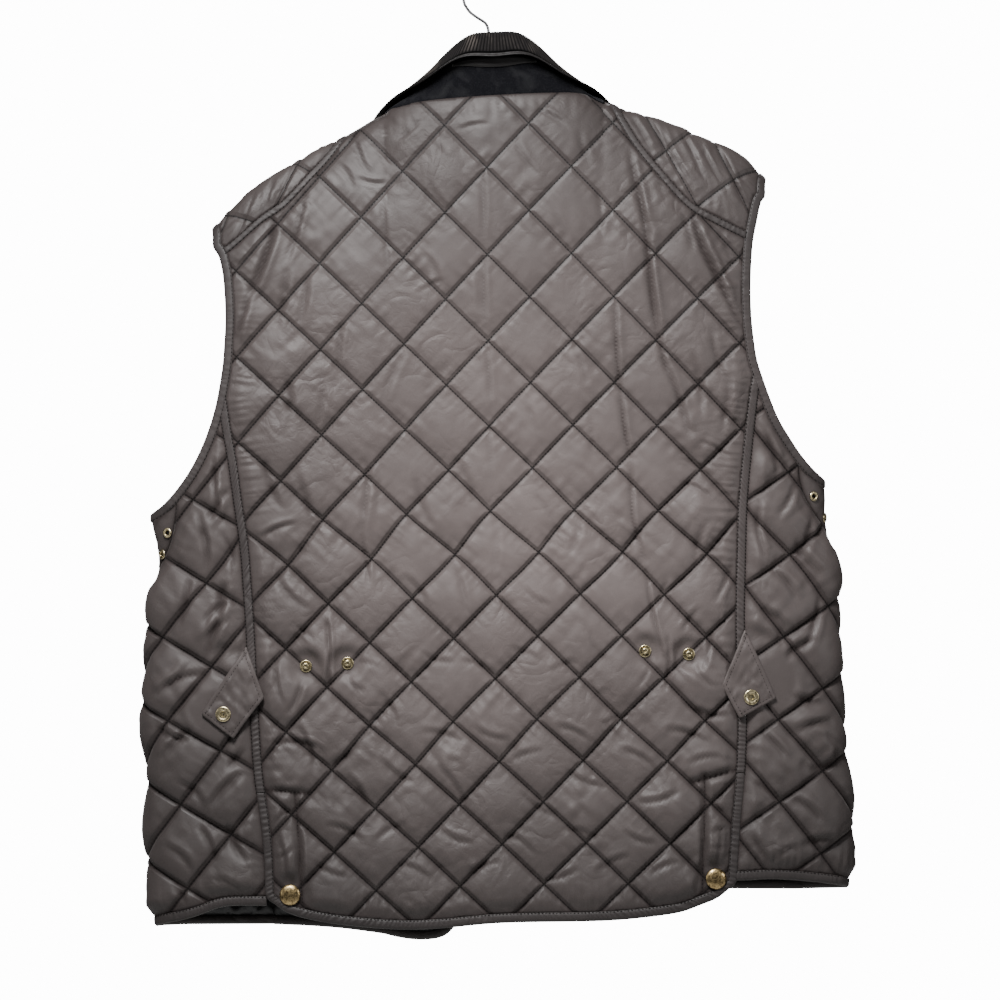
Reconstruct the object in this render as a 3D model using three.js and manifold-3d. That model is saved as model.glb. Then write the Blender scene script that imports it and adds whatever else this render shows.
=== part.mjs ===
// A men's quilted vest that hangs on a hanger.
// Millimetres. +X is the wearer's right, +Y is the wearer's front, +Z is up.
// The origin is the inside top of the hanger's hook, where a rod would carry it.
// "Drop" is the distance below that point, and "out" is the distance from the cloth's inner face.

import * as THREE from 'three';
import { mergeVertices } from 'three/addons/utils/BufferGeometryUtils.js';
import Module from 'manifold-3d';

// Driving dimensions

const CLOTH_WALL = 2.6; // the two layers of nylon with their wadding, stitched flat
const PUFF = 5.5; // how far the wadding lifts the middle of a diamond
const YOKE_PUFF = 0.8 * PUFF;
const YOKE_OVERLAP = 20; // the yoke's outline runs this far past its seam before it's trimmed
const QUILT = 78; // diagonal of one diamond
const SEAM_GAP = 0.3;
const TAPE_WIDTH = 9.4; // binding and seam bands
const TAPE_RISE = 1.2; // how far a tape stands over the flat cloth
const STATION = 19.5; // spacing of points along a seam, a quarter of a diamond
const EDGE_FADE = 14; // the wadding thins over this distance beside a seam

const FOLD_HEIGHT = 250; // drop below the shoulder ridge at which the body has its full depth
const NECK_PEAK = 58; // drop of the ridge line carried on over the neck
const NECK_LEVEL = { left: 135, right: 123 }; // drop of the shoulders at the neck's two ends
const BODY_EXPONENT = 2.5; // roundness of the body's cross-section

const SNAP_RADIUS = 7.2;
const VENT_SNAP_RADIUS = 9.8;
const VENT_SNAP_HEIGHT = 3.6;
const STUD_RADIUS = 5.7;
const EYELET_RADIUS = 4.6;
const EYELET_HOLE = 2.3;

const WIRE_RADIUS = 1.4;
const HOOK_RADIUS = 22;
const HOOK_NECK_X = 0.5;
const HOOK_START = 16; // degrees round the hook's circle, from its open end
const HOOK_END = 200;
const HOOK_STEP = 23;
const HOOK_STEM = [
  { x: -16.5, drop: 37 }, { x: -9, drop: 42.5 }, { x: -2, drop: 47.5 }, { x: 0.5, drop: 55 },
  { x: 0.5, drop: 94.8 },
];
const HANGER_RADIUS = 3.5;
const HANGER_REACH = { left: -232, right: 232 };
const HANGER_RISE = [
  { x: -62, drop: 120 }, { x: -22, drop: 101 }, { x: 20, drop: 100 }, { x: 66, drop: 114 },
];

// The body's outline from behind, and its depth behind and before the shoulder line
const SECTIONS = [
  { drop: 110, left: -309, right: 302, back: 44, front: 43 },
  { drop: 400, left: -309, right: 306, back: 44, front: 43 },
  { drop: 470, left: -309, right: 310, back: 44, front: 43 },
  { drop: 509, left: -310, right: 311, back: 44, front: 44 },
  { drop: 548, left: -303, right: 317, back: 44, front: 44 },
  { drop: 583, left: -309, right: 320, back: 45, front: 45 },
  { drop: 640, left: -312, right: 322, back: 46, front: 46 },
  { drop: 695, left: -316, right: 325, back: 47, front: 47 },
  { drop: 735, left: -312, right: 329, back: 48, front: 48 },
  { drop: 806, left: -313, right: 335, back: 50, front: 50 },
  { drop: 850, left: -310, right: 332, back: 51, front: 51 },
  { drop: 905, left: -304, right: 328, back: 52, front: 52 },
];

// The shoulder ridge, from the left tip to the neck and from the neck to the right tip
const RIDGE = [
  { x: -270, drop: 259 }, { x: -256, drop: 243 }, { x: -240, drop: 226 }, { x: -212, drop: 202 },
  { x: -184, drop: 183 }, { x: -156, drop: 168 }, { x: -128, drop: 153 }, { x: -94, drop: 135 },
  { x: 106, drop: 123 }, { x: 123, drop: 129 }, { x: 151, drop: 138 }, { x: 179, drop: 149 },
  { x: 206, drop: 160 }, { x: 234, drop: 175 }, { x: 258, drop: 196 }, { x: 272, drop: 212 },
];
const NECK_LEFT = -94;
const NECK_RIGHT = 106;

// Back neck seam
const BACK_NECK = [
  { x: -104, drop: 130 }, { x: -86, drop: 127 }, { x: -60, drop: 121 }, { x: -7, drop: 116 },
  { x: 60, drop: 113 }, { x: 88, drop: 114.5 }, { x: 104, drop: 123 }, { x: 113, drop: 119 },
];

// Each side's own lines: armhole edge, yoke seam and back seam band on the back, and hems
const SIDES = {
  left: {
    sign: -1,
    tip: -255,
    armhole: [
      { drop: 264, x: -250 }, { drop: 274, x: -247.3 }, { drop: 285, x: -245.5 }, { drop: 305, x: -244 },
      { drop: 325, x: -243.5 }, { drop: 345, x: -244.5 }, { drop: 365, x: -246 },
      { drop: 385, x: -249 }, { drop: 405, x: -253 }, { drop: 425, x: -259 },
      { drop: 445, x: -267 }, { drop: 464, x: -277 }, { drop: 480, x: -288 },
      { drop: 494, x: -300 },
    ],
    armholeBottom: 503,
    yokeSeam: [
      { x: -262, drop: 272 }, { x: -240, drop: 257 }, { x: -209, drop: 230 }, { x: -190, drop: 217 },
      { x: -164, drop: 190 }, { x: -147, drop: 172 }, { x: -120, drop: 137 },
    ],
    ridgeMeeting: -132,
    seam: [
      { drop: 370, x: -250 }, { drop: 402, x: -245.5 }, { drop: 434, x: -240.4 },
      { drop: 453, x: -237 }, { drop: 490, x: -232 }, { drop: 527, x: -226.5 },
      { drop: 583, x: -222 }, { drop: 620, x: -219.8 }, { drop: 713, x: -215 },
      { drop: 750, x: -212 }, { drop: 788, x: -206.5 }, { drop: 825, x: -203 },
      { drop: 920, x: -201 },
    ],
    frontSeam: [
      { drop: 320, x: -242 }, { drop: 430, x: -225 }, { drop: 527, x: -213 }, { drop: 920, x: -198 },
    ],
    ventTop: 762,
    sideHem: [
      { x: -190, drop: 867 }, { x: -238, drop: 867 }, { x: -253, drop: 870 }, { x: -268, drop: 876 },
      { x: -285, drop: 881 },
    ],
    sideHemSide: 887,
    sideHemFront: 886,
    frontHem: [
      { x: -230, drop: 885 }, { x: -150, drop: 889 }, { x: -100, drop: 895 }, { x: -82, drop: 899 },
      { x: -63, drop: 901 }, { x: -45, drop: 899 }, { x: -35, drop: 893 }, { x: -10, drop: 862 },
    ],
    frontEdge: -27,
    quilt: { x: -260.6, drop: 567.9, wide: 89.5, high: 79.3, rise: 0.259, lean: -0.08 },
    eyelets: [{ reach: 22, drop: 521 }, { reach: 11, drop: 541 }],
    gussetTip: 560,
    studs: [{ x: -168.5, drop: 644.5 }, { x: -130, drop: 641.7 }],
    ventSnap: { x: -183, drop: 856.5 },
    tab: [
      { x: -223.5, drop: 626 }, { x: -206.5, drop: 674 }, { x: -234.5, drop: 712 },
      { x: -264, drop: 689 },
    ],
    tabSnap: { x: -243.7, drop: 689 },
    tabRest: 8.2, // the quilting lifts the tab this far
  },
  right: {
    sign: 1,
    tip: 257,
    armhole: [
      { drop: 214, x: 253.5 }, { drop: 232, x: 249.5 }, { drop: 250, x: 246 }, { drop: 268, x: 244.5 },
      { drop: 286, x: 243.7 }, { drop: 304, x: 243.7 }, { drop: 323, x: 244.6 },
      { drop: 341, x: 246.5 }, { drop: 360, x: 249.5 }, { drop: 379, x: 255.5 },
      { drop: 397, x: 262 }, { drop: 415, x: 269.5 }, { drop: 432, x: 279.5 },
      { drop: 448, x: 290 }, { drop: 461, x: 300.5 },
    ],
    armholeBottom: 471,
    yokeSeam: [
      { x: 262, drop: 257 }, { x: 239, drop: 245 }, { x: 213, drop: 232 }, { x: 187, drop: 217 },
      { x: 160, drop: 188 }, { x: 138, drop: 161 }, { x: 126, drop: 142 }, { x: 108, drop: 111 },
    ],
    ridgeMeeting: 118,
    seam: [
      { drop: 350, x: 254 }, { drop: 378, x: 248.3 }, { drop: 397, x: 245.5 }, { drop: 434, x: 241.4 },
      { drop: 490, x: 236.2 }, { drop: 527, x: 235 }, { drop: 602, x: 233.5 }, { drop: 695, x: 235.5 },
      { drop: 750, x: 233.5 }, { drop: 788, x: 230 }, { drop: 834, x: 227 }, { drop: 920, x: 224 },
    ],
    frontSeam: [
      { drop: 300, x: 242 }, { drop: 400, x: 226 }, { drop: 500, x: 214 }, { drop: 920, x: 204 },
    ],
    ventTop: 744,
    sideHem: [
      { x: 210, drop: 843.5 }, { x: 239, drop: 843.2 }, { x: 260, drop: 842.2 }, { x: 284, drop: 843.3 },
      { x: 308, drop: 845.7 },
    ],
    sideHemSide: 851,
    sideHemFront: 853,
    frontHem: [
      { x: 235, drop: 856 }, { x: 150, drop: 860 }, { x: 100, drop: 863 }, { x: 65, drop: 864 },
      { x: 48, drop: 861 }, { x: 38, drop: 855 }, { x: 17, drop: 834 },
    ],
    frontEdge: 29,
    quilt: { x: 277.9, drop: 464.7, wide: 82, high: 77.6, rise: -0.239, lean: 0.06 },
    eyelets: [{ reach: 19, drop: 487 }, { reach: 6, drop: 507 }],
    gussetTip: 526,
    studs: [{ x: 145.5, drop: 630.5 }, { x: 186, drop: 633.3 }],
    ventSnap: { x: 211, drop: 841.6 },
    tab: [
      { x: 237.5, drop: 610 }, { x: 266, drop: 674.5 }, { x: 232.5, drop: 693 },
      { x: 216, drop: 662 },
    ],
    tabSnap: { x: 243, drop: 673.3 },
    tabRest: 7,
  },
};

// Back hem, the lower edge of its binding between the two vents
const BACK_HEM = [
  { x: -230, drop: 858 }, { x: -202, drop: 862 }, { x: -190, drop: 871 }, { x: -175, drop: 877 },
  { x: -138, drop: 884 }, { x: -82, drop: 888.6 }, { x: -45, drop: 887.5 }, { x: 11, drop: 882.6 },
  { x: 104, drop: 880.7 }, { x: 141, drop: 878 }, { x: 179, drop: 872.6 }, { x: 197, drop: 866 },
  { x: 214, drop: 859 }, { x: 226, drop: 849 }, { x: 250, drop: 838 },
];
// A diamond's width and height, how far its rows rise to the right and its columns lean, and how
// much the rows bow at the sides and crowd towards the hem
const BACK_QUILT = {
  x: -0.9, drop: 182.8, wide: 77.8, high: 80.8, rise: 0.0286, lean: 0, bow: 0.00016, crowd: 0.00005,
};
const PLAIN_QUILT = { wide: QUILT, high: QUILT, rise: 0, lean: 0 };
const FRONT_SCOOP = 17; // the front armhole is cut this much deeper
const YOKE_FRONT_DROP = 34; // front yoke seam below the ridge at the armhole
const YOKE_NECK_DROP = 14; // and at the neck
const SIDE_HEM_TURN = 285; // where the side hem has come round to the front
const GUSSET_REACH = 33; // half width of the underarm gusset at the armhole
const FRONT_NECK_DEPTH = 84;
const FACING_WIDTH = 84;
const FRONT_SNAPS = 5;
const FRONT_SNAP_TOP = 262;
const FRONT_SNAP_PITCH = 138;
const FRONT_SNAP_INSET = 17;

// Drapes that run down from the shoulders, each a soft ridge beside its crease
const DRAPES = [
  { x1: -203, drop1: 228, x2: -238, drop2: 320, width: 13, lift: 4.5 },
  { x1: -172, drop1: 208, x2: -186, drop2: 285, width: 12, lift: 2.5 },
  { x1: 138, drop1: 165, x2: 158, drop2: 470, width: 12, lift: 4 },
  { x1: 196, drop1: 225, x2: 236, drop2: 345, width: 13, lift: 4.5 },
];

// The collar's fold line and outer edge, from the middle of the back round to its front end
const COLLAR_MIDDLE = 6;
const COLLAR = [
  { turn: 0, foldX: 0, foldY: -29, foldDrop: 62, edgeX: 0, edgeY: -39, edgeDrop: 75 },
  { turn: 0.17, foldX: 22, foldY: -27, foldDrop: 64, edgeX: 30, edgeY: -37, edgeDrop: 76 },
  { turn: 0.34, foldX: 42, foldY: -17, foldDrop: 80, edgeX: 62, edgeY: -28, edgeDrop: 96 },
  { turn: 0.5, foldX: 52, foldY: 0, foldDrop: 100, edgeX: 92, edgeY: -4, edgeDrop: 115 },
  { turn: 0.62, foldX: 54, foldY: 16, foldDrop: 120, edgeX: 108, edgeY: 30, edgeDrop: 140 },
  { turn: 0.8, foldX: 44, foldY: 34, foldDrop: 154, edgeX: 92, edgeY: 58, edgeDrop: 190 },
  { turn: 1, foldX: 30, foldY: 47, foldDrop: 196, edgeX: 56, edgeY: 66, edgeDrop: 244 },
];
const COLLAR_TILT = 0.04; // the collar hangs lower on the left
const COLLAR_WALL = 3;
const COLLAR_TAPE = 5;

// Finishes

const finish = (colour, roughness, metalness = 0) =>
  new THREE.MeshStandardMaterial({ color: colour, roughness, metalness });
const FINISH = {
  nylon: finish('#5f5855', 0.42),
  tape: finish('#4d4846', 0.5),
  velvet: finish('#1d1c1e', 0.95),
  corduroy: finish('#131214', 0.9),
  brass: finish('#a98f5e', 0.35, 0.9),
  wire: finish('#9a9a9c', 0.3, 0.9),
  hanger: finish('#2a2826', 0.5),
};

// Reading a table smoothly between its rows

function read(rows, column, at, by = 'drop') {
  const sorted = rows[0][by] < rows[rows.length - 1][by] ? rows : [...rows].reverse();
  const last = sorted.length - 1;
  let i = 0;
  while (i < last - 1 && sorted[i + 1][by] < at) i += 1;
  const slope = (k) => {
    const a = sorted[Math.max(k - 1, 0)];
    const b = sorted[Math.min(k + 1, last)];
    return (b[column] - a[column]) / (b[by] - a[by]);
  };
  const from = sorted[i];
  const to = sorted[i + 1];
  const span = to[by] - from[by];
  const t = THREE.MathUtils.clamp((at - from[by]) / span, 0, 1);
  const near = from[column] * (1 + 2 * t) * (1 - t) ** 2 + slope(i) * span * t * (1 - t) ** 2;
  const far = to[column] * t * t * (3 - 2 * t) + slope(i + 1) * span * t * t * (t - 1);
  return near + far;
}

// The body's surface

function ridgeDrop(x) {
  if (x > NECK_LEFT && x < NECK_RIGHT) {
    const t = (x - NECK_LEFT) / (NECK_RIGHT - NECK_LEFT);
    const level = THREE.MathUtils.lerp(NECK_LEVEL.left, NECK_LEVEL.right, t);
    return level + (NECK_PEAK - level) * (1 - (2 * t - 1) ** 2);
  }
  return read(RIDGE, 'drop', x, 'x');
}

function sectionAt(drop) {
  const left = read(SECTIONS, 'left', drop);
  const right = read(SECTIONS, 'right', drop);
  const depth = { back: read(SECTIONS, 'back', drop), front: read(SECTIONS, 'front', drop) };
  return { middle: (left + right) / 2, half: (right - left) / 2, depth };
}

const POWER = 2 / BODY_EXPONENT;
const ARC_STEPS = 96;
const arcs = new Map();

// Length of the cross-section from its middle, at each step of the angle towards the side
function arcTable(half, depth) {
  const key = `${half.toFixed(2)} ${depth.toFixed(2)}`;
  if (!arcs.has(key)) {
    const lengths = [0];
    let previous = [0, depth];
    for (let i = 1; i <= ARC_STEPS; i += 1) {
      const angle = (i / ARC_STEPS) * (Math.PI / 2);
      const point = [half * Math.sin(angle) ** POWER, depth * Math.max(Math.cos(angle), 0) ** POWER];
      lengths.push(lengths[i - 1] + Math.hypot(point[0] - previous[0], point[1] - previous[1]));
      previous = point;
    }
    arcs.set(key, lengths);
  }
  return arcs.get(key);
}

function angleAtLength(lengths, length) {
  let i = 1;
  while (i < ARC_STEPS && lengths[i] < length) i += 1;
  const t = (length - lengths[i - 1]) / (lengths[i] - lengths[i - 1]);
  return ((i - 1 + THREE.MathUtils.clamp(t, 0, 1)) / ARC_STEPS) * (Math.PI / 2);
}

function lengthAtAngle(lengths, angle) {
  const place = THREE.MathUtils.clamp((angle / (Math.PI / 2)) * ARC_STEPS, 0, ARC_STEPS);
  const i = Math.min(Math.floor(place), ARC_STEPS - 1);
  return THREE.MathUtils.lerp(lengths[i], lengths[i + 1], place - i);
}

// How much of its full depth the body has at a place below the ridge: 0 there, 1 lower down
function openness(x, drop) {
  const below = THREE.MathUtils.clamp((drop - ridgeDrop(x)) / FOLD_HEIGHT, 0, 1);
  return { share: Math.sqrt(1 - (1 - below) ** 2), steepness: (1 - below) / FOLD_HEIGHT };
}

// The point of the cloth at an angle round the cross-section, moved outwards
function surfacePoint(angle, signX, signY, drop, out) {
  const section = sectionAt(drop);
  const depth = signY < 0 ? section.depth.back : section.depth.front;
  const across = Math.sin(angle) ** POWER;
  const along = Math.max(Math.cos(angle), 0) ** POWER;
  const x = section.middle + signX * section.half * across;
  const { share, steepness } = openness(x, drop);
  const slope = (ridgeDrop(x + 0.5) - ridgeDrop(x - 0.5)) / 1;
  const fold = along ** BODY_EXPONENT * steepness;
  const normal = new THREE.Vector3(
    signX * share ** 2 * across ** (BODY_EXPONENT - 1) / section.half + fold * slope,
    signY * share * along ** (BODY_EXPONENT - 1) / depth,
    fold,
  ).normalize();
  return new THREE.Vector3(x, signY * depth * along * share, -drop).addScaledVector(normal, out);
}

// The flat chart of the body: its first number is the length round the cross-section from the
// middle of the back, and its second is the height, so it lies as the cloth does before sewing.
function chartToBody(point, out) {
  const drop = -point.y;
  const section = sectionAt(drop);
  const backLengths = arcTable(section.half, section.depth.back);
  const frontLengths = arcTable(section.half, section.depth.front);
  const quarter = backLengths[ARC_STEPS];
  const length = Math.abs(point.x);
  const signX = point.x < 0 ? -1 : 1;
  if (length <= quarter) return surfacePoint(angleAtLength(backLengths, length), signX, -1, drop, out);
  const rest = quarter + frontLengths[ARC_STEPS] - length;
  return surfacePoint(angleAtLength(frontLengths, Math.max(rest, 0)), signX, 1, drop, out);
}

function sideLength(drop) {
  const section = sectionAt(drop);
  return arcTable(section.half, section.depth.back)[ARC_STEPS];
}

// The chart point of a place given by its x, drop and face, or by its depth y as well
function chart(x, drop, signY = -1, y = null) {
  const section = sectionAt(drop);
  const depth = signY < 0 ? section.depth.back : section.depth.front;
  const across = Math.min(Math.abs(x - section.middle) / section.half, 1);
  let along = Math.max(1 - across ** BODY_EXPONENT, 0) ** (1 / BODY_EXPONENT);
  if (y !== null && across > 0.9) along = Math.min(Math.abs(y) / depth, 1);
  const angle = Math.atan2(across ** (BODY_EXPONENT / 2), along ** (BODY_EXPONENT / 2));
  const signX = x < section.middle ? -1 : 1;
  const length = lengthAtAngle(arcTable(section.half, depth), angle);
  if (signY < 0) return new THREE.Vector2(signX * length, -drop);
  const whole = sideLength(drop) + arcTable(section.half, section.depth.front)[ARC_STEPS];
  return new THREE.Vector2(signX * (whole - length), -drop);
}

// The chart of the shoulder: x along the ridge, and the length over it, negative on the back
const FOLD_STEPS = 60;
const FOLD_TURN = 1; // radians of the fold that the shoulder chart covers

function foldPoint(x, turn, signY) {
  const drop = ridgeDrop(x) + FOLD_HEIGHT * (1 - Math.cos(turn));
  const section = sectionAt(drop);
  const across = Math.min(Math.abs(x - section.middle) / section.half, 1);
  const angle = Math.atan2(across ** (BODY_EXPONENT / 2), (1 - across ** BODY_EXPONENT) ** 0.5);
  return { angle, signX: x < section.middle ? -1 : 1, signY, drop };
}

function foldLength(x, signY, drop) {
  const target = Math.acos(THREE.MathUtils.clamp(1 - (drop - ridgeDrop(x)) / FOLD_HEIGHT, -1, 1));
  let length = 0;
  let previous = null;
  for (let i = 0; i <= FOLD_STEPS; i += 1) {
    const place = foldPoint(x, (target * i) / FOLD_STEPS, signY);
    const point = surfacePoint(place.angle, place.signX, place.signY, place.drop, 0);
    if (previous) length += point.distanceTo(previous);
    previous = point;
  }
  return signY * length;
}

// Where a point of the shoulder chart lies: points above the ridge line on the back stay above it
function shoulderPlace(point, signY) {
  const target = Math.abs(point.y);
  let length = 0;
  let turn = 0;
  let previous = null;
  for (let i = 0; i <= FOLD_STEPS && length < target; i += 1) {
    turn = (FOLD_TURN * i) / FOLD_STEPS;
    const place = foldPoint(point.x, turn, signY);
    const next = surfacePoint(place.angle, place.signX, place.signY, place.drop, 0);
    if (previous) {
      const step = next.distanceTo(previous);
      if (length + step >= target) turn -= (FOLD_TURN / FOLD_STEPS) * (1 - (target - length) / step);
      length += step;
    }
    previous = next;
  }
  return foldPoint(point.x, target === 0 ? 0 : turn, signY);
}

function shoulderToBody(point, out) {
  const place = shoulderPlace(point, point.y < 0 ? -1 : 1);
  return surfacePoint(place.angle, place.signX, place.signY, place.drop, out);
}

// The body chart's point for a point of the shoulder chart, seen as part of the back or the front
function shoulderToChart(point, signY) {
  const beyond = point.y * signY < 0;
  const drop = beyond ? ridgeDrop(point.x) - Math.abs(point.y) : shoulderPlace(point, signY).drop;
  return chart(point.x, drop, signY);
}

function shoulder(x, drop, signY) {
  const ridge = ridgeDrop(x);
  const length = drop < ridge ? -signY * (ridge - drop) : foldLength(x, signY, drop);
  return new THREE.Vector2(x, length);
}

// Curves on a chart

// A table's curve across the cloth as chart points at its rows and at most one station apart
function acrossCurve(rows, toChart, spacing = STATION) {
  const places = [rows[0].x];
  rows.slice(1).forEach((row, i) => {
    const count = Math.ceil((Math.abs(row.x - rows[i].x) - 1) / spacing);
    for (let k = 1; k <= count; k += 1) places.push(THREE.MathUtils.lerp(rows[i].x, row.x, k / count));
  });
  return places.map((x) => toChart(x, read(rows, 'drop', x, 'x')));
}

// A table's curve down the cloth as chart points at shared levels, moved sideways by shift
function downCurve(rows, signY, shift) {
  const first = Math.ceil(rows[0].drop / STATION);
  const last = Math.floor(rows[rows.length - 1].drop / STATION);
  const points = [];
  for (let k = first; k <= last; k += 1) {
    const drop = k * STATION;
    const point = chart(read(rows, 'x', drop), drop, signY);
    points.push(new THREE.Vector2(point.x + shift, point.y));
  }
  return points;
}

// The same curve moved to its left by a distance
function beside(points, distance) {
  return points.map((point, i) => {
    const before = points[Math.max(i - 1, 0)];
    const after = points[Math.min(i + 1, points.length - 1)];
    const along = after.clone().sub(before).normalize();
    return new THREE.Vector2(point.x - along.y * distance, point.y + along.x * distance);
  });
}

function crossing(first, second, place) {
  for (let i = 0; i + 1 < first.length; i += 1) {
    for (let j = 0; j + 1 < second.length; j += 1) {
      const a = first[i];
      const r = first[i + 1].clone().sub(a);
      const s = second[j + 1].clone().sub(second[j]);
      const between = second[j].clone().sub(a);
      const area = r.cross(s);
      const t = between.cross(s) / area;
      const u = between.cross(r) / area;
      if (t >= 0 && t <= 1 && u >= 0 && u <= 1) {
        return { first: i + t, second: j + u, point: a.clone().addScaledVector(r, t) };
      }
    }
  }
  throw new Error(`outline curve ${place} does not meet the next one`);
}

// The part of a curve between two of its crossings, with the crossing points as its ends
function portion(curve, start, end) {
  const inside = curve
    .map((point, k) => ({ point, k }))
    .filter(({ k }) => (k - start.at) * (k - end.at) < 0)
    .map(({ point }) => point)
    .filter((point) => point.distanceTo(start.point) > 4 && point.distanceTo(end.point) > 4);
  if (start.at > end.at) inside.reverse();
  return [start.point, ...inside, end.point];
}

function partBetween(curve, before, after, place) {
  const start = crossing(curve, before, place);
  const end = crossing(curve, after, place);
  return portion(curve, { at: start.first, point: start.point }, { at: end.first, point: end.point });
}

// The outline that curves enclose when each is cut where it meets the next
function enclose(curves) {
  const count = curves.length;
  const meets = curves.map((curve, i) => crossing(curve, curves[(i + 1) % count], i));
  return curves.flatMap((curve, i) => {
    const start = meets[(i + count - 1) % count];
    const end = meets[i];
    const cut = portion(curve, { at: start.second, point: start.point }, { at: end.first, point: end.point });
    return cut.slice(0, -1);
  });
}

// A polyline with points at most one station apart
function stretch(points, closed = false) {
  const ends = closed ? points : points.slice(0, -1);
  const filled = ends.flatMap((point, i) => {
    const next = points[(i + 1) % points.length];
    const count = Math.ceil((point.distanceTo(next) - 1) / STATION);
    return Array.from({ length: count }, (_, k) => point.clone().lerp(next, k / count));
  });
  return closed ? filled : [...filled, points[points.length - 1]];
}

// Triangles over an outline with points inside it, with quilting lines kept as edges

function triangulate(outline, inside) {
  const points = [...outline, ...inside.map((item) => item.point)];
  const shaken = points.map((point, i) => {
    const amount = i < outline.length ? 0 : 0.01;
    return [point.x + amount * Math.sin(i * 7.1), point.y + amount * Math.cos(i * 3.7)];
  });
  const pull = points.map((point, i) => (i < outline.length ? 0 : inside[i - outline.length].pull));
  const lift = shaken.map(([x, y], i) => x * x + y * y - pull[i]);
  const turn = (a, b, c) =>
    (shaken[b][0] - shaken[a][0]) * (shaken[c][1] - shaken[a][1])
    - (shaken[b][1] - shaken[a][1]) * (shaken[c][0] - shaken[a][0]);
  const faces = [];
  const owner = new Map();
  const key = (a, b) => a * points.length + b;
  const setFace = (i, a, b, c) => {
    faces[i] = [a, b, c];
    owner.set(key(a, b), i);
    owner.set(key(b, c), i);
    owner.set(key(c, a), i);
  };
  // Clip ears off the outline until one triangle is left, so that every outline point is kept
  const open = outline.map((_, i) => i);
  const isEar = (k) => {
    const [a, b, c] = [open[(k + open.length - 1) % open.length], open[k], open[(k + 1) % open.length]];
    if (turn(a, b, c) <= 1e-6) return false;
    return !open.some((v) => v !== a && v !== b && v !== c
      && turn(a, b, v) >= -1e-9 && turn(b, c, v) >= -1e-9 && turn(c, a, v) >= -1e-9);
  };
  while (open.length > 3) {
    const k = open.findIndex((_, i) => isEar(i));
    const before = open[(k + open.length - 1) % open.length];
    setFace(faces.length, before, open[k], open[(k + 1) % open.length]);
    open.splice(k, 1);
  }
  setFace(faces.length, ...open);
  const third = (face, a, b) => face.find((v) => v !== a && v !== b);
  const inCircle = (a, b, c, d) => {
    const rows = [a, b, c].map((v) => [
      shaken[v][0] - shaken[d][0], shaken[v][1] - shaken[d][1], lift[v] - lift[d],
    ]);
    // The lifted heights are measured from the fourth point's own tangent plane
    rows.forEach((row) => {
      row[2] -= 2 * (row[0] * shaken[d][0] + row[1] * shaken[d][1]);
    });
    const [p, q, r] = rows;
    return p[0] * (q[1] * r[2] - q[2] * r[1]) - p[1] * (q[0] * r[2] - q[2] * r[0])
      + p[2] * (q[0] * r[1] - q[1] * r[0]);
  };
  const settle = (queue) => {
    while (queue.length) {
      const [a, b] = queue.pop();
      const here = owner.get(key(a, b));
      const there = owner.get(key(b, a));
      if (here === undefined || there === undefined) continue;
      const c = third(faces[here], a, b);
      const d = third(faces[there], a, b);
      if (inCircle(a, b, c, d) <= 1e-6 || turn(c, d, b) <= 1e-9 || turn(d, c, a) <= 1e-9) continue;
      owner.delete(key(a, b));
      owner.delete(key(b, a));
      setFace(here, c, d, b);
      setFace(there, d, c, a);
      queue.push([a, d], [d, b], [b, c], [c, a]);
      queue.push([d, a], [b, d], [c, b], [a, c]);
    }
  };
  for (let p = outline.length; p < points.length; p += 1) {
    const holds = ([a, b, c]) => turn(a, b, p) >= 0 && turn(b, c, p) >= 0 && turn(c, a, p) >= 0;
    const home = faces.findIndex(holds);
    const [a, b, c] = faces[home];
    setFace(home, a, b, p);
    setFace(faces.length, b, c, p);
    setFace(faces.length, c, a, p);
    settle([[a, b], [b, c], [c, a]]);
  }
  settle(faces.flatMap(([a, b, c]) => [[a, b], [b, c], [c, a]]));
  return { points, faces };
}

function distanceToOutline(point, outline) {
  let least = Infinity;
  outline.forEach((a, i) => {
    const b = outline[(i + 1) % outline.length];
    const line = b.clone().sub(a);
    const t = THREE.MathUtils.clamp(point.clone().sub(a).dot(line) / line.lengthSq(), 0, 1);
    least = Math.min(least, a.clone().addScaledVector(line, t).distanceTo(point));
  });
  return least;
}

function isInside(point, outline) {
  let inside = false;
  outline.forEach((a, i) => {
    const b = outline[(i + 1) % outline.length];
    if ((a.y > point.y) !== (b.y > point.y)
      && point.x < ((b.x - a.x) * (point.y - a.y)) / (b.y - a.y) + a.x) inside = !inside;
  });
  return inside;
}

// Solids from points and faces

function solid(points, faces) {
  const geometry = new THREE.BufferGeometry();
  const positions = points.flatMap((point) => [point.x, point.y, point.z]);
  geometry.setAttribute('position', new THREE.Float32BufferAttribute(positions, 3));
  geometry.setIndex(faces.flat());
  geometry.computeVertexNormals();
  return geometry;
}

// A closed wall between an outer and an inner sheet that share the same outline
function wall(outer, outerFaces, inner, innerFaces, rimCount) {
  const shift = outer.length;
  const faces = [...outerFaces, ...innerFaces.map(([a, b, c]) => [a + shift, c + shift, b + shift])];
  for (let i = 0; i < rimCount; i += 1) {
    const j = (i + 1) % rimCount;
    faces.push([i, i + shift, j + shift], [i, j + shift, j]);
  }
  return solid([...outer, ...inner], faces);
}

const RING_POINTS = 6;
const SETTLING_ROUNDS = 12; // the bowed rows' inverse settles well within these
const FULLNESS = 0.6; // below 1 the diamonds are flatter on top and steeper beside the stitches

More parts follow.
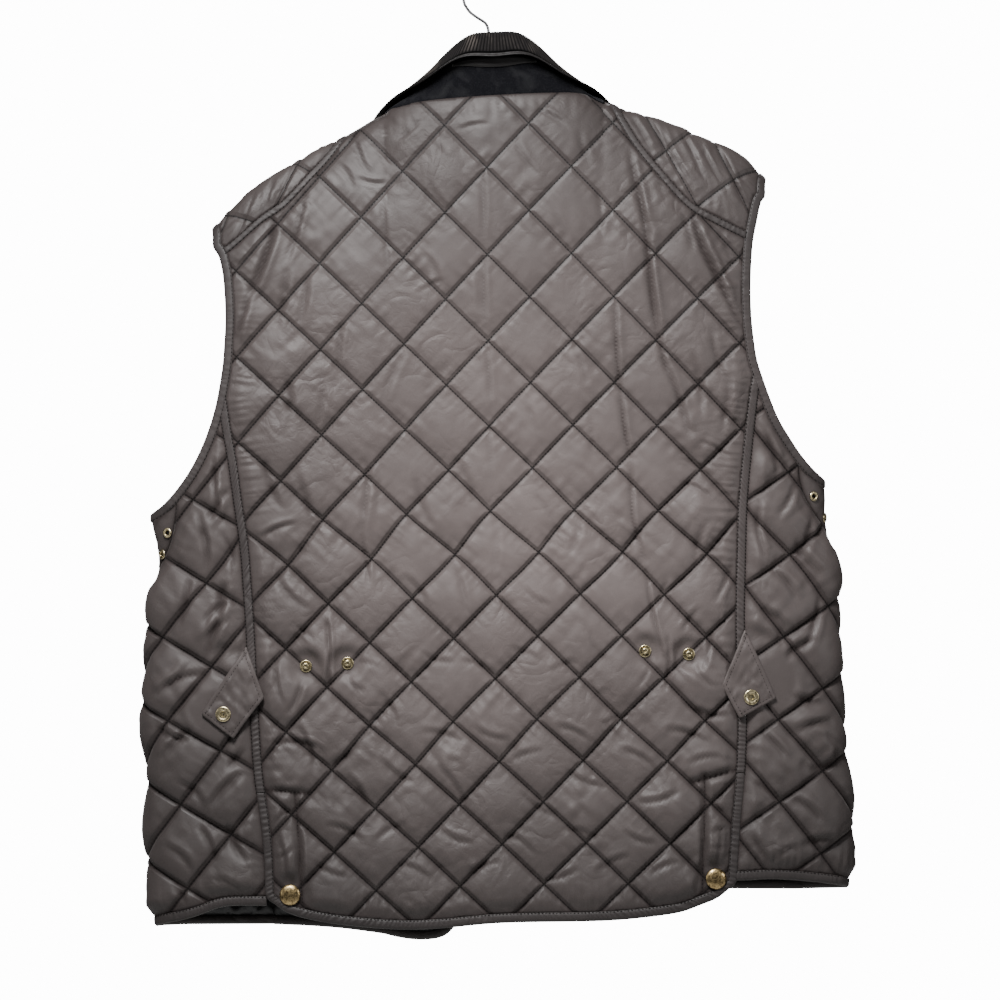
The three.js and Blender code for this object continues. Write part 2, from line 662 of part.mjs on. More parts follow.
// A quilted panel: its wadding lifts the outer points between the quilting lines, and its inner
// face stays plain. Each pin presses it flat, and a plain side has points at half the density.
function quiltedPanel(outline, toBody, quilt, { pins = [], plainInside = true, drapes = [] } = {}) {
  const centre = quilt.at;
  const { bow = 0, crowd = 0 } = quilt;
  const toDiamonds = (point) => {
    const { x, y } = point.clone().sub(centre);
    const straight = y - quilt.rise * x + bow * x * x - crowd * y * y;
    return { m: (x - quilt.lean * y) / quilt.wide, n: straight / quilt.high };
  };
  const fromDiamonds = (m, n) => {
    let [x, y] = [m * quilt.wide, n * quilt.high];
    for (let round = 0; round < SETTLING_ROUNDS; round += 1) {
      y = n * quilt.high + quilt.rise * x - bow * x * x + crowd * y * y;
      x = m * quilt.wide + quilt.lean * y;
    }
    return new THREE.Vector2(x, y).add(centre);
  };
  const cell = Math.min(quilt.wide, quilt.high) / 4;
  const reach = Math.max(...outline.map((point) => point.distanceTo(centre))) + QUILT;
  const most = Math.ceil(reach / cell);
  const lattice = [];
  for (let i = -most; i <= most; i += 1) {
    for (let j = -most; j <= most; j += 1) {
      const point = fromDiamonds(i / 4, j / 4);
      if (!isInside(point, outline) || distanceToOutline(point, outline) < cell * 0.55) continue;
      if (pins.some((pin) => pin.at.distanceTo(point) < pin.radius + cell * 0.45)) continue;
      const coarse = i % 2 === 0 && j % 2 === 0;
      lattice.push({ point, pull: (i + j) % 2 === 0 ? cell * cell * 0.2 : 0, coarse });
    }
  }
  const flats = pins.flatMap((pin) => {
    const ring = Array.from({ length: RING_POINTS }, (_, k) => {
      const angle = (k / RING_POINTS) * 2 * Math.PI;
      const point = new THREE.Vector2(Math.cos(angle), Math.sin(angle)).multiplyScalar(pin.radius);
      return { point: point.add(pin.at), pull: 0, coarse: false };
    });
    return [...ring, { point: pin.at, pull: 0, coarse: false }];
  }).filter((item) => isInside(item.point, outline) && distanceToOutline(item.point, outline) > 3);
  const full = triangulate(outline, [...lattice, ...flats]);
  const plain = triangulate(outline, plainInside ? lattice.filter((item) => item.coarse) : lattice);
  const heightAt = (point, i) => {
    if (i < outline.length) return CLOTH_WALL;
    if (pins.some((pin) => pin.at.distanceTo(point) <= pin.radius + 0.01)) return CLOTH_WALL;
    const { m, n } = toDiamonds(point);
    const swell = Math.abs(Math.sin(Math.PI * (m + n)) * Math.sin(Math.PI * (m - n)));
    const fade = Math.min(distanceToOutline(point, outline) / EDGE_FADE, 1);
    const drape = drapes.reduce((sum, item) => sum + drapeLift(item, point), 0);
    return CLOTH_WALL + fade * (PUFF * swell ** FULLNESS + drape);
  };
  const outer = full.points.map((point, i) => toBody(point, heightAt(point, i)));
  const inner = plain.points.map((point) => toBody(point, 0));
  return wall(outer, full.faces, inner, plain.faces, outline.length);
}

function drapeLift({ from, to, width, lift }, point) {
  const line = to.clone().sub(from);
  const t = point.clone().sub(from).dot(line) / line.lengthSq();
  if (t < 0 || t > 1) return 0;
  const away = from.clone().addScaledVector(line, t).distanceTo(point) / width;
  return away < 1 ? lift * Math.sin(Math.PI * t) ** 0.5 * (1 - away * away) : 0;
}

// A closed grid of rows and columns with a wall's thickness
function gridWall(outerRows, innerRows) {
  const columns = outerRows[0].length;
  const rows = outerRows.length;
  const shift = rows * columns;
  const at = (r, c) => r * columns + c;
  const faces = [];
  for (let r = 0; r + 1 < rows; r += 1) {
    for (let c = 0; c + 1 < columns; c += 1) {
      faces.push([at(r, c), at(r, c + 1), at(r + 1, c + 1)], [at(r, c), at(r + 1, c + 1), at(r + 1, c)]);
      faces.push(
        [at(r, c) + shift, at(r + 1, c + 1) + shift, at(r, c + 1) + shift],
        [at(r, c) + shift, at(r + 1, c) + shift, at(r + 1, c + 1) + shift],
      );
    }
  }
  const rim = [];
  for (let c = 0; c + 1 < columns; c += 1) rim.push(at(0, c));
  for (let r = 0; r + 1 < rows; r += 1) rim.push(at(r, columns - 1));
  for (let c = columns - 1; c > 0; c -= 1) rim.push(at(rows - 1, c));
  for (let r = rows - 1; r > 0; r -= 1) rim.push(at(r, 0));
  rim.forEach((a, i) => {
    const b = rim[(i + 1) % rim.length];
    faces.push([a, a + shift, b + shift], [a, b + shift, b]);
  });
  return solid([...outerRows.flat(), ...innerRows.flat()], faces);
}

// A plain panel between two distances out, with any points given inside it
function plainPanel(outline, toBody, low, high, inside = []) {
  const sheet = triangulate(outline, inside.map((point) => ({ point, pull: 0 })));
  const outer = sheet.points.map((point) => toBody(point, high));
  const inner = sheet.points.map((point) => toBody(point, low));
  return wall(outer, sheet.faces, inner, sheet.faces, outline.length);
}

// Points on a square grid inside an outline
function gridInside(outline, spacing, margin) {
  const box = new THREE.Box2().setFromPoints(outline);
  const points = [];
  for (let x = Math.ceil(box.min.x / spacing) * spacing; x < box.max.x; x += spacing) {
    for (let y = Math.ceil(box.min.y / spacing) * spacing; y < box.max.y; y += spacing) {
      const point = new THREE.Vector2(x, y);
      if (isInside(point, outline) && distanceToOutline(point, outline) > margin) points.push(point);
    }
  }
  return points;
}

// A closed skin round four-cornered rings, with its ends capped or joined
function ringSolid(rings, joined) {
  const sides = rings[0].length;
  const faces = [];
  const links = joined ? rings.length : rings.length - 1;
  for (let i = 0; i < links; i += 1) {
    const next = (i + 1) % rings.length;
    for (let s = 0; s < sides; s += 1) {
      const t = (s + 1) % sides;
      const [a, b, c, d] = [i * sides + s, i * sides + t, next * sides + t, next * sides + s];
      faces.push([a, b, c], [a, c, d]);
    }
  }
  if (!joined) {
    const end = (rings.length - 1) * sides;
    for (let s = 1; s + 1 < sides; s += 1) {
      faces.push([0, s + 1, s], [end, end + s, end + s + 1]);
    }
  }
  return facingOut(solid(rings.flat(), faces));
}

function facingOut(geometry) {
  const index = geometry.index.array;
  const position = geometry.attributes.position;
  const corner = (i) => new THREE.Vector3().fromBufferAttribute(position, index[i]);
  let volume = 0;
  for (let i = 0; i < index.length; i += 3) {
    volume += corner(i).dot(corner(i + 1).cross(corner(i + 2)));
  }
  if (volume < 0) {
    for (let i = 0; i < index.length; i += 3) [index[i], index[i + 1]] = [index[i + 1], index[i]];
  }
  geometry.computeVertexNormals();
  return geometry;
}

// The object

const vest = new THREE.Group();

function add(name, geometry, material) {
  const mesh = new THREE.Mesh(geometry, material);
  mesh.name = name;
  vest.add(mesh);
  return mesh;
}

// Armholes: the binding's edge runs round each in space, and the panels stop at its inner side

function armholeLoop(side) {
  const front = side.armhole.map((row) => {
    const share = (row.drop - ridgeDrop(side.tip)) / (side.armholeBottom - ridgeDrop(side.tip));
    return { drop: row.drop, x: row.x - side.sign * FRONT_SCOOP * Math.sin(Math.PI * Math.min(share, 1)) };
  });
  const onBody = (row, signY) => chartToBody(chart(row.x, row.drop, signY), 0);
  const nearRidge = [1, 6, 14].map((below) => ({ x: side.tip, drop: ridgeDrop(side.tip) + below }));
  const ridge = chartToBody(chart(side.tip, ridgeDrop(side.tip)), 0);
  const underarm = new THREE.Vector2(side.sign * sideLength(side.armholeBottom), -side.armholeBottom);
  const bottom = chartToBody(underarm, 0);
  const control = [
    ridge,
    ...[...nearRidge, ...side.armhole].map((row) => onBody(row, -1)),
    bottom,
    ...[...nearRidge, ...front].map((row) => onBody(row, 1)).reverse(),
  ];
  const half = nearRidge.length + side.armhole.length + 1;
  const total = control.reduce((sum, point) => sum.add(point), new THREE.Vector3());
  const centre = total.divideScalar(control.length);
  return control.map((edge, i) => {
    const before = control[(i + control.length - 1) % control.length];
    const after = control[(i + 1) % control.length];
    const along = after.clone().sub(before).normalize();
    const signY = i <= half ? -1 : 1;
    const normal = normalAt(edge, i === half ? 0 : signY);
    const inward = along.clone().cross(normal).normalize();
    if (inward.dot(edge.clone().sub(centre)) < 0) inward.negate();
    return { edge, normal, inward, signY, isBottom: i === half };
  });
}

function normalAt(point, signY) {
  const drop = -point.z;
  const section = sectionAt(drop);
  const signX = point.x < section.middle ? -1 : 1;
  if (signY === 0) return new THREE.Vector3(signX, 0, 0);
  const place = chart(point.x, drop, signY, point.y);
  return chartToBody(place, 1).sub(chartToBody(place, 0)).normalize();
}

const BORDER_GAP = 0.8; // between the armhole's binding and the panels
const TAPE_LOW = -0.8;
const TAPE_HIGH = CLOTH_WALL + TAPE_RISE;

function armholeBinding(loop) {
  const rings = loop.map(({ edge, normal, inward }) => {
    const inner = edge.clone().addScaledVector(inward, TAPE_WIDTH);
    return [
      edge.clone().addScaledVector(normal, TAPE_HIGH),
      inner.clone().addScaledVector(normal, TAPE_HIGH),
      inner.clone().addScaledVector(normal, TAPE_LOW),
      edge.clone().addScaledVector(normal, TAPE_LOW),
    ];
  });
  return ringSolid(rings, true);
}

// The line on the chart where the panels stop beside the binding
function armholeBorder(loop, signX) {
  return loop.slice(1).map(({ edge, inward, signY, isBottom }) => {
    const point = edge.clone().addScaledVector(inward, TAPE_WIDTH + BORDER_GAP);
    if (isBottom) return new THREE.Vector2(signX * sideLength(-point.z), point.z);
    return chart(point.x, -point.z, signY, point.y);
  });
}

const HALF_TAPE = TAPE_WIDTH / 2;
const PANEL_SIDE = HALF_TAPE + SEAM_GAP;

// Curves that the pieces share

const TINY_DROP = 0.01;
const YOKE_STATION = 6;
const YOKE_BAND_HALF = HALF_TAPE - 0.5;
const YOKE_BAND_END = 1.5; // where it stops short of the shoulder ridge
const EXTRA = 12; // how far a curve runs on past its corner so that its neighbour crosses it
const raise = (curve, amount) => curve.map((point) => new THREE.Vector2(point.x, point.y + amount));
const INSET = TAPE_WIDTH + SEAM_GAP;
const { left, right } = SIDES;
const neckEnd = (side) => (side.sign < 0 ? NECK_LEFT + 2 : NECK_RIGHT - 2);

function ridgeCurve(from, to, signY) {
  const rows = [{ x: from, drop: 0 }, { x: to, drop: 0 }];
  return acrossCurve(rows, (x) => chart(x, ridgeDrop(x) + TINY_DROP, signY));
}

// The yoke seam on the shoulder chart, moved towards the yoke
function yokeSeam(side, towardsYoke) {
  const middle = acrossCurve(side.yokeSeam, (x, drop) => shoulder(x, drop, -1), YOKE_STATION);
  return beside(middle, -side.sign * towardsYoke);
}

// The yoke's front seam, moved down the front
function yokeFront(side, down, toChart) {
  const from = side.tip + side.sign * EXTRA;
  const to = neckEnd(side) - side.sign * EXTRA;
  const rows = [{ x: from, drop: 0 }, { x: neckEnd(side), drop: 0 }, { x: to, drop: 0 }];
  return acrossCurve(rows, (x) => {
    const share = (x - neckEnd(side)) / (side.tip - neckEnd(side));
    const below = THREE.MathUtils.lerp(YOKE_NECK_DROP, YOKE_FRONT_DROP, share);
    return toChart(x, Math.max(ridgeDrop(x), ridgeDrop(neckEnd(side)) - EXTRA) + below + down, 1);
  });
}

// The front neck edge, from above the yoke's front seam to past the front edge
function frontNeck(side) {
  const top = { x: neckEnd(side), drop: ridgeDrop(neckEnd(side)) };
  const points = [new THREE.Vector2(top.x, top.drop - 1)];
  for (let k = 0; k <= 7; k += 1) {
    const angle = (k / 7) * (Math.PI / 2);
    points.push(new THREE.Vector2(
      THREE.MathUtils.lerp(top.x, side.frontEdge, 1 - Math.cos(angle)),
      top.drop + YOKE_NECK_DROP + FRONT_NECK_DEPTH * Math.sin(angle),
    ));
  }
  points.push(new THREE.Vector2(side.frontEdge - side.sign * EXTRA, points[points.length - 1].y + 1));
  return points.map((point) => chart(point.x, point.y, 1));
}

function frontEdgeCurve(side, shift) {
  const points = [];
  for (let drop = 136; drop <= 920; drop += 2 * STATION) points.push(chart(side.frontEdge, drop, 1));
  return points.map((point) => new THREE.Vector2(point.x - side.sign * shift, point.y));
}

// A side panel's hem, from the back seam round to the front
function sideHemCurve(side) {
  const around = [
    new THREE.Vector2(side.sign * sideLength(side.sideHemSide), -side.sideHemSide),
    chart(side.sign * SIDE_HEM_TURN, side.sideHemFront, 1),
    chart(side.frontSeam[3].x - side.sign * EXTRA, side.sideHemFront, 1),
  ];
  const behind = side.sideHem.map((row) => chart(row.x, row.drop, -1));
  return stretch([...behind, ...around]);
}

// An edge of the underarm gusset, moved away from its middle
function gussetCurve(side, signY, shift) {
  const points = [];
  const height = side.gussetTip - side.armholeBottom;
  for (let k = -1; k <= 7; k += 1) {
    const drop = side.gussetTip - (k / 5) * height;
    const reach = GUSSET_REACH * Math.sin((k / 5) * (Math.PI / 2) * 0.9) + shift;
    points.push(new THREE.Vector2(side.sign * (sideLength(drop) + signY * reach), -drop));
  }
  return points;
}

const onBack = (x, drop) => chart(x, drop, -1);
const neckCurve = acrossCurve(BACK_NECK, onBack);
const backHemCurve = acrossCurve(BACK_HEM, onBack);

for (const [name, side] of Object.entries(SIDES)) {
  side.name = name;
  side.loop = armholeLoop(side);
  side.border = armholeBorder(side.loop, side.sign);
  side.backSeam = (shift) => downCurve(side.seam, -1, shift);
  side.frontSeamAt = (shift) => downCurve(side.frontSeam, 1, shift);
  side.hem = sideHemCurve(side);
  side.frontHemCurve = acrossCurve(side.frontHem, (x, drop) => chart(x, drop, 1));
  side.neck = frontNeck(side);
}

const pinAt = (row, radius, signY = -1) => ({ at: chart(row.x, row.drop, signY), radius: radius + 2.5 });
const level = (side, drop, signY = -1) => [
  chart(side.seam[0].x + side.sign * 2 * EXTRA, drop, signY),
  chart(side.seam[0].x - side.sign * 6 * EXTRA, drop, signY),
];

// Back panel

function backPanel() {
  const toBackChart = (points) => points.map((point) => shoulderToChart(point, -1));
  const outline = enclose([
    raise(backHemCurve, INSET),
    right.backSeam(-PANEL_SIDE),
    right.border,
    toBackChart(yokeSeam(right, -PANEL_SIDE)),
    ridgeCurve(right.ridgeMeeting + EXTRA, NECK_RIGHT - 1, -1),
    neckCurve,
    ridgeCurve(NECK_LEFT + 8, left.ridgeMeeting - EXTRA, -1),
    toBackChart(yokeSeam(left, -PANEL_SIDE)),
    left.border,
    left.backSeam(PANEL_SIDE),
  ]);
  const pins = [left, right].flatMap((side) => [
    ...side.studs.map((row) => pinAt(row, STUD_RADIUS)),
    pinAt(side.ventSnap, VENT_SNAP_RADIUS),
  ]);
  const drapes = DRAPES.map((item) => ({
    from: onBack(item.x1, item.drop1), to: onBack(item.x2, item.drop2), width: item.width, lift: item.lift,
  }));
  const quilt = { ...BACK_QUILT, at: onBack(BACK_QUILT.x, BACK_QUILT.drop) };
  return quiltedPanel(outline, chartToBody, quilt, { pins, drapes });
}

add('back_panel', backPanel(), FINISH.nylon);

// Side panels, which run round under the arms, and their gussets

function sidePanel(side) {
  const parts = [
    raise(side.hem, INSET),
    side.backSeam(side.sign * PANEL_SIDE),
    side.border,
    gussetCurve(side, -1, SEAM_GAP),
    gussetCurve(side, 1, SEAM_GAP),
    side.border,
    side.frontSeamAt(-side.sign * SEAM_GAP / 2),
  ];
  const outline = enclose(parts);
  if (side.sign > 0) outline.reverse();
  const quilt = { ...side.quilt, at: onBack(side.quilt.x, side.quilt.drop) };
  return quiltedPanel(outline, chartToBody, quilt, { plainInside: false });
}

function gusset(side) {
  const inset = -1.5 * SEAM_GAP;
  const outline = enclose([gussetCurve(side, -1, inset), side.border, gussetCurve(side, 1, inset)]);
  if (side.sign > 0) outline.reverse();
  const middle = side.sign * sideLength(side.armholeBottom);
  const inside = gridInside(outline, STATION / 2, 5).filter((point) => Math.abs(point.x - middle) < 60);
  return plainPanel(outline, chartToBody, 0, CLOTH_WALL, inside);
}

// Front panels, open down the middle

function frontPanel(side) {
  const outline = enclose([
    raise(side.frontHemCurve, INSET),
    side.frontSeamAt(side.sign * SEAM_GAP / 2),
    side.border.slice(side.loop.length / 2),
    yokeFront(side, SEAM_GAP, chart),
    side.neck,
    frontEdgeCurve(side, 0),
  ]);
  if (side.sign > 0) outline.reverse();
  const quilt = { ...PLAIN_QUILT, at: chart(side.frontEdge, BACK_QUILT.drop, 1) };
  const pins = frontSnapRows(side).map((row) => pinAt(row, SNAP_RADIUS, 1));
  return quiltedPanel(outline, chartToBody, quilt, { pins });
}

function frontSnapRows(side) {
  return Array.from({ length: FRONT_SNAPS }, (_, k) => ({
    x: side.frontEdge + side.sign * FRONT_SNAP_INSET,
    drop: FRONT_SNAP_TOP + k * FRONT_SNAP_PITCH,
  }));
}

// Yokes, which lie over the shoulder ridge between a back seam and a front one

const FOLD_ROWS = [-52, -36, -22, -12, -5, 0, 5, 12, 22, 36];

function yokeBorder(side) {
  const near = side.loop
    .map((item, i) => ({ ...item, i: i > side.loop.length / 2 ? i - side.loop.length : i }))
    .filter((item) => Math.abs(item.i) <= 8)
    .sort((a, b) => a.i - b.i);
  return near.map(({ edge, inward, signY, i }) => {
    const point = edge.clone().addScaledVector(inward, TAPE_WIDTH + 1.3 * BORDER_GAP);
    if (i === 0) return new THREE.Vector2(point.x, 0);
    return new THREE.Vector2(point.x, foldLength(point.x, signY, -point.z));
  });
}

function yoke(side) {
  const neckX = neckEnd(side);
  const outline = enclose([
    yokeSeam(side, PANEL_SIDE),
    [
      new THREE.Vector2(side.ridgeMeeting + side.sign * YOKE_OVERLAP, SEAM_GAP),
      new THREE.Vector2(neckX - side.sign, SEAM_GAP),
    ],
    [new THREE.Vector2(neckX, -1), new THREE.Vector2(neckX, 60)],
    yokeFront(side, 0, shoulder),
    yokeBorder(side),
  ]);
  if (side.sign > 0) outline.reverse();
  const box = new THREE.Box2().setFromPoints(outline);
  const inside = [];
  for (let x = box.min.x + STATION / 2; x < box.max.x; x += STATION) {
    FOLD_ROWS.forEach((y) => inside.push(new THREE.Vector2(x, y)));
  }
  const kept = inside.filter((point) => isInside(point, outline) && distanceToOutline(point, outline) > 3.5);
  const sheet = triangulate(outline, kept.map((point) => ({ point, pull: 0 })));
  const outer = sheet.points.map((point, i) => {
    if (i < outline.length) return shoulderToBody(point, CLOTH_WALL);
    const fade = Math.min(distanceToOutline(point, outline) / EDGE_FADE, 1);
    const across = (Math.PI * (point.x + point.y)) / QUILT;
    const down = (Math.PI * (point.x - point.y)) / QUILT;
    const swell = Math.abs(Math.sin(across) * Math.sin(down)) ** FULLNESS;
    return shoulderToBody(point, CLOTH_WALL + fade * YOKE_PUFF * swell);
  });
  const inner = sheet.points.map((point) => shoulderToBody(point, 0));
  return wall(outer, sheet.faces, inner, sheet.faces, outline.length);
}

// Bindings and bands

function tapeBetween(curves, toBody = chartToBody) {
  const outline = enclose(curves);
  if (THREE.ShapeUtils.area(outline) < 0) outline.reverse();
  return plainPanel(outline, toBody, TAPE_LOW, TAPE_HIGH);
}

function seamBand(side) {
  return tapeBetween([
    level(side, side.ventTop - SEAM_GAP),
    side.backSeam(side.sign * HALF_TAPE),
    side.border,
    side.backSeam(-side.sign * HALF_TAPE),
  ]);
}

function yokeBand(side) {
  const end = [
    new THREE.Vector2(side.ridgeMeeting + side.sign * 3 * EXTRA, -YOKE_BAND_END),
    new THREE.Vector2(side.ridgeMeeting - side.sign * 3 * EXTRA, -YOKE_BAND_END),
  ];
  return tapeBetween(
    [yokeSeam(side, YOKE_BAND_HALF), end, yokeSeam(side, -YOKE_BAND_HALF), yokeBorder(side)],
    shoulderToBody,
  );
}

function backHemBinding() {
  return tapeBetween([
    backHemCurve,
    right.backSeam(HALF_TAPE),
    level(right, right.ventTop),
    right.backSeam(-HALF_TAPE),
    raise(backHemCurve, TAPE_WIDTH),
    left.backSeam(HALF_TAPE),
    level(left, left.ventTop),
    left.backSeam(-HALF_TAPE),
  ]);
}

function sideHemBinding(side) {
  return tapeBetween([
    side.hem,
    side.backSeam(side.sign * PANEL_SIDE),
    raise(side.hem, TAPE_WIDTH),
    side.frontSeamAt(-side.sign * SEAM_GAP / 2),
  ]);
}

function frontHemBinding(side) {
  return tapeBetween([
    side.frontHemCurve,
    side.frontSeamAt(side.sign * SEAM_GAP / 2),
    raise(side.frontHemCurve, TAPE_WIDTH),
    frontEdgeCurve(side, 0),
  ]);
}

// Corduroy facing inside a front edge

const FACING_START = 40; // below the yoke's front seam
const FACING_OUT = { low: -3.3, high: -1.1 };

function facing(side) {
  const outline = enclose([
    raise(side.frontHemCurve, INSET + 1),
    frontEdgeCurve(side, FACING_WIDTH),
    yokeFront(side, FACING_START, chart),
    raise(side.neck, -3),
    frontEdgeCurve(side, 0),
  ]);
  if (THREE.ShapeUtils.area(outline) < 0) outline.reverse();
  const inside = gridInside(outline, 2 * STATION, 12);
  return plainPanel(outline, chartToBody, FACING_OUT.low, FACING_OUT.high, inside);
}

// Metal pieces: each is turned about its own axis and seated on the cloth

const TURNS = 12;

function turned(profile) {
  return new THREE.LatheGeometry(profile.map(([r, h]) => new THREE.Vector2(r, h)), TURNS);
}

function seat(mesh, point, out) {
  const foot = chartToBody(point, out);
  const normal = chartToBody(point, out + 1).sub(foot).normalize();
  mesh.position.copy(foot);
  mesh.quaternion.setFromUnitVectors(new THREE.Vector3(0, 1, 0), normal);
}

const domeProfile = (r, height) => [
  [0, 0], [r * 0.94, 0], [r, height * 0.2], [r * 0.86, height * 0.66], [r * 0.5, height * 0.94], [0, height],
];
const ringSnapProfile = (r) => [
  [0, 0], [r, 0], [r, 0.9], [r * 0.8, 1.5], [r * 0.45, 1.1], [r * 0.25, 0.7], [0, 0.7],
];
const studProfile = (r) => [
  [0, 0], [r, 0], [r, 0.7], [r * 0.62, 1.0], [r * 0.5, 3.2], [r * 0.3, 3.6], [0, 3.6],
];
const METAL_SEAT = CLOTH_WALL + SEAM_GAP;
const TAB_THICKNESS = 2.2;
const TAB_RAMP = 24; // below its sewn corner the tab climbs onto the quilting over this distance

function metal(name, profile, point, out) {
  seat(add(name, turned(profile), FINISH.brass), point, out);
}

// Waist tab: a five-sided flap that hangs unfastened from the seam band

function tabLow(side, point) {
  const away = (-point.y - side.tab[0].drop) / TAB_RAMP;
  const onTape = TAPE_HIGH + SEAM_GAP;
  return THREE.MathUtils.lerp(onTape, side.tabRest, THREE.MathUtils.smoothstep(away, 0, 1));
}

function waistTab(side) {
  const corners = side.tab.map((row) => onBack(row.x, row.drop));
  if (THREE.ShapeUtils.area(corners) < 0) corners.reverse();
  const outline = stretch(corners, true);
  const toBody = (point, out) => chartToBody(point, tabLow(side, point) + out);
  return plainPanel(outline, toBody, 0, TAB_THICKNESS, gridInside(outline, STATION / 2, 4));
}

// Eyelets are real holes through the gusset, each lined with a flanged ring

const wasm = await Module();
wasm.setup();

function toManifold(geometry) {
  const bare = new THREE.BufferGeometry().copy(geometry).deleteAttribute('normal').deleteAttribute('uv');
  const plain = mergeVertices(bare, 1e-4);
  return new wasm.Manifold(new wasm.Mesh({
    numProp: 3,
    vertProperties: new Float32Array(plain.attributes.position.array),
    triVerts: new Uint32Array(plain.index.array),
  }));
}

function cutHoles(geometry, places) {
  let body = toManifold(geometry);
  places.forEach((point) => {
    const drill = new THREE.CylinderGeometry(EYELET_HOLE + 0.7, EYELET_HOLE + 0.7, 16, TURNS);
    const foot = chartToBody(point, 0);
    const normal = chartToBody(point, 1).sub(foot).normalize();
    drill.applyQuaternion(new THREE.Quaternion().setFromUnitVectors(new THREE.Vector3(0, 1, 0), normal));
    drill.translate(foot.x, foot.y, foot.z);
    body = body.subtract(toManifold(drill));
  });
  const { vertProperties, triVerts } = body.getMesh();
  const cut = new THREE.BufferGeometry();
  cut.setAttribute('position', new THREE.Float32BufferAttribute(vertProperties, 3));
  cut.setIndex(Array.from(triVerts));
  return cut;
}

const eyeletProfile = [
  [EYELET_HOLE, -CLOTH_WALL - 0.3], [EYELET_HOLE + 0.4, -CLOTH_WALL - 0.3], [EYELET_HOLE + 0.4, 0],
  [EYELET_RADIUS, 0], [EYELET_RADIUS, 0.5], [EYELET_HOLE + 0.9, 1.1], [EYELET_HOLE, 0.7],
  [EYELET_HOLE, -CLOTH_WALL - 0.3],
];

const eyeletPlace = (side, row) =>
  new THREE.Vector2(side.sign * (sideLength(row.drop) - row.reach), -row.drop);

// Collar: a stand that leans in towards the neck, and a corduroy fall that rolls over its top

const COLLAR_CLEAR = 1.4;

function collarStations() {
  const lower = [frontEdgeCurve(left, 0), frontEdgeCurve(right, 0)];
  const leftFront = partBetween(left.neck, lower[0], yokeFront(left, 0, chart), 'left neck');
  const rightFront = partBetween(right.neck, yokeFront(right, 0, chart), lower[1], 'right neck');
  const back = partBetween(
    neckCurve,
    ridgeCurve(NECK_LEFT + 8, left.ridgeMeeting - EXTRA, -1),
    ridgeCurve(right.ridgeMeeting + EXTRA, NECK_RIGHT - 1, -1),
    'back neck',
  );
  const overShoulder = (side) => {
    const x = neckEnd(side) - side.sign * COLLAR_CLEAR;
    return [TINY_DROP, YOKE_NECK_DROP / 3].map((below) => chart(x, ridgeDrop(x) + below, 1));
  };
  const bases = [
    ...beside(leftFront, COLLAR_CLEAR),
    ...overShoulder(left).reverse(),
    ...beside(back, COLLAR_CLEAR).slice(1, -1),
    ...overShoulder(right),
    ...beside(rightFront, COLLAR_CLEAR),
  ];
  const feet = bases.map((point) => chartToBody(point, 0));
  const lengths = [0];
  feet.slice(1).forEach((foot, i) => lengths.push(lengths[i] + foot.distanceTo(feet[i])));
  const ridgeLeft = lengths[leftFront.length + 1];
  const ridgeRight = lengths[leftFront.length + back.length];
  const middle = (ridgeLeft + ridgeRight) / 2;
  const end = lengths[lengths.length - 1];
  return bases.map((point, i) => {
    const length = lengths[i];
    let turn = 0.5 * Math.abs(length - middle) / (ridgeRight - middle);
    if (length < ridgeLeft) turn = 0.5 + 0.5 * (ridgeLeft - length) / ridgeLeft;
    if (length > ridgeRight) turn = 0.5 + 0.5 * (length - ridgeRight) / (end - ridgeRight);
    return { point, turn, sign: length < middle ? -1 : 1 };
  });
}

function collarPlaces() {
  const places = collarStations().map(({ point, turn, sign }) => {
    const at = (x, y, drop) => {
      const across = sign * read(COLLAR, x, turn, 'turn');
      const down = read(COLLAR, drop, turn, 'turn') - COLLAR_TILT * across;
      return new THREE.Vector3(COLLAR_MIDDLE + across, read(COLLAR, y, turn, 'turn'), -down);
    };
    return {
      turn,
      baseIn: chartToBody(point, 0),
      baseOut: chartToBody(point, CLOTH_WALL),
      fold: at('foldX', 'foldY', 'foldDrop'),
      edge: at('edgeX', 'edgeY', 'edgeDrop'),
    };
  });
  return places.map((place, i) => {
    const before = places[Math.max(i - 1, 0)].fold;
    const after = places[Math.min(i + 1, places.length - 1)].fold;
    const along = after.clone().sub(before).setZ(0).normalize();
    return { ...place, outward: new THREE.Vector3(along.y, -along.x, 0) };
  });
}

const UP = new THREE.Vector3(0, 0, 1);
const STAND_ROWS = 4;

function collarStand(places) {
  const row = (k, out) => places.map((place) => {
    const share = k / STAND_ROWS;
    const base = out ? place.baseOut : place.baseIn;
    const fold = place.fold.clone().addScaledVector(place.outward, out ? COLLAR_WALL : 0);
    return base.clone().lerp(fold, share);
  });
  const rows = (out) => Array.from({ length: STAND_ROWS + 1 }, (_, k) => row(k, out));
  return facingOut(gridWall(rows(true), rows(false)));
}

// The fall's section beside the fold: distances outwards and upwards from the top of the stand
const FALL_OVER = [{ out: -0.6, up: 0.3 }, { out: -0.8, up: 3.6 }, { out: 2, up: 6 }, { out: 6.4, up: 5 }];
const FALL_UNDER = [{ out: 2.2, up: 0.3 }, { out: 2, up: 2.2 }, { out: 3, up: 3 }, { out: 4.6, up: 2 }];
const FALL_ROWS = 3;

function fallRows(places, over) {
  const section = over ? FALL_OVER : FALL_UNDER;
  const start = (place, { out, up }) =>
    place.fold.clone().addScaledVector(place.outward, out).addScaledVector(UP, up);
  const rolled = section.map((step) => places.map((place) => start(place, step)));
  const last = section[section.length - 1];
  const hanging = Array.from({ length: FALL_ROWS }, (_, k) => places.map((place) => {
    const edge = place.edge.clone().addScaledVector(place.outward, over ? COLLAR_WALL : 0);
    return start(place, last).lerp(edge, (k + 1) / FALL_ROWS);
  }));
  return [...rolled, ...hanging];
}

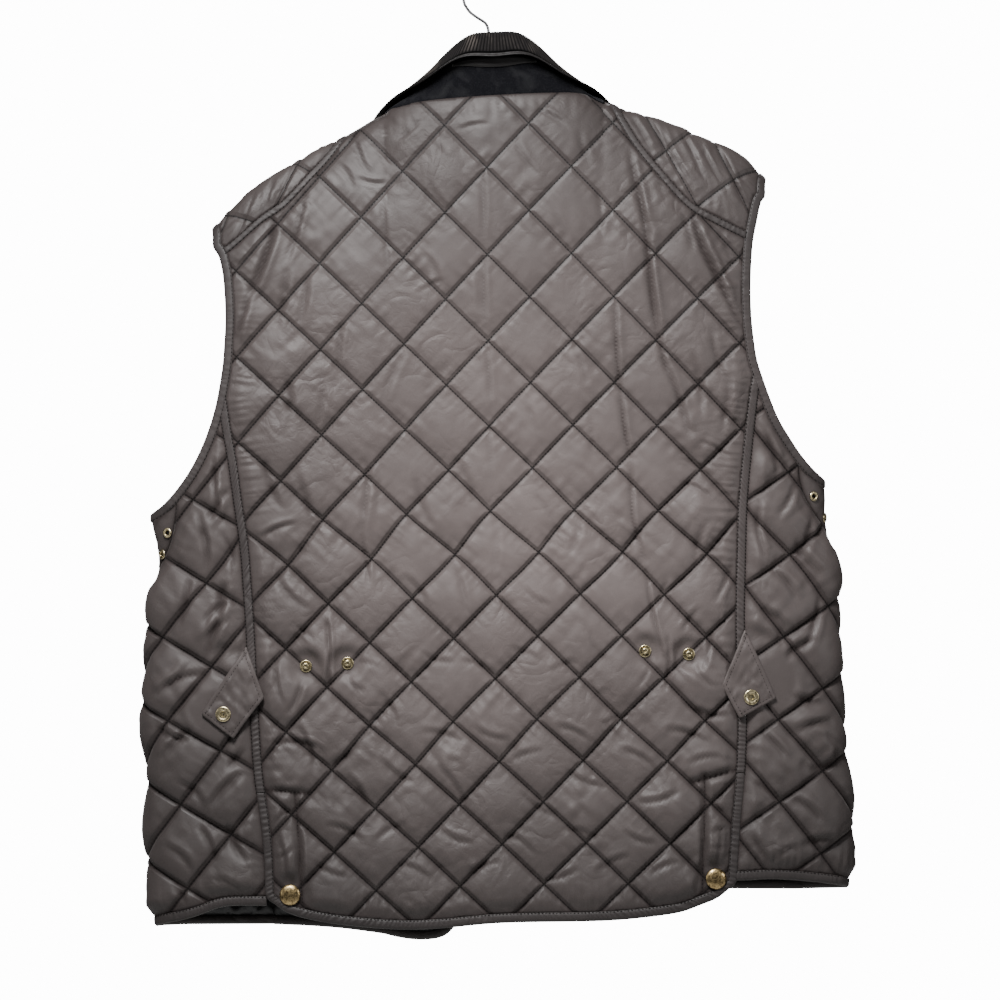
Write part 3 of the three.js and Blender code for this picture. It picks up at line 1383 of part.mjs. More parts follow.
function collarFall(places) {
  return facingOut(gridWall(fallRows(places, true), fallRows(places, false)));
}

function collarBinding(places) {
  const rows = (over) => [5 * SEAM_GAP, COLLAR_TAPE].map((distance) => places.map((place) => {
    const down = place.edge.clone().sub(place.fold).normalize();
    const out = over ? COLLAR_WALL + 0.4 : -0.2;
    return place.edge.clone().addScaledVector(place.outward, out).addScaledVector(down, distance);
  }));
  return facingOut(gridWall(rows(true), rows(false)));
}

// The strip of the vest's own cloth that shows on the stand just below the fall
function collarCrescent(places) {
  const shown = places.filter((place) => place.turn < 0.24);
  const row = (share, out) => shown.map((place) => {
    const fold = place.fold.clone().addScaledVector(place.outward, COLLAR_WALL);
    return place.baseOut.clone().lerp(fold, share).addScaledVector(place.outward, out);
  });
  return facingOut(gridWall([row(0.48, 1.5), row(0.66, 1.5)], [row(0.48, 0.3), row(0.66, 0.3)]));
}

// Hanger: a slim bar inside the shoulders, and a wire hook

const HANGER_CLEARANCE = 4.5;

function roundBar(points, radius, sides, steps) {
  const circle = new THREE.Shape();
  for (let k = 0; k < sides; k += 1) {
    const angle = (k / sides) * 2 * Math.PI;
    const move = k === 0 ? 'moveTo' : 'lineTo';
    circle[move](radius * Math.cos(angle), radius * Math.sin(angle));
  }
  const path = new THREE.CatmullRomCurve3(points, false, 'centripetal');
  return new THREE.ExtrudeGeometry(circle, { steps, extrudePath: path, bevelEnabled: false });
}

function hangerBar() {
  const below = HANGER_CLEARANCE + HANGER_RADIUS;
  const inShoulder = RIDGE
    .filter((row) => row.x > HANGER_REACH.left && row.x < HANGER_REACH.right)
    .map((row) => new THREE.Vector3(row.x, 0, -row.drop - below));
  const ends = Object.values(HANGER_REACH)
    .map((x) => new THREE.Vector3(x, 0, -ridgeDrop(x) - below));
  const rise = HANGER_RISE.map(({ x, drop }) => new THREE.Vector3(x, 0, -drop));
  const points = [...inShoulder, ...ends, ...rise].sort((a, b) => a.x - b.x);
  return roundBar(points, HANGER_RADIUS, 8, 44);
}

function hangerHook() {
  const radius = HOOK_RADIUS + WIRE_RADIUS;
  const centre = { x: HOOK_NECK_X, drop: HOOK_RADIUS };
  const points = [];
  for (let angle = HOOK_START; angle <= HOOK_END; angle += HOOK_STEP) {
    const turn = THREE.MathUtils.degToRad(angle);
    const [x, z] = [centre.x + radius * Math.cos(turn), -centre.drop + radius * Math.sin(turn)];
    points.push(new THREE.Vector3(x, 0, z));
  }
  HOOK_STEM.forEach(({ x, drop }) => points.push(new THREE.Vector3(x, 0, -drop)));
  return roundBar(points, WIRE_RADIUS, 8, 40);
}

// Putting the pieces together

for (const [name, side] of Object.entries(SIDES)) {
  add(`side_${name}`, sidePanel(side), FINISH.nylon);
  const eyelets = side.eyelets.map((row) => eyeletPlace(side, row));
  add(`gusset_${name}`, cutHoles(gusset(side), eyelets), FINISH.nylon);
  eyelets.forEach((point, i) =>
    metal(`eyelet_${name}_${i + 1}`, eyeletProfile, point, METAL_SEAT + SEAM_GAP));
  add(`front_${name}`, frontPanel(side), FINISH.nylon);
  add(`yoke_${name}`, yoke(side), FINISH.nylon);
  add(`armhole_binding_${name}`, armholeBinding(side.loop), FINISH.tape);
  add(`seam_band_${name}`, seamBand(side), FINISH.tape);
  add(`yoke_band_${name}`, yokeBand(side), FINISH.tape);
  add(`side_hem_binding_${name}`, sideHemBinding(side), FINISH.tape);
  add(`front_hem_binding_${name}`, frontHemBinding(side), FINISH.tape);
  add(`facing_${name}`, facing(side), FINISH.corduroy);
  add(`waist_tab_${name}`, waistTab(side), FINISH.nylon);
  const tabSnap = onBack(side.tabSnap.x, side.tabSnap.drop);
  const onTab = tabLow(side, tabSnap) + TAB_THICKNESS + SEAM_GAP;
  metal(`tab_snap_${name}`, ringSnapProfile(SNAP_RADIUS), tabSnap, onTab);
  side.studs.forEach((row, i) =>
    metal(`waist_stud_${name}_${i + 1}`, studProfile(STUD_RADIUS), onBack(row.x, row.drop), METAL_SEAT));
  const ventSpot = onBack(side.ventSnap.x, side.ventSnap.drop);
  metal(`vent_snap_${name}`, domeProfile(VENT_SNAP_RADIUS, VENT_SNAP_HEIGHT), ventSpot, TAPE_HIGH + SEAM_GAP);
  const profile = side.sign < 0 ? domeProfile(SNAP_RADIUS, 2.8) : studProfile(SNAP_RADIUS);
  frontSnapRows(side).forEach((row, i) =>
    metal(`front_snap_${name}_${i + 1}`, profile, chart(row.x, row.drop, 1), METAL_SEAT));
}
add('back_hem_binding', backHemBinding(), FINISH.tape);

const places = collarPlaces();
add('collar_stand', collarStand(places), FINISH.velvet);
add('collar_fall', collarFall(places), FINISH.corduroy);
add('collar_binding', collarBinding(places), FINISH.tape);
add('collar_crescent', collarCrescent(places), FINISH.nylon);
add('hanger_bar', hangerBar(), FINISH.hanger);
add('hanger_hook', hangerHook(), FINISH.wire);

export default vest;
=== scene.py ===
# %% [markdown]
# A quilted vest on its hanger, seen from behind. The frame holds every piece of it as a plain
# solid. Here each piece of cloth is made again with its wadding, puckers and stitches, and each
# metal piece as it comes from its maker. The first cell loads the frame and keeps its box, so
# that the dressed vest's box can be printed beside it at the end.

# %% Load the frame
import math

import bpy
import numpy as np
from mathutils import Matrix, Vector
from mathutils.geometry import delaunay_2d_cdt
from mathutils.kdtree import KDTree


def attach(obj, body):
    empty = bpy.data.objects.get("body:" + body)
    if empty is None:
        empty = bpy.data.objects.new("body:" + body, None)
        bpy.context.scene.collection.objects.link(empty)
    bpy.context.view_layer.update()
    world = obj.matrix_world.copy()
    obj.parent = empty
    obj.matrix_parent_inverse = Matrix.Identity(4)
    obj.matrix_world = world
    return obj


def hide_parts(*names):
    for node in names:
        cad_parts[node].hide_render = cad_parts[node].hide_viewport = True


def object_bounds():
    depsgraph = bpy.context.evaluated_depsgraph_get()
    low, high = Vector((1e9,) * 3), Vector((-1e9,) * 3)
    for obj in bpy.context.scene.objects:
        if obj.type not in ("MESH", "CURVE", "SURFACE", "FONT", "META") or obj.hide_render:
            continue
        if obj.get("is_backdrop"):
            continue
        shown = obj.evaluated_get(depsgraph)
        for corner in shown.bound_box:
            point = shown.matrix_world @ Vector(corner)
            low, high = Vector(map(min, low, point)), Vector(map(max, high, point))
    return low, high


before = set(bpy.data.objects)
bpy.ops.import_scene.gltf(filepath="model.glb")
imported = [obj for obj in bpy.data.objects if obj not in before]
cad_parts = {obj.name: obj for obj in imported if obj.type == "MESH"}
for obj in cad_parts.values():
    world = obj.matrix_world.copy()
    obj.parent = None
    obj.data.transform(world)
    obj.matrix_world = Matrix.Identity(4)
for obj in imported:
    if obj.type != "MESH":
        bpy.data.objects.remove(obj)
CAD_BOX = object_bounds()
MM = 0.001
bpy.ops.object.select_all(action="DESELECT")
print("nodes in the frame:", len(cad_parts))

# %% [markdown]
# The camera comes first, because it decides what has to look right. The vest was taken from
# behind, level with its middle. A long lens from far back keeps its near parts from swelling.
# 930 mm of the vest's own plane fill the square picture.

# %% Camera
PICTURE_WIDTH = 0.930
CAMERA_AWAY = 14.0
PICTURE_MIDDLE = Vector((0.0112, 0, -0.4905))
SENSOR = 36

camera = bpy.data.objects.new("camera", bpy.data.cameras.new("camera"))
bpy.context.collection.objects.link(camera)
camera.location = PICTURE_MIDDLE + Vector((0, -CAMERA_AWAY, 0))
camera.rotation_euler = (math.pi / 2, 0, 0)
camera.data.sensor_width = SENSOR
camera.data.lens = SENSOR * CAMERA_AWAY / PICTURE_WIDTH
camera.data.clip_end = 60
bpy.context.scene.camera = camera
print("lens:", round(camera.data.lens, 1), "mm")

# %% [markdown]
# Soft light comes from wide lamps. The main one stands high, a little to the left, and glances
# down the cloth, so that each diamond is bright above and dark below. A weaker one on each side
# lifts the edges, and one beyond the vest lights its front. The background is plain white, and it
# lights the vest far less than it shows.

# %% Light and floor
LAMPS = {
    "key": {"at": (-0.42, -1.35, 0.95), "size": 0.65, "power": 106},
    "left": {"at": (-2.4, -1.2, -0.1), "size": 1.1, "power": 8},
    "right": {"at": (2.2, -1.5, 0.0), "size": 0.8, "power": 22},
    "front": {"at": (0.4, 2.8, 0.6), "size": 1.6, "power": 45},
    "top": {"at": (0.1, -0.6, 1.7), "size": 1.0, "power": 3},
}
FLOOR_DROP = 1.9
AMBIENT, BACKDROP = 0.04, 14.0


def add_lamp(name, at, size, power):
    lamp = bpy.data.lights.new(name, "AREA")
    lamp.size = size
    lamp.energy = power
    thing = bpy.data.objects.new(name, lamp)
    bpy.context.collection.objects.link(thing)
    thing.location = at
    towards = PICTURE_MIDDLE - Vector(at)
    thing.rotation_euler = towards.to_track_quat("-Z", "Y").to_euler()


for lamp_name, lamp in LAMPS.items():
    add_lamp(lamp_name, **lamp)

world = bpy.data.worlds.new("studio")
bpy.context.scene.world = world
world.use_nodes = True
sky = world.node_tree
shown, lighting = sky.nodes["Background"], sky.nodes.new("ShaderNodeBackground")
shown.inputs["Color"].default_value = (1, 1, 1, 1)
shown.inputs["Strength"].default_value = BACKDROP
lighting.inputs["Color"].default_value = (0.93, 0.96, 1, 1)
lighting.inputs["Strength"].default_value = AMBIENT
rays, either = sky.nodes.new("ShaderNodeLightPath"), sky.nodes.new("ShaderNodeMixShader")
sky.links.new(rays.outputs["Is Camera Ray"], either.inputs["Fac"])
sky.links.new(lighting.outputs[0], either.inputs[1])
sky.links.new(shown.outputs[0], either.inputs[2])
sky.links.new(either.outputs[0], sky.nodes["World Output"].inputs["Surface"])

bpy.ops.mesh.primitive_plane_add(size=6, location=(0, 0, -FLOOR_DROP))
floor = bpy.context.object
floor.name = "floor"
bpy.ops.object.mode_set(mode="EDIT")
bpy.ops.mesh.subdivide(number_cuts=8)
bpy.ops.object.mode_set(mode="OBJECT")
floor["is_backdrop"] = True
print("lamps:", len(LAMPS))

# %% [markdown]
# The garment is described by the same few tables as its solids, in millimetres. X runs towards
# the wearer's right, "drop" is measured down from the hook, and "out" is the distance from the
# inner face of the cloth. A table's columns are read smoothly between its rows. Each panel is
# tucked a little way into the tapes that bind it, so that no light shows through a seam.

# %% Sizes of the cloth
CLOTH_WALL = 2.6
PUFF = 5.5
QUILT = 78.0
SEAM_GAP = 0.3
TAPE_WIDTH = 9.4
HALF_TAPE = TAPE_WIDTH / 2
TUCK = 1.4
PANEL_SIDE = HALF_TAPE - TUCK
INSET = TAPE_WIDTH - TUCK
EDGE_FADE = 13.0
STEP = 3.0
FOLD_HEIGHT = 250.0
NECK_PEAK = 58.0
NECK_LEFT, NECK_RIGHT = -94.0, 106.0
ROUNDNESS = 2.5
POWER = 2 / ROUNDNESS


def rows(columns, *lines):
    return {name: np.array(values, float) for name, values in zip(columns.split(), zip(*lines))}


SECTIONS = rows(
    "drop left right back front",
    (110, -309, 302, 44, 43), (400, -309, 306, 44, 43), (470, -309, 310, 44, 43),
    (509, -310, 311, 44, 44), (548, -303, 317, 44, 44), (583, -309, 320, 45, 45),
    (640, -312, 322, 46, 46), (695, -316, 325, 47, 47), (735, -312, 329, 48, 48),
    (806, -313, 335, 50, 50), (850, -310, 332, 51, 51), (905, -304, 328, 52, 52),
)
RIDGE = rows(
    "x drop",
    (-270, 259), (-256, 243), (-240, 226), (-212, 202), (-184, 183), (-156, 168), (-128, 153),
    (-94, 135), (106, 123), (123, 129), (151, 138), (179, 149), (206, 160), (234, 175), (258, 196),
    (272, 212),
)
BACK_NECK = rows(
    "x drop",
    (-104, 130), (-86, 127), (-60, 121), (-7, 116), (60, 113), (88, 114.5), (104, 123), (113, 119),
)
BACK_HEM = rows(
    "x drop",
    (-230, 858), (-202, 862), (-190, 871), (-175, 877), (-138, 884), (-82, 888.6), (-45, 887.5),
    (11, 882.6), (104, 880.7), (141, 878), (179, 872.6), (197, 866), (214, 859), (226, 849),
    (250, 838),
)
print("body width at the chest:", SECTIONS["right"][1] - SECTIONS["left"][1], "mm")

# %% [markdown]
# Each side has lines of its own, because the vest hangs lower on the left: the armhole, the yoke
# seam, the long seam band, the hems, and the places of the tab, snaps and eyelets.

# %% Lines of each side
SIDES = {
    "left": {
        "sign": -1, "tip": -255,
        "armhole": rows(
            "drop x",
            (264, -250), (274, -247.3), (285, -245.5), (305, -244), (325, -243.5), (345, -244.5),
            (365, -246), (385, -249), (405, -253), (425, -259), (445, -267), (464, -277),
            (480, -288), (494, -300),
        ),
        "armhole_bottom": 503,
        "yoke_seam": rows(
            "x drop",
            (-262, 272), (-240, 257), (-209, 230), (-190, 217), (-164, 190), (-147, 172),
            (-120, 137),
        ),
        "ridge_meeting": -132,
        "seam": rows(
            "drop x",
            (370, -250), (402, -245.5), (434, -240.4), (453, -237), (490, -232), (527, -226.5),
            (583, -222), (620, -219.8), (713, -215), (750, -212), (788, -206.5), (825, -203),
            (920, -201),
        ),
        "front_seam": rows("drop x", (320, -242), (430, -225), (527, -213), (920, -198)),
        "vent_top": 762,
        "side_hem": rows("x drop", (-190, 867), (-238, 867), (-253, 870), (-268, 876), (-285, 881)),
        "side_hem_side": 887, "side_hem_front": 886,
        "front_hem": rows(
            "x drop",
            (-230, 885), (-150, 889), (-100, 895), (-82, 899), (-63, 901), (-45, 899), (-35, 893),
            (-10, 862),
        ),
        "front_edge": -27,
        "quilt": {"x": -260.6, "drop": 567.9, "wide": 89.5, "high": 79.3, "rise": 0.259, "lean": -0.08},
        "yoke_quilt": {"x": -176, "drop": 181, "wide": 64, "high": 84, "rise": -0.03, "lean": -0.056},
        "eyelets": ((22, 521), (11, 541)),
        "gusset_tip": 560,
        "studs": ((-168.5, 644.5), (-130, 641.7)),
        "vent_snap": (-183, 856.5),
        "vent_rows": ((-206, 759, -165, 763), (-178.5, 765, -171, 872)),
        "tab": ((-223.5, 626), (-206.5, 674), (-234.5, 712), (-264, 689)),
        "tab_snap": (-243.7, 689), "tab_rest": 8.2,
    },
    "right": {
        "sign": 1, "tip": 257,
        "armhole": rows(
            "drop x",
            (214, 253.5), (232, 249.5), (250, 246), (268, 244.5), (286, 243.7), (304, 243.7),
            (323, 244.6), (341, 246.5), (360, 249.5), (379, 255.5), (397, 262), (415, 269.5),
            (432, 279.5), (448, 290), (461, 300.5),
        ),
        "armhole_bottom": 471,
        "yoke_seam": rows(
            "x drop",
            (262, 257), (239, 245), (213, 232), (187, 217), (160, 188), (138, 161), (126, 142),
            (108, 111),
        ),
        "ridge_meeting": 118,
        "seam": rows(
            "drop x",
            (350, 254), (378, 248.3), (397, 245.5), (434, 241.4), (490, 236.2), (527, 235),
            (602, 233.5), (695, 235.5), (750, 233.5), (788, 230), (834, 227), (920, 224),
        ),
        "front_seam": rows("drop x", (300, 242), (400, 226), (500, 214), (920, 204)),
        "vent_top": 744,
        "side_hem": rows("x drop", (210, 843.5), (239, 843.2), (260, 842.2), (284, 843.3), (308, 845.7)),
        "side_hem_side": 851, "side_hem_front": 853,
        "front_hem": rows(
            "x drop",
            (235, 856), (150, 860), (100, 863), (65, 864), (48, 861), (38, 855), (17, 834),
        ),
        "front_edge": 29,
        "quilt": {"x": 277.9, "drop": 464.7, "wide": 82, "high": 77.6, "rise": -0.239, "lean": 0.06},
        "yoke_quilt": {"x": 227.8, "drop": 194.1, "wide": 62.4, "high": 84, "rise": 0.03, "lean": 0.056},
        "eyelets": ((19, 487), (6, 507)),
        "gusset_tip": 526,
        "studs": ((145.5, 630.5), (186, 633.3)),
        "vent_snap": (211, 841.6),
        "vent_rows": ((188, 753, 237, 738), (200.5, 746, 198, 862)),
        "tab": ((237.5, 610), (266, 674.5), (232.5, 693), (216, 662)),
        "tab_snap": (243, 673.3), "tab_rest": 7.0,
    },
}
left, right = SIDES["left"], SIDES["right"]
FRONT_SCOOP = 17
YOKE_FRONT_DROP, YOKE_NECK_DROP = 34, 14
GUSSET_REACH = 33
FRONT_NECK_DEPTH = 84
FACING_WIDTH = 84
print("sides:", ", ".join(SIDES))

# %% [markdown]
# The body's cross-section is a rounded oval, wider than it is deep, that closes to a soft fold at
# the shoulders. A point of the cloth is found from its length round that oval and its height.
# That pair is the cloth's flat chart, in which seams are drawn and quilting lines are straight.

# %% The body's surface


def read(table, column, at, by="drop"):
    order = np.argsort(table[by])
    x, y = table[by][order], table[column][order]
    last = len(x) - 1
    before = np.maximum(np.arange(last + 1) - 1, 0)
    after = np.minimum(np.arange(last + 1) + 1, last)
    slope = (y[after] - y[before]) / (x[after] - x[before])
    i = np.searchsorted(x[1:-1], at, side="left")
    span = x[i + 1] - x[i]
    t = np.clip((at - x[i]) / span, 0, 1)
    near = y[i] * (1 + 2 * t) * (1 - t) ** 2 + slope[i] * span * t * (1 - t) ** 2
    return near + y[i + 1] * t * t * (3 - 2 * t) + slope[i + 1] * span * t * t * (t - 1)


def ridge_drop(x):
    x = np.asarray(x, float)
    t = (x - NECK_LEFT) / (NECK_RIGHT - NECK_LEFT)
    level = 135 - 12 * t
    over_neck = level + (NECK_PEAK - level) * (1 - (2 * t - 1) ** 2)
    return np.where((t > 0) & (t < 1), over_neck, read(RIDGE, "drop", x, "x"))


def section_at(drop):
    low, high = read(SECTIONS, "left", drop), read(SECTIONS, "right", drop)
    return (low + high) / 2, (high - low) / 2


def depth_at(drop, face):
    return np.where(face < 0, read(SECTIONS, "back", drop), read(SECTIONS, "front", drop))


LEVELS = np.arange(60, 961, 3.0)
SHARES = np.linspace(0, 1, 129)


def angle_of(share):
    return np.pi / 2 * share ** (1 / POWER)


def arc_tables(face):
    half = section_at(LEVELS)[1][:, None]
    depth = depth_at(LEVELS, face)[:, None]
    angle = angle_of(SHARES)[None]
    x = half * np.sin(angle) ** POWER
    y = depth * np.maximum(np.cos(angle), 0) ** POWER
    steps = np.hypot(np.diff(x, axis=1), np.diff(y, axis=1))
    arcs = np.concatenate([np.zeros((len(LEVELS), 1)), np.cumsum(steps, axis=1)], axis=1)
    turns = np.array([np.interp(SHARES, row / row[-1], SHARES) for row in arcs])
    return arcs, turns


TABLES = {-1: arc_tables(-1), 1: arc_tables(1)}


def look_up(table, drop, share):
    i = np.clip((drop - LEVELS[0]) / 3.0, 0, len(LEVELS) - 1.001)
    j = np.clip(share * (len(SHARES) - 1), 0, len(SHARES) - 1.001)
    a, b = i.astype(int), j.astype(int)
    s, t = i - a, j - b
    return ((1 - s) * ((1 - t) * table[a, b] + t * table[a, b + 1])
            + s * ((1 - t) * table[a + 1, b] + t * table[a + 1, b + 1]))


def quarter(drop, face=-1):
    drop = np.asarray(drop, float)
    return look_up(TABLES[face][0], drop, np.ones_like(drop))


def unit(vectors):
    return vectors / (np.linalg.norm(vectors, axis=-1, keepdims=True) + 1e-12)


def surface_point(angle, side, face, drop, out):
    middle, half = section_at(drop)
    depth = depth_at(drop, face)
    across = np.sin(angle) ** POWER
    along = np.maximum(np.cos(angle), 0) ** POWER
    x = middle + side * half * across
    below = np.clip((drop - ridge_drop(x)) / FOLD_HEIGHT, 0, 1)
    share = np.sqrt(1 - (1 - below) ** 2)
    fold = along ** ROUNDNESS * (1 - below) / FOLD_HEIGHT
    slope = ridge_drop(x + 0.5) - ridge_drop(x - 0.5)
    normal = np.stack([
        side * share ** 2 * across ** (ROUNDNESS - 1) / half + fold * slope,
        face * share * along ** (ROUNDNESS - 1) / depth,
        fold,
    ], axis=-1)
    place = np.stack([x, face * depth * along * share, -drop], axis=-1)
    return place + unit(normal) * np.asarray(out, float)[..., None]


def chart_to_body(points, out):
    points = np.atleast_2d(points)
    drop = -points[:, 1]
    side = np.where(points[:, 0] < 0, -1, 1)
    length = np.abs(points[:, 0])
    behind = quarter(drop)
    before = quarter(drop, 1)
    is_back = length <= behind
    rest = np.clip(behind + before - length, 0, None)
    angle_back = angle_of(look_up(TABLES[-1][1], drop, length / behind))
    angle_front = angle_of(look_up(TABLES[1][1], drop, rest / before))
    angle = np.where(is_back, angle_back, angle_front)
    out = np.broadcast_to(np.asarray(out, float), drop.shape)
    return surface_point(angle, side, np.where(is_back, -1, 1), drop, out)


def angle_at(x, drop, face, y=None):
    middle, half = section_at(drop)
    across = np.minimum(np.abs(x - middle) / half, 1)
    along = (1 - across ** ROUNDNESS) ** (1 / ROUNDNESS)
    if y is not None:
        near = np.minimum(np.abs(y) / depth_at(drop, face), 1)
        along = np.where(across > 0.9, near, along)
    return np.arctan2(across ** (ROUNDNESS / 2), along ** (ROUNDNESS / 2)), np.where(x < middle, -1, 1)


def chart(x, drop, face=-1, y=None):
    x, drop = np.broadcast_arrays(np.asarray(x, float), np.asarray(drop, float))
    angle, side = angle_at(x, drop, face, y)
    share = (angle / (np.pi / 2)) ** POWER
    length = look_up(TABLES[face][0], drop, share)
    if face > 0:
        length = quarter(drop) + quarter(drop, 1) - length
    return np.stack([side * length, -drop], axis=-1)


print("round the chest:", round(float(2 * (quarter(500.0) + quarter(500.0, 1)))), "mm")

# %% [markdown]
# The yokes lie over the shoulder fold, where the body chart is stretched, so they have a chart of
# their own: x along the shoulder, and the length over the fold, negative on the back.

# %% The shoulder's surface
FOLD_STEPS = 60


def fold_place(x, turn, face, out=0.0):
    drop = ridge_drop(x) + FOLD_HEIGHT * (1 - np.cos(turn))
    angle, side = angle_at(x, drop, face)
    return surface_point(angle, side, face, drop, np.broadcast_to(out, np.shape(drop))), drop


def fold_length(x, face, drop):
    x = np.asarray(x, float)
    target = np.arccos(np.clip(1 - (drop - ridge_drop(x)) / FOLD_HEIGHT, -1, 1))
    points = [fold_place(x, target * i / FOLD_STEPS, face)[0] for i in range(FOLD_STEPS + 1)]
    return face * sum(np.linalg.norm(b - a, axis=-1) for a, b in zip(points[:-1], points[1:]))


def shoulder_turn(points, face):
    target = np.abs(points[:, 1])
    turns = np.linspace(0, 1.2, 2 * FOLD_STEPS + 1)
    line = [fold_place(points[:, 0], np.full(len(points), turn), face)[0] for turn in turns]
    steps = [np.linalg.norm(b - a, axis=-1) for a, b in zip(line[:-1], line[1:])]
    lengths = np.concatenate([np.zeros((1, len(points))), np.cumsum(steps, axis=0)])
    return np.array([np.interp(t, lengths[:, k], turns) for k, t in enumerate(target)])


def shoulder_to_body(points, out):
    points = np.atleast_2d(points)
    face = np.where(points[:, 1] < 0, -1, 1)
    turn = shoulder_turn(points, face)
    return fold_place(points[:, 0], turn, face, np.broadcast_to(np.asarray(out, float), turn.shape))[0]


def shoulder_to_chart(points, face):
    beyond = points[:, 1] * face < 0
    drop = fold_place(points[:, 0], shoulder_turn(points, face), face)[1]
    drop = np.where(beyond, ridge_drop(points[:, 0]) - np.abs(points[:, 1]), drop)
    return chart(points[:, 0], drop, face)


def shoulder(x, drop, face):
    x, drop = np.broadcast_arrays(np.asarray(x, float), np.asarray(drop, float))
    ridge = ridge_drop(x)
    length = np.where(drop < ridge, -face * (ridge - drop), fold_length(x, face, drop))
    return np.stack([x, length], axis=-1)


# %% [markdown]
# A pattern piece is drawn as a maker draws it: its seams are curves that run on past the corners,
# and each is cut where it crosses the next. The helpers here sample such curves, move them
# sideways for a seam allowance, and join them to a closed outline.

# %% Curves and outlines


def run_along(path):
    """The length from a path's start to each of its points."""
    return np.concatenate([[0], np.cumsum(np.linalg.norm(np.diff(path, axis=0), axis=1))])


def path_at(places, run, path):
    """The points of a path at some places of its run."""
    return np.stack([np.interp(places, run, column) for column in path.T], axis=1)


def resampled(path, count):
    run = run_along(path)
    return path_at(np.linspace(0, run[-1], count), run, path)


def crossed(columns, rows_, indexing="xy"):
    """Every pair of a grid's columns and rows, as a list of points."""
    return np.stack(np.meshgrid(columns, rows_, indexing=indexing), axis=-1).reshape(-1, 2)


def across_curve(table, to_chart, spacing=STEP):
    x = [table["x"][0]]
    for a, b in zip(table["x"][:-1], table["x"][1:]):
        count = max(1, math.ceil(abs(b - a) / spacing))
        x += [a + (b - a) * k / count for k in range(1, count + 1)]
    x = np.array(x)
    return to_chart(x, read(table, "drop", x, "x"))


def down_curve(table, face, shift=0.0):
    drop = np.arange(table["drop"].min(), table["drop"].max(), STEP)
    points = chart(read(table, "x", drop), drop, face)
    return points + np.array([shift, 0])


def raised(curve, amount):
    return curve + np.array([0, amount])


def beside(points, distance):
    index = np.arange(len(points))
    along = points[np.minimum(index + 1, len(points) - 1)] - points[np.maximum(index - 1, 0)]
    along /= np.linalg.norm(along, axis=1, keepdims=True)
    return points + distance * np.stack([-along[:, 1], along[:, 0]], axis=1)


def cross(a, b):
    return a[..., 0] * b[..., 1] - a[..., 1] * b[..., 0]


def crossing(first, second, label):
    r = (first[1:] - first[:-1])[:, None]
    s = (second[1:] - second[:-1])[None]
    between = second[None, :-1] - first[:-1, None]
    with np.errstate(divide="ignore", invalid="ignore"):
        t, u = cross(between, s) / cross(r, s), cross(between, r) / cross(r, s)
    hits = np.argwhere((t >= 0) & (t <= 1) & (u >= 0) & (u <= 1))
    if not len(hits):
        raise RuntimeError(f"outline curve {label} doesn't meet the next one")
    i, j = hits[0]
    return i + t[i, j], j + u[i, j], first[i] + t[i, j] * r[i, 0]


def portion(curve, start, start_point, end, end_point):
    k = np.arange(len(curve))
    inside = curve[(k - start) * (k - end) < 0]
    for end_of_it in (start_point, end_point):
        inside = inside[np.linalg.norm(inside - end_of_it, axis=1) > 1]
    if start > end:
        inside = inside[::-1]
    return np.concatenate([[start_point], inside, [end_point]])


def enclose(*curves):
    count = len(curves)
    meets = [crossing(curve, curves[(i + 1) % count], i) for i, curve in enumerate(curves)]
    parts = []
    for i, curve in enumerate(curves):
        start, end = meets[i - 1], meets[i]
        parts.append(portion(curve, start[1], start[2], end[0], end[2])[:-1])
    outline = np.concatenate(parts)
    following = np.roll(outline, -1, axis=0)
    return outline if cross(outline, following).sum() > 0 else outline[::-1]


def smooth(points, spacing, closed=False):
    points = np.asarray(points, float)
    if closed:
        points = np.concatenate([points[-2:], points, points[:3]])
    at = run_along(points)
    ends = (at[2], at[-3]) if closed else (at[0], at[-1])
    count = max(2, round((ends[1] - ends[0]) / spacing))
    places = np.linspace(*ends, count, endpoint=not closed)
    columns = [read({"at": at, "v": points[:, k]}, "v", places, "at") for k in range(points.shape[1])]
    return np.stack(columns, axis=1)


# %% [markdown]
# The armhole is one closed line in space, so it is made there from both of its halves. The
# binding lies along it, and the line on the chart where the panels stop is its inner side.

# %% Armhole lines
SHOULDER_BORDER = 75


def normals_at(place):
    face = np.where(place[:, 1] <= 0, -1, 1)
    drop = -place[:, 2]
    angle, side = angle_at(place[:, 0], drop, face, place[:, 1])
    foot = surface_point(angle, side, face, drop, np.zeros(len(place)))
    return surface_point(angle, side, face, drop, np.ones(len(place))) - foot


def armhole_loop(side):
    sign, tip, bottom = side["sign"], side["tip"], side["armhole_bottom"]
    near = np.array([1.0, 6.0, 14.0])
    x = np.concatenate([np.full(3, tip), side["armhole"]["x"]])
    drop = np.concatenate([ridge_drop(tip) + near, side["armhole"]["drop"]])
    share = np.clip((drop - ridge_drop(tip)) / (bottom - ridge_drop(tip)), 0, 1)
    scoop = np.where(np.arange(len(x)) < 3, 0, sign * FRONT_SCOOP * np.sin(np.pi * share))
    back = chart_to_body(chart(x, drop, -1), 0)
    front = chart_to_body(chart(x - scoop, drop, 1), 0)[::-1]
    top = chart_to_body(chart(tip, ridge_drop(tip)), 0)
    low = chart_to_body(np.array([[sign * float(quarter(bottom)), -bottom]]), 0)
    edge = smooth(np.concatenate([top, back, low, front]), STEP, closed=True)
    along = np.roll(edge, -1, axis=0) - np.roll(edge, 1, axis=0)
    along /= np.linalg.norm(along, axis=1, keepdims=True)
    normal = normals_at(edge)
    inward = np.cross(along, normal)
    inward /= np.linalg.norm(inward, axis=1, keepdims=True)
    centre = edge.mean(axis=0)
    inward[np.einsum("ij,ij->i", inward, edge - centre) < 0] *= -1
    return {"edge": edge, "normal": normal, "inward": inward}


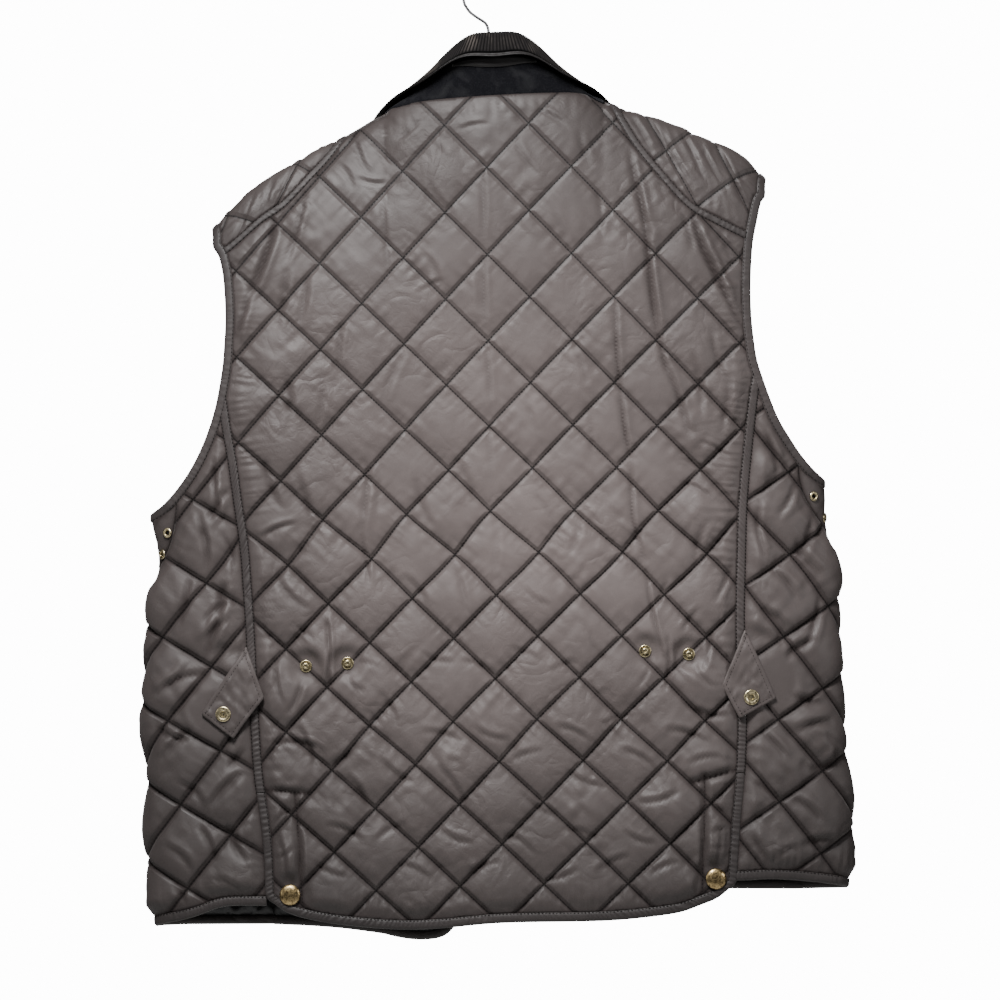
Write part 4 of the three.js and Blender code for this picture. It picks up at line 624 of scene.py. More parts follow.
def shoulder_border(side, inset):
    loop = side["loop"]
    place = loop["edge"] + loop["inward"] * inset
    place = place[-place[:, 2] < ridge_drop(side["tip"]) + SHOULDER_BORDER]
    face = np.where(place[:, 1] <= 0, -1, 1)
    drop = np.maximum(-place[:, 2], ridge_drop(place[:, 0]))
    x = place[:, 0]
    length = np.where(face < 0, fold_length(x, -1, drop), fold_length(x, 1, drop))
    return np.stack([x, length], axis=1)[np.argsort(length)]


for side in SIDES.values():
    side["loop"] = armhole_loop(side)
    place = side["loop"]["edge"] + side["loop"]["inward"] * INSET
    keep = np.nonzero(-place[:, 2] > ridge_drop(place[:, 0]) + 0.2)[0]
    x, drop, y = place[keep, 0], -place[keep, 2], place[keep, 1]
    side["border"] = np.where((y <= 0)[:, None], chart(x, drop, -1, y), chart(x, drop, 1, y))
    side["shoulder_border"] = shoulder_border(side, INSET)
    print("armhole edge:", len(side["loop"]["edge"]), "points, border:", len(side["border"]))


# %% [markdown]
# Quilting is two layers of nylon stitched together over a sheet of wadding, in lines that cross
# as diamonds. The wadding swells between the lines, and the thread draws the nylon into small
# puckers beside them. A cloth simulation would take minutes for a piece this large, so the same
# swelling is written as heights over the flat chart: smooth, quick, and the same on every run.

# %% Uneven cloth
STITCH_PITCH = QUILT / math.sqrt(2)
FIELD = 64


def uneven(points, size, seed, turn=0.0):
    table = np.random.default_rng(seed).uniform(-1, 1, (FIELD, FIELD))
    cos, sin = math.cos(turn), math.sin(turn)
    place = points @ np.array([[cos, -sin], [sin, cos]]) / np.asarray(size)
    cell = np.floor(place).astype(int)
    t = place - cell
    t = t * t * t * (t * (t * 6 - 15) + 10)
    a, b = cell[:, 0] % FIELD, cell[:, 1] % FIELD
    c, d = (a + 1) % FIELD, (b + 1) % FIELD
    low = table[a, b] * (1 - t[:, 0]) + table[c, b] * t[:, 0]
    high = table[a, d] * (1 - t[:, 0]) + table[c, d] * t[:, 0]
    return low * (1 - t[:, 1]) + high * t[:, 1]


def ramp(value, low, high):
    t = np.clip((value - low) / (high - low), 0, 1)
    return t * t * (3 - 2 * t)


# %% [markdown]
# A crease is a soft trough with a low ridge on its left, as cloth stands up beside a fold. Each
# row below is one crease of the real vest: where it starts and ends, how far it bows, its width
# and its depth. A negative depth makes a ridge.

# %% Creases
CREASE_STEPS = 12
CRISPNESS, NARROWEST = 0.6, 1.8
CREASE_TAPER = 0.6
LIP_HEIGHT, LIP_AWAY, LIP_WIDTH = 0.6, 1.9, 1.2


def crease_path(to_chart, x1, drop1, x2, drop2, bow):
    start, end = to_chart(np.array([x1, x2]), np.array([drop1, drop2]))
    along = end - start
    sideways = np.array([-along[1], along[0]]) / np.linalg.norm(along)
    middle = (start + end) / 2 + 2 * bow * sideways
    t = np.linspace(0, 1, CREASE_STEPS + 1)[:, None]
    return (1 - t) ** 2 * start + 2 * t * (1 - t) * middle + t * t * end


def creased(points, creases, to_chart):
    height = np.zeros(len(points))
    for x1, drop1, x2, drop2, bow, softness, depth in creases:
        width = max(CRISPNESS * softness, NARROWEST)
        path = crease_path(to_chart, x1, drop1, x2, drop2, bow)
        reach = 4 * width
        low, high = path.min(axis=0) - reach, path.max(axis=0) + reach
        near = np.nonzero(np.all((points > low) & (points < high), axis=1))[0]
        if not len(near):
            continue
        place = points[near][:, None]
        line = path[1:] - path[:-1]
        from_start = place - path[:-1]
        t = np.clip((from_start * line).sum(axis=2) / (line * line).sum(axis=1), 0, 1)
        away = from_start - t[..., None] * line
        gap = np.linalg.norm(away, axis=2)
        closest = gap.argmin(axis=1)
        pick = np.arange(len(near)), closest
        share = (closest + t[pick]) / CREASE_STEPS
        left_of = np.sign(cross(line[closest], from_start[pick]))
        off = gap[pick] * left_of
        strength = np.sin(np.pi * np.clip(share, 0, 1)) ** CREASE_TAPER
        trough = np.exp(-(off / width) ** 2)
        lip = LIP_HEIGHT * np.exp(-((off - LIP_AWAY * width) / (LIP_WIDTH * width)) ** 2)
        height[near] += depth * strength * (lip - trough)
    return height


BACK_CREASES = (
    # The long drapes that hang from the shoulders
    (-196, 228, -222, 302, 3, 5.5, 4.2), (-222, 300, -234, 342, 1, 4.5, 3.0),
    (-168, 202, -187, 272, 2, 3.2, 2.2), (-98, 214, -92, 282, 1, 2.2, 1.4),
    (131, 160, 152, 250, -3, 4.2, 3.2), (147, 240, 158, 342, -2, 4.6, 4.0),
    (140, 190, 160, 330, -2, 3.0, 2.0), (157, 335, 166, 372, 0, 3.6, 2.6),
    (160, 356, 186, 432, 3, 4.4, 2.6), (118, 304, 124, 396, -2, 3.2, 3.0),
    (123, 392, 132, 452, -1, 3.4, 3.2), (132, 452, 146, 552, -2, 3.2, 2.4),
    (146, 550, 164, 640, -2, 3.0, 1.8), (188, 222, 224, 304, -4, 5.0, 4.6),
    (206, 262, 240, 338, -3, 3.4, 3.2), (150, 178, 163, 214, 2, 2.6, 1.6),
    (162, 186, 184, 214, -2, 2.4, 1.6), (176, 218, 190, 262, 2, 3.4, 1.8),
    (214, 246, 226, 270, 1, 2.4, 1.4),
    # The faint fold down the middle of the back
    (-6, 178, -4, 250, 1, 2.2, 1.4), (-4, 262, -2, 326, -1, 2.0, 1.6),
    (-2, 344, 2, 402, 1, 2.0, 1.5), (1, 416, 4, 470, -1, 2.4, 0.9),
    (-14, 268, -12, 322, 1, 3.0, -0.8), (8, 500, 4, 560, 2, 3.0, 0.8),
    # Beside the neck and the upper back
    (-122, 152, -108, 190, -3, 3.0, 1.8), (-136, 180, -124, 204, 2, 3.2, 1.4),
    (-120, 192, -92, 196, -3, 2.4, 1.2), (-104, 160, -92, 188, 2, 2.6, -1.2),
    (-62, 138, -84, 158, 2, 3.0, 1.4), (-52, 196, -34, 222, -3, 3.4, 1.0),
    (-28, 148, 0, 142, 2, 2.4, 0.9), (24, 152, 46, 190, -3, 4.0, 1.2),
    (46, 130, 72, 146, 3, 3.0, 1.2), (84, 148, 96, 182, -3, 4.4, 1.4),
    (98, 196, 104, 246, 3, 4.0, 1.0), (60, 224, 76, 262, 2, 3.6, 0.9),
    (-60, 262, -44, 296, 4, 4.0, 1.2), (-66, 300, -40, 286, 2, 3.0, 0.8),
    (-134, 322, -138, 372, -1, 2.2, 1.5), (-142, 326, -145, 370, 1, 2.6, -0.9),
    (-168, 282, -176, 330, 2, 5.0, 1.6), (-186, 276, -196, 330, 2, 4.6, 1.8),
    (-152, 380, -160, 424, 3, 3.2, 1.4), (-188, 372, -184, 420, 3, 5.0, 1.6),
    (-76, 352, -98, 404, -3, 4.6, 1.2), (-34, 360, -60, 392, 2, 3.2, 0.8),
    (74, 336, 92, 384, 2, 4.0, 1.0), (36, 394, 52, 440, -2, 4.6, 0.9),
    (92, 404, 96, 452, 2, 3.0, 1.2), (188, 352, 196, 416, 4, 5.0, 1.6),
    (206, 330, 222, 384, -3, 4.4, 1.8), (222, 372, 214, 432, 3, 4.6, 1.8),
    # The middle of the back
    (-112, 452, -116, 520, 2, 3.4, 2.0), (-118, 512, -110, 570, -2, 2.8, 1.6),
    (-104, 448, -107, 516, 1, 3.0, -1.0), (-206, 452, -190, 500, -4, 5.0, 2.0),
    (-178, 466, -160, 520, 3, 4.4, 1.6), (-212, 528, -176, 512, 3, 3.6, 1.6),
    (-196, 560, -164, 592, -4, 5.0, 1.8), (-66, 470, -50, 516, -3, 5.0, 1.2),
    (-30, 452, -12, 496, 3, 5.2, 1.0), (44, 486, 66, 520, 3, 4.0, 1.0),
    (88, 504, 70, 548, 3, 3.6, 1.2), (178, 452, 206, 470, 3, 3.0, 1.6),
    (180, 474, 212, 496, 4, 2.8, 1.4), (196, 436, 224, 452, 2, 2.6, 1.3),
    (204, 508, 190, 552, -3, 4.6, 1.8), (226, 540, 208, 586, 3, 4.4, 1.8),
    (166, 560, 150, 596, 3, 3.6, 1.2), (34, 572, 60, 588, -3, 3.4, 1.0),
    (-80, 560, -56, 590, 4, 4.4, 1.2), (-34, 548, -20, 596, 3, 4.0, 1.0),
    # Round the studs at the waist
    (-150, 596, -147, 668, 2, 2.8, 2.2), (-144, 620, -152, 664, -2, 2.2, -1.4),
    (-160, 622, -182, 606, -2, 3.0, 1.6), (-124, 640, -100, 646, 2, 2.4, 1.0),
    (-172, 656, -186, 690, 3, 4.0, 1.8), (-196, 640, -188, 680, -3, 3.4, 1.6),
    (-130, 656, -112, 668, -2, 2.8, 1.2), (166, 616, 164, 668, 2, 2.6, 1.6),
    (150, 644, 134, 668, 2, 3.0, 1.2), (190, 642, 210, 664, -3, 3.4, 1.6),
    (180, 612, 196, 590, 2, 3.0, 1.4), (206, 612, 196, 650, 3, 3.6, 1.5),
    (-60, 632, -30, 640, -3, 3.4, 1.2), (-26, 640, 6, 652, 4, 3.6, 1.2),
    (20, 628, 48, 640, 3, 3.0, 1.0), (58, 650, 84, 640, 3, 3.4, 1.2),
    (94, 616, 112, 640, -3, 3.6, 1.0), (-100, 668, -84, 700, 3, 4.0, 1.2),
    # The lower back, where the cloth has been sat on
    (-196, 716, -150, 724, 5, 4.4, 2.2), (-176, 700, -160, 740, 3, 4.0, 1.6),
    (-148, 736, -120, 716, -3, 4.6, 1.8), (-132, 746, -112, 776, 4, 4.2, 1.6),
    (-100, 728, -70, 752, -4, 4.6, 1.6), (-60, 706, -22, 716, 4, 4.0, 1.4),
    (-48, 736, -20, 776, 4, 4.4, 1.4), (-14, 700, 22, 712, -4, 4.0, 1.4),
    (16, 736, 52, 722, 3, 3.6, 1.4), (30, 760, 66, 784, -4, 4.4, 1.6),
    (62, 700, 96, 716, 4, 4.2, 1.6), (74, 742, 112, 756, -4, 4.0, 1.4),
    (104, 700, 138, 690, 3, 3.4, 1.4), (122, 722, 158, 742, 4, 4.2, 1.8),
    (136, 770, 176, 760, -4, 4.0, 1.6), (164, 704, 204, 716, 4, 4.4, 1.8),
    (178, 676, 226, 690, -5, 4.0, 1.8), (184, 736, 216, 728, 3, 3.4, 1.4),
    (-150, 792, -116, 806, 4, 4.0, 1.6), (-160, 826, -128, 840, -3, 3.6, 1.4),
    (-104, 806, -74, 790, 3, 3.8, 1.4), (-84, 828, -52, 844, 4, 4.0, 1.4),
    (-44, 796, -12, 808, -3, 4.2, 1.4), (-20, 838, 12, 826, 3, 3.6, 1.2),
    (14, 800, 44, 820, 4, 4.0, 1.4), (48, 842, 84, 832, -3, 3.6, 1.4),
    (70, 796, 104, 806, 4, 4.0, 1.4), (100, 836, 132, 820, 3, 3.6, 1.4),
    (126, 796, 156, 808, -4, 4.0, 1.6), (150, 838, 178, 826, 3, 3.4, 1.4),
    # On the left vent's flap
    (-200, 792, -178, 776, 2, 3.0, 1.4), (-198, 822, -178, 812, -2, 2.8, 1.4),
    (-196, 800, -186, 846, 3, 3.4, 1.6), (-176, 792, -172, 836, 2, 2.6, 1.2),
    (206, 770, 224, 780, -2, 2.8, 1.4), (204, 800, 222, 796, 2, 2.6, 1.4),
    (214, 790, 208, 836, 3, 3.4, 1.6),
)
print("creases on the back:", len(BACK_CREASES))

# %% [markdown]
# The side panels are cut across the grain of the back, bulge more, and fold along their steeper
# stitch lines. The front and the shoulders aren't seen in the picture, so their creases are made
# up in the same way: a few drapes from the shoulder and pulls below the snaps.

# %% Creases of the sides and front
SIDE_CREASES = {
    "left": (
        (-252, 448, -248, 500, -3, 4.0, 2.6), (-240, 476, -262, 512, 3, 4.6, 2.6),
        (-268, 500, -262, 560, 4, 5.0, 2.4), (-246, 520, -236, 560, 3, 3.6, 1.8),
        (-238, 586, -262, 606, -4, 4.4, 2.6), (-244, 566, -262, 640, 4, 6.0, 3.2),
        (-276, 560, -286, 610, 3, 5.0, 2.0), (-262, 622, -236, 600, 3, 4.4, 2.2),
        (-300, 666, -262, 652, 4, 4.0, 2.0), (-304, 672, -276, 640, -3, 5.0, 2.0),
        (-306, 700, -276, 712, -4, 4.4, 2.6), (-300, 732, -274, 704, 3, 4.6, 2.2),
        (-286, 690, -268, 664, 3, 4.0, 1.8), (-240, 742, -222, 722, 3, 4.2, 2.2),
        (-256, 776, -222, 742, 4, 6.0, 2.8), (-286, 752, -262, 774, 4, 4.6, 1.8),
        (-240, 790, -222, 826, -4, 6.0, 2.8), (-268, 792, -252, 826, 3, 4.6, 2.0),
        (-296, 812, -272, 836, 4, 4.6, 1.8), (-258, 842, -226, 852, 3, 3.6, 1.6),
        (-292, 846, -276, 868, 2, 3.6, 1.4), (-232, 650, -226, 620, 2, 3.0, 1.4),
    ),
    "right": (
        (252, 420, 268, 468, 3, 4.4, 2.4), (262, 404, 280, 446, -3, 3.6, 2.0),
        (286, 470, 266, 506, 3, 4.6, 2.2), (252, 490, 256, 546, -3, 4.4, 2.2),
        (300, 500, 282, 548, 4, 5.0, 2.0), (262, 556, 284, 584, 4, 5.0, 2.4),
        (284, 528, 306, 560, -4, 5.6, 2.6), (306, 580, 290, 630, 3, 5.0, 2.2),
        (252, 590, 276, 612, 3, 4.2, 2.0), (274, 640, 302, 620, 4, 5.4, 2.4),
        (278, 668, 312, 678, -4, 5.0, 2.2), (284, 706, 316, 696, 3, 5.6, 2.6),
        (252, 706, 274, 730, 3, 4.4, 2.0), (296, 742, 322, 722, -4, 5.2, 2.4),
        (244, 752, 268, 770, 3, 4.4, 2.0), (280, 768, 306, 790, 4, 5.4, 2.4),
        (246, 800, 262, 826, -3, 4.4, 2.0), (288, 812, 320, 806, 3, 4.6, 2.0),
        (262, 824, 286, 812, 2, 4.0, 1.6), (246, 640, 256, 620, 2, 3.0, 1.4),
    ),
}
FRONT_CREASES = (
    (190, 240, 214, 330, 4, 5.0, 3.6), (160, 236, 176, 340, -3, 4.4, 2.6), (120, 262, 132, 350, 3, 4.6, 2.0),
    (206, 360, 176, 402, 4, 5.0, 2.2), (56, 262, 92, 276, 4, 3.6, 1.6), (60, 402, 98, 420, -4, 3.8, 1.8),
    (58, 540, 94, 552, 4, 3.8, 1.8), (60, 676, 96, 690, -4, 3.8, 1.8), (58, 806, 92, 800, 3, 3.6, 1.6),
    (112, 440, 146, 470, 4, 4.6, 1.6), (166, 470, 190, 520, -4, 5.0, 2.0), (104, 566, 132, 612, 4, 4.6, 1.8),
    (160, 592, 196, 610, 4, 4.6, 2.0), (118, 700, 150, 690, -4, 4.4, 1.8), (166, 690, 190, 742, 4, 5.0, 2.0),
    (100, 764, 140, 786, 4, 4.6, 1.6), (160, 796, 194, 826, -4, 4.6, 1.6), (76, 836, 120, 846, 3, 4.0, 1.4),
)
YOKE_CREASES = (
    (132, -8, 152, -46, 3, 3.6, 2.2), (150, -6, 166, -40, 2, 3.0, 1.8), (160, -10, 190, -52, -3, 3.4, 2.2),
    (178, -5, 200, -44, 2, 3.2, 2.0), (196, -6, 216, -38, -2, 3.0, 1.6), (214, -8, 234, -44, 2, 3.2, 1.8),
    (226, -26, 238, -52, 2, 2.6, 1.2), (140, 6, 156, 22, 2, 3.0, 1.2), (196, 8, 214, 30, -2, 3.2, 1.4),
)
print("creases on the sides:", sum(len(rows_) for rows_ in SIDE_CREASES.values()))

# %% [markdown]
# The height of a quilted panel is built up in layers: the swell of each diamond, the puckers
# beside the stitches and along the seams, the listed creases, and small unevenness. Where a
# snap clamps the cloth it's pressed flat.

# %% The height of quilted cloth
PUCKER, PUCKER_WOBBLE, PUCKER_START, PUCKER_REACH = 9.0, 2.6, 1.2, 6.5
RIM_PUCKER, RIM_WOBBLE, RIM_HEIGHT, RIM_REACH = 8.0, 2.2, 2.2, 11.0
LINE_APART = 37.0
PINNED_REACH = 11
SEWN_FLAT, LOWEST, FADE_MIX = 0.12, -1.2, 0.45
SETTLING_ROUNDS = 12
SAG_POWER = 0.74
CREASE_DEPTH = 1.3
SWELL_POWERS = np.array([0.55, 0.44])
PLAIN_QUILT = {"wide": QUILT, "high": QUILT, "rise": 0, "lean": 0, "bow": 0, "crowd": 0}


def quilt_place(panel, points):
    """The lattice place of chart points: a stitch line runs where either number is whole."""
    grid = panel["grid"]
    x, y = (points - panel["centre"]).T
    m = (x - grid["lean"] * y) / grid["wide"]
    n = (y - grid["rise"] * x + grid["bow"] * x * x - grid["crowd"] * y * y) / grid["high"]
    return np.stack([m + n, m - n], axis=1)


def quilt_points(panel, place):
    grid = panel["grid"]
    m, n = (place[:, 0] + place[:, 1]) / 2, (place[:, 0] - place[:, 1]) / 2
    x, y = m * grid["wide"], n * grid["high"]
    for _ in range(SETTLING_ROUNDS):
        y = n * grid["high"] + grid["rise"] * x - grid["bow"] * x * x + grid["crowd"] * y * y
        x = m * grid["wide"] + grid["lean"] * y
    return np.stack([x, y], axis=1) + panel["centre"]


def sagging(place):
    """Wadding sinks in its diamond, so the swell is highest below the middle."""
    share = place - np.floor(place)
    share[:, 0] = share[:, 0] ** SAG_POWER
    share[:, 1] = 1 - (1 - share[:, 1]) ** SAG_POWER
    return np.sin(np.pi * share)


def edge_tree(outline):
    closed = np.concatenate([outline, outline[:1]])
    at = run_along(closed)
    places = np.arange(0, at[-1], 1.0)
    dense = path_at(places, at, closed)
    tree = KDTree(len(dense))
    for i, (x, y) in enumerate(dense):
        tree.insert((x, y, 0), i)
    tree.balance()
    return tree


def relief(panel, points):
    found = [panel["tree"].find((x, y, 0)) for x, y in points]
    edge = np.array([hit[2] for hit in found])
    along_edge = np.array([hit[1] for hit in found], float)
    place = quilt_place(panel, points)
    nearest = np.round(place)
    gap = STITCH_PITCH * np.abs(place - nearest)
    swell = np.clip(sagging(place), 0, 1) ** SWELL_POWERS
    diamond = np.floor(place).astype(int)
    luck = np.random.default_rng(panel["seed"]).uniform(0.78, 1.08, (FIELD, FIELD))
    fullness = luck[diamond[:, 0] % FIELD, diamond[:, 1] % FIELD] * panel["fullness"](points)
    height = PUFF * fullness * swell.prod(axis=1)

    # Puckers stand across each stitch line and die away from it
    seed = panel["seed"]
    for k in (0, 1):
        along = STITCH_PITCH * place[:, 1 - k]
        lines = np.stack([along, LINE_APART * nearest[:, k]], axis=1)
        strength = 0.4 + 0.6 * np.abs(uneven(lines, (26, 5), seed + 3 + k))
        wobble = PUCKER_WOBBLE * uneven(lines, (17, 5), seed + 5 + k)
        wave = panel["pucker"] * strength * np.sin(2 * np.pi * (along / PUCKER + wobble))
        height += wave * np.exp(-(gap[:, k] / PUCKER_REACH)) * (1 - np.exp(-gap[:, k] / PUCKER_START))
    rim = np.stack([along_edge, np.zeros(len(points))], axis=1)
    wave = np.sin(2 * np.pi * (along_edge / RIM_PUCKER + RIM_WOBBLE * uneven(rim, (21, 1), seed + 8)))
    strength = 0.35 + 0.65 * np.abs(uneven(rim, (31, 1), seed + 9))
    height += RIM_HEIGHT * strength * wave * np.exp(-edge / RIM_REACH)

    # Soft folds and small unevenness
    roughly = 0.7 * uneven(points, 46, seed + 11) + 0.34 * uneven(points, (9, 24), seed + 12, 0.25)
    folds = uneven(points, (7, 19), seed + 13, -0.7) + uneven(points, (6, 16), seed + 14, 0.75)
    patches = ramp(uneven(points, 38, seed + 15), -0.1, 0.6)
    height += roughly + panel["wrinkle"] * (0.4 + fullness) * folds * (0.25 + patches)
    fold = creased(points, panel["creases"], panel["to_chart"])
    height += CREASE_DEPTH * fold

    for middle, radius in panel["pins"]:
        height *= ramp(np.linalg.norm(points - middle, axis=1), radius, radius + PINNED_REACH)
    for line, half in panel["sewn"]:
        height *= SEWN_FLAT + (1 - SEWN_FLAT) * ramp(np.abs(line(points)), 0, half)
    fade = FADE_MIX * ramp(edge, 0, EDGE_FADE) + (1 - FADE_MIX) * np.clip(edge / EDGE_FADE, 0, 1)
    height = fade * np.clip(height, LOWEST, panel["highest"](points))
    # Painted shade: a mask that darkens the cloth's colour in the stitch valleys, deeper where the diamonds
    # are fuller, along the panel's edge, in the creases and beside the vent rows.
    deep = np.clip(fullness, 0.4, 1.3)
    painted_shade = 0.66 * deep * np.exp(-gap.min(axis=1) / (0.8 + 1.5 * deep)) + 0.8 * np.exp(-edge / 2.4)
    painted_shade += 0.75 * np.clip(-fold / 3.4, 0, 1)
    for line, _ in panel["sewn"]:
        painted_shade += 0.9 * np.exp(-np.abs(line(points)) / 1.5)
    return CLOTH_WALL + height, np.clip(painted_shade, 0, 1)


# %% [markdown]
# A panel is one closed skin: the quilted outside, the plain lining inside, and a rim between
# them. Its points lie in rows along the stitch lines, so that each line falls on a row. A
# constrained triangulation joins them to the outline and keeps every point of it.

# %% Making a panel
SKINS = {}


def is_inside(points, outline):
    inside = np.zeros(len(points), bool)
    for a, b in zip(outline, np.roll(outline, -1, axis=0)):
        if a[1] == b[1]:
            continue
        spans = (a[1] > points[:, 1]) != (b[1] > points[:, 1])
        at = (b[0] - a[0]) * (points[:, 1] - a[1]) / (b[1] - a[1]) + a[0]
        inside ^= spans & (points[:, 0] < at)
    return inside


def fill(outline, inside, holes=()):
    points = np.concatenate([outline, *holes, inside]).astype(np.float32).astype(float)
    edges, start = [], 0
    for ring in (outline, *holes):
        edges += [(start + i, start + (i + 1) % len(ring)) for i in range(len(ring))]
        start += len(ring)
    result = delaunay_2d_cdt([Vector(p) for p in points], edges, [], 1, 1e-5, True)
    faces = np.array([[result[3][v][0] for v in face] for face in result[2]])
    for hole in holes:
        middle = points[faces].mean(axis=1)
        faces = faces[~is_inside(middle, hole)]
    edge_only = np.flatnonzero(faces.max(axis=1) < len(outline))
    outside = ~is_inside(points[faces[edge_only]].mean(axis=1), points[:len(outline)])
    return points, np.delete(faces, edge_only[outside], axis=0)


def away_from(points, tree, least):
    return points[[tree.find((x, y, 0))[2] > least for x, y in points]]


def lattice_range(panel):
    """The lowest and highest lattice places that a panel can hold."""
    corners = panel["outline"].min(axis=0), panel["outline"].max(axis=0)
    place = quilt_place(panel, crossed(*np.transpose(corners)))
    return np.floor(place.min(axis=0)) - 2, np.ceil(place.max(axis=0)) + 2


def on_panel(points, panel):
    """Which points lie on a panel. The box comes first, because it's quick."""
    outline = panel["outline"]
    kept = np.all((points > outline.min(axis=0)) & (points < outline.max(axis=0)), axis=1)
    kept[kept] = is_inside(points[kept], outline)
    return kept


def lattice(panel, cells):
    u, v = (np.arange(round((b - a) * cells) + 1) / cells + a for a, b in zip(*lattice_range(panel)))
    points = quilt_points(panel, crossed(u, v, "ij"))
    return away_from(points[on_panel(points, panel)], panel["tree"], 0.6 * STITCH_PITCH / cells)


def rim_faces(rings, shift):
    faces, start = [], 0
    for ring in rings:
        for i in range(len(ring)):
            a, b = start + i, start + (i + 1) % len(ring)
            faces += [(a, a + shift, b + shift), (a, b + shift, b)]
        start += len(ring)
    return faces


def own_name(name):
    """A solid in the frame keeps its name, so the finer piece that stands for it gets its own."""
    return f"{name}_fine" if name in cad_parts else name


def add_map(mesh, name, places):
    layer = mesh.uv_layers.new(name=name)
    loops = np.zeros(len(mesh.loops), np.int32)
    mesh.loops.foreach_get("vertex_index", loops)
    layer.data.foreach_set("uv", np.asarray(places)[loops].astype(np.float32).ravel())


def make_skin(name, verts, faces, uv=None, painted_shade=None, inner=None, quilting=None):
    mesh = bpy.data.meshes.new(own_name(name))
    mesh.from_pydata((np.asarray(verts) * MM).tolist(), [], [tuple(int(v) for v in f) for f in faces])
    if uv is not None:
        add_map(mesh, "cloth", np.asarray(uv) * MM)
    if quilting is not None:
        add_map(mesh, "quilting", quilting)
    # This attribute is a mask for shade painted into the cloth's colour.
    if painted_shade is not None:
        depths = mesh.attributes.new("painted_shade", "FLOAT", "POINT").data
        depths.foreach_set("value", np.asarray(painted_shade, np.float32))
    mesh.polygons.foreach_set("use_smooth", [True] * len(mesh.polygons))
    if inner is not None:
        mesh.polygons.foreach_set("material_index", np.asarray(inner, np.int32))
    mesh.update()
    thing = bpy.data.objects.new(own_name(name), mesh)
    bpy.context.collection.objects.link(thing)
    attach(thing, "root")
    SKINS[name] = thing
    return thing


def polygon_area(outline):
    return abs(cross(outline, np.roll(outline, -1, axis=0)).sum()) / 2


def make_panel(panel, cells, coarse=4, holes=()):
    outline, to_body = panel["outline"], panel["to_body"]
    panel["tree"] = edge_tree(outline)
    points, outer_faces = fill(outline, lattice(panel, cells), holes)
    height, painted_shade = relief(panel, points)
    rim = len(outline) + sum(len(hole) for hole in holes)
    height[:rim] = CLOTH_WALL
    plain, inner_faces = fill(outline, lattice(panel, coarse), holes)
    outer, inner = to_body(points, height), to_body(plain, 0)
    shift = len(outer)
    faces = [*outer_faces, *(inner_faces[:, ::-1] + shift), *rim_faces([outline, *holes], shift)]
    lining = np.zeros(len(faces), int)
    lining[len(outer_faces):len(outer_faces) + len(inner_faces)] = 1
    charted = np.concatenate([points, plain])
    thing = make_skin(
        panel["name"], np.concatenate([outer, inner]), faces, charted,
        np.concatenate([painted_shade, np.zeros(len(plain))]), lining, quilt_place(panel, charted),
    )
    print(panel["name"], len(faces), "faces, reaches", round(float(height.max()), 1), "mm out")
    return thing


def on_back(x, drop):
    return chart(x, drop, -1)


def on_front(x, drop):
    return chart(x, drop, 1)


# %% [markdown]
# The curves that the panels share. A seam is drawn once, and each panel beside it stops half a
# tape's width away, under the band that covers the seam.

# %% Shared curves
EXTRA = 12
NECK_CURVE = across_curve(BACK_NECK, on_back)
BACK_HEM_CURVE = across_curve(BACK_HEM, on_back)


def neck_end(side):
    return NECK_LEFT + 2 if side["sign"] < 0 else NECK_RIGHT - 2


def ridge_curve(start, end, face=-1):
    x = np.linspace(start, end, max(2, round(abs(end - start) / STEP)))
    return chart(x, ridge_drop(x) + 0.01, face)


def yoke_seam(side, towards_yoke):
    middle = across_curve(side["yoke_seam"], lambda x, drop: shoulder(x, drop, -1), 3)
    return beside(middle, -side["sign"] * towards_yoke)


def yoke_front(side, down, to_chart):
    near, far = neck_end(side), side["tip"] + side["sign"] * EXTRA
    x = np.linspace(far, near - side["sign"] * EXTRA, 60)
    share = (x - near) / (side["tip"] - near)
    below = YOKE_NECK_DROP + (YOKE_FRONT_DROP - YOKE_NECK_DROP) * share
    return to_chart(x, np.maximum(ridge_drop(x), ridge_drop(near) - EXTRA) + below + down)


def front_neck(side):
    near = neck_end(side)
    top = float(ridge_drop(near))
    angle = np.linspace(0, np.pi / 2, 40)
    x = near + (side["front_edge"] - near) * (1 - np.cos(angle))
    drop = top + YOKE_NECK_DROP + FRONT_NECK_DEPTH * np.sin(angle)
    x = np.concatenate([[near], x, [side["front_edge"] - side["sign"] * EXTRA]])
    drop = np.concatenate([[top - 1], drop, [drop[-1] + 1]])
    return on_front(x, drop)


def front_edge(side, shift):
    drop = np.arange(136, 921, STEP)
    edge = on_front(np.full(len(drop), float(side["front_edge"])), drop)
    return edge + np.array([-side["sign"] * shift, 0])


def side_hem(side):
    behind = across_curve(side["side_hem"], on_back)
    corner = np.array([[side["sign"] * float(quarter(float(side["side_hem_side"]))), -side["side_hem_side"]]])
    x = np.array([side["sign"] * 285.0, side["front_seam"]["x"][3] - side["sign"] * EXTRA])
    before = on_front(x, np.full(2, float(side["side_hem_front"])))
    coarse = np.concatenate([behind, corner, before])
    return resampled(coarse, round(run_along(coarse)[-1] / STEP))


def gusset_curve(side, direction, shift):
    k = np.linspace(-1, 7, 60) / 5
    drop = side["gusset_tip"] - k * (side["gusset_tip"] - side["armhole_bottom"])
    reach = GUSSET_REACH * np.sin(k * (np.pi / 2) * 0.9) + shift
    return np.stack([side["sign"] * (quarter(drop) + direction * reach), -drop], axis=1)


def back_seam(side, shift):
    return down_curve(side["seam"], -1, shift)


def front_seam(side, shift):
    return down_curve(side["front_seam"], 1, shift)


def level(side, drop):
    x = side["seam"]["x"][0] + side["sign"] * EXTRA * np.array([2.0, -6.0])
    return on_back(x, np.full(2, float(drop)))


for side in SIDES.values():
    side["hem"] = side_hem(side)
    side["front_hem_curve"] = across_curve(side["front_hem"], on_front)
    side["neck"] = front_neck(side)
    side["front_border"] = side["border"][len(side["border"]) // 2:]
print("neck curve:", len(NECK_CURVE), "points")

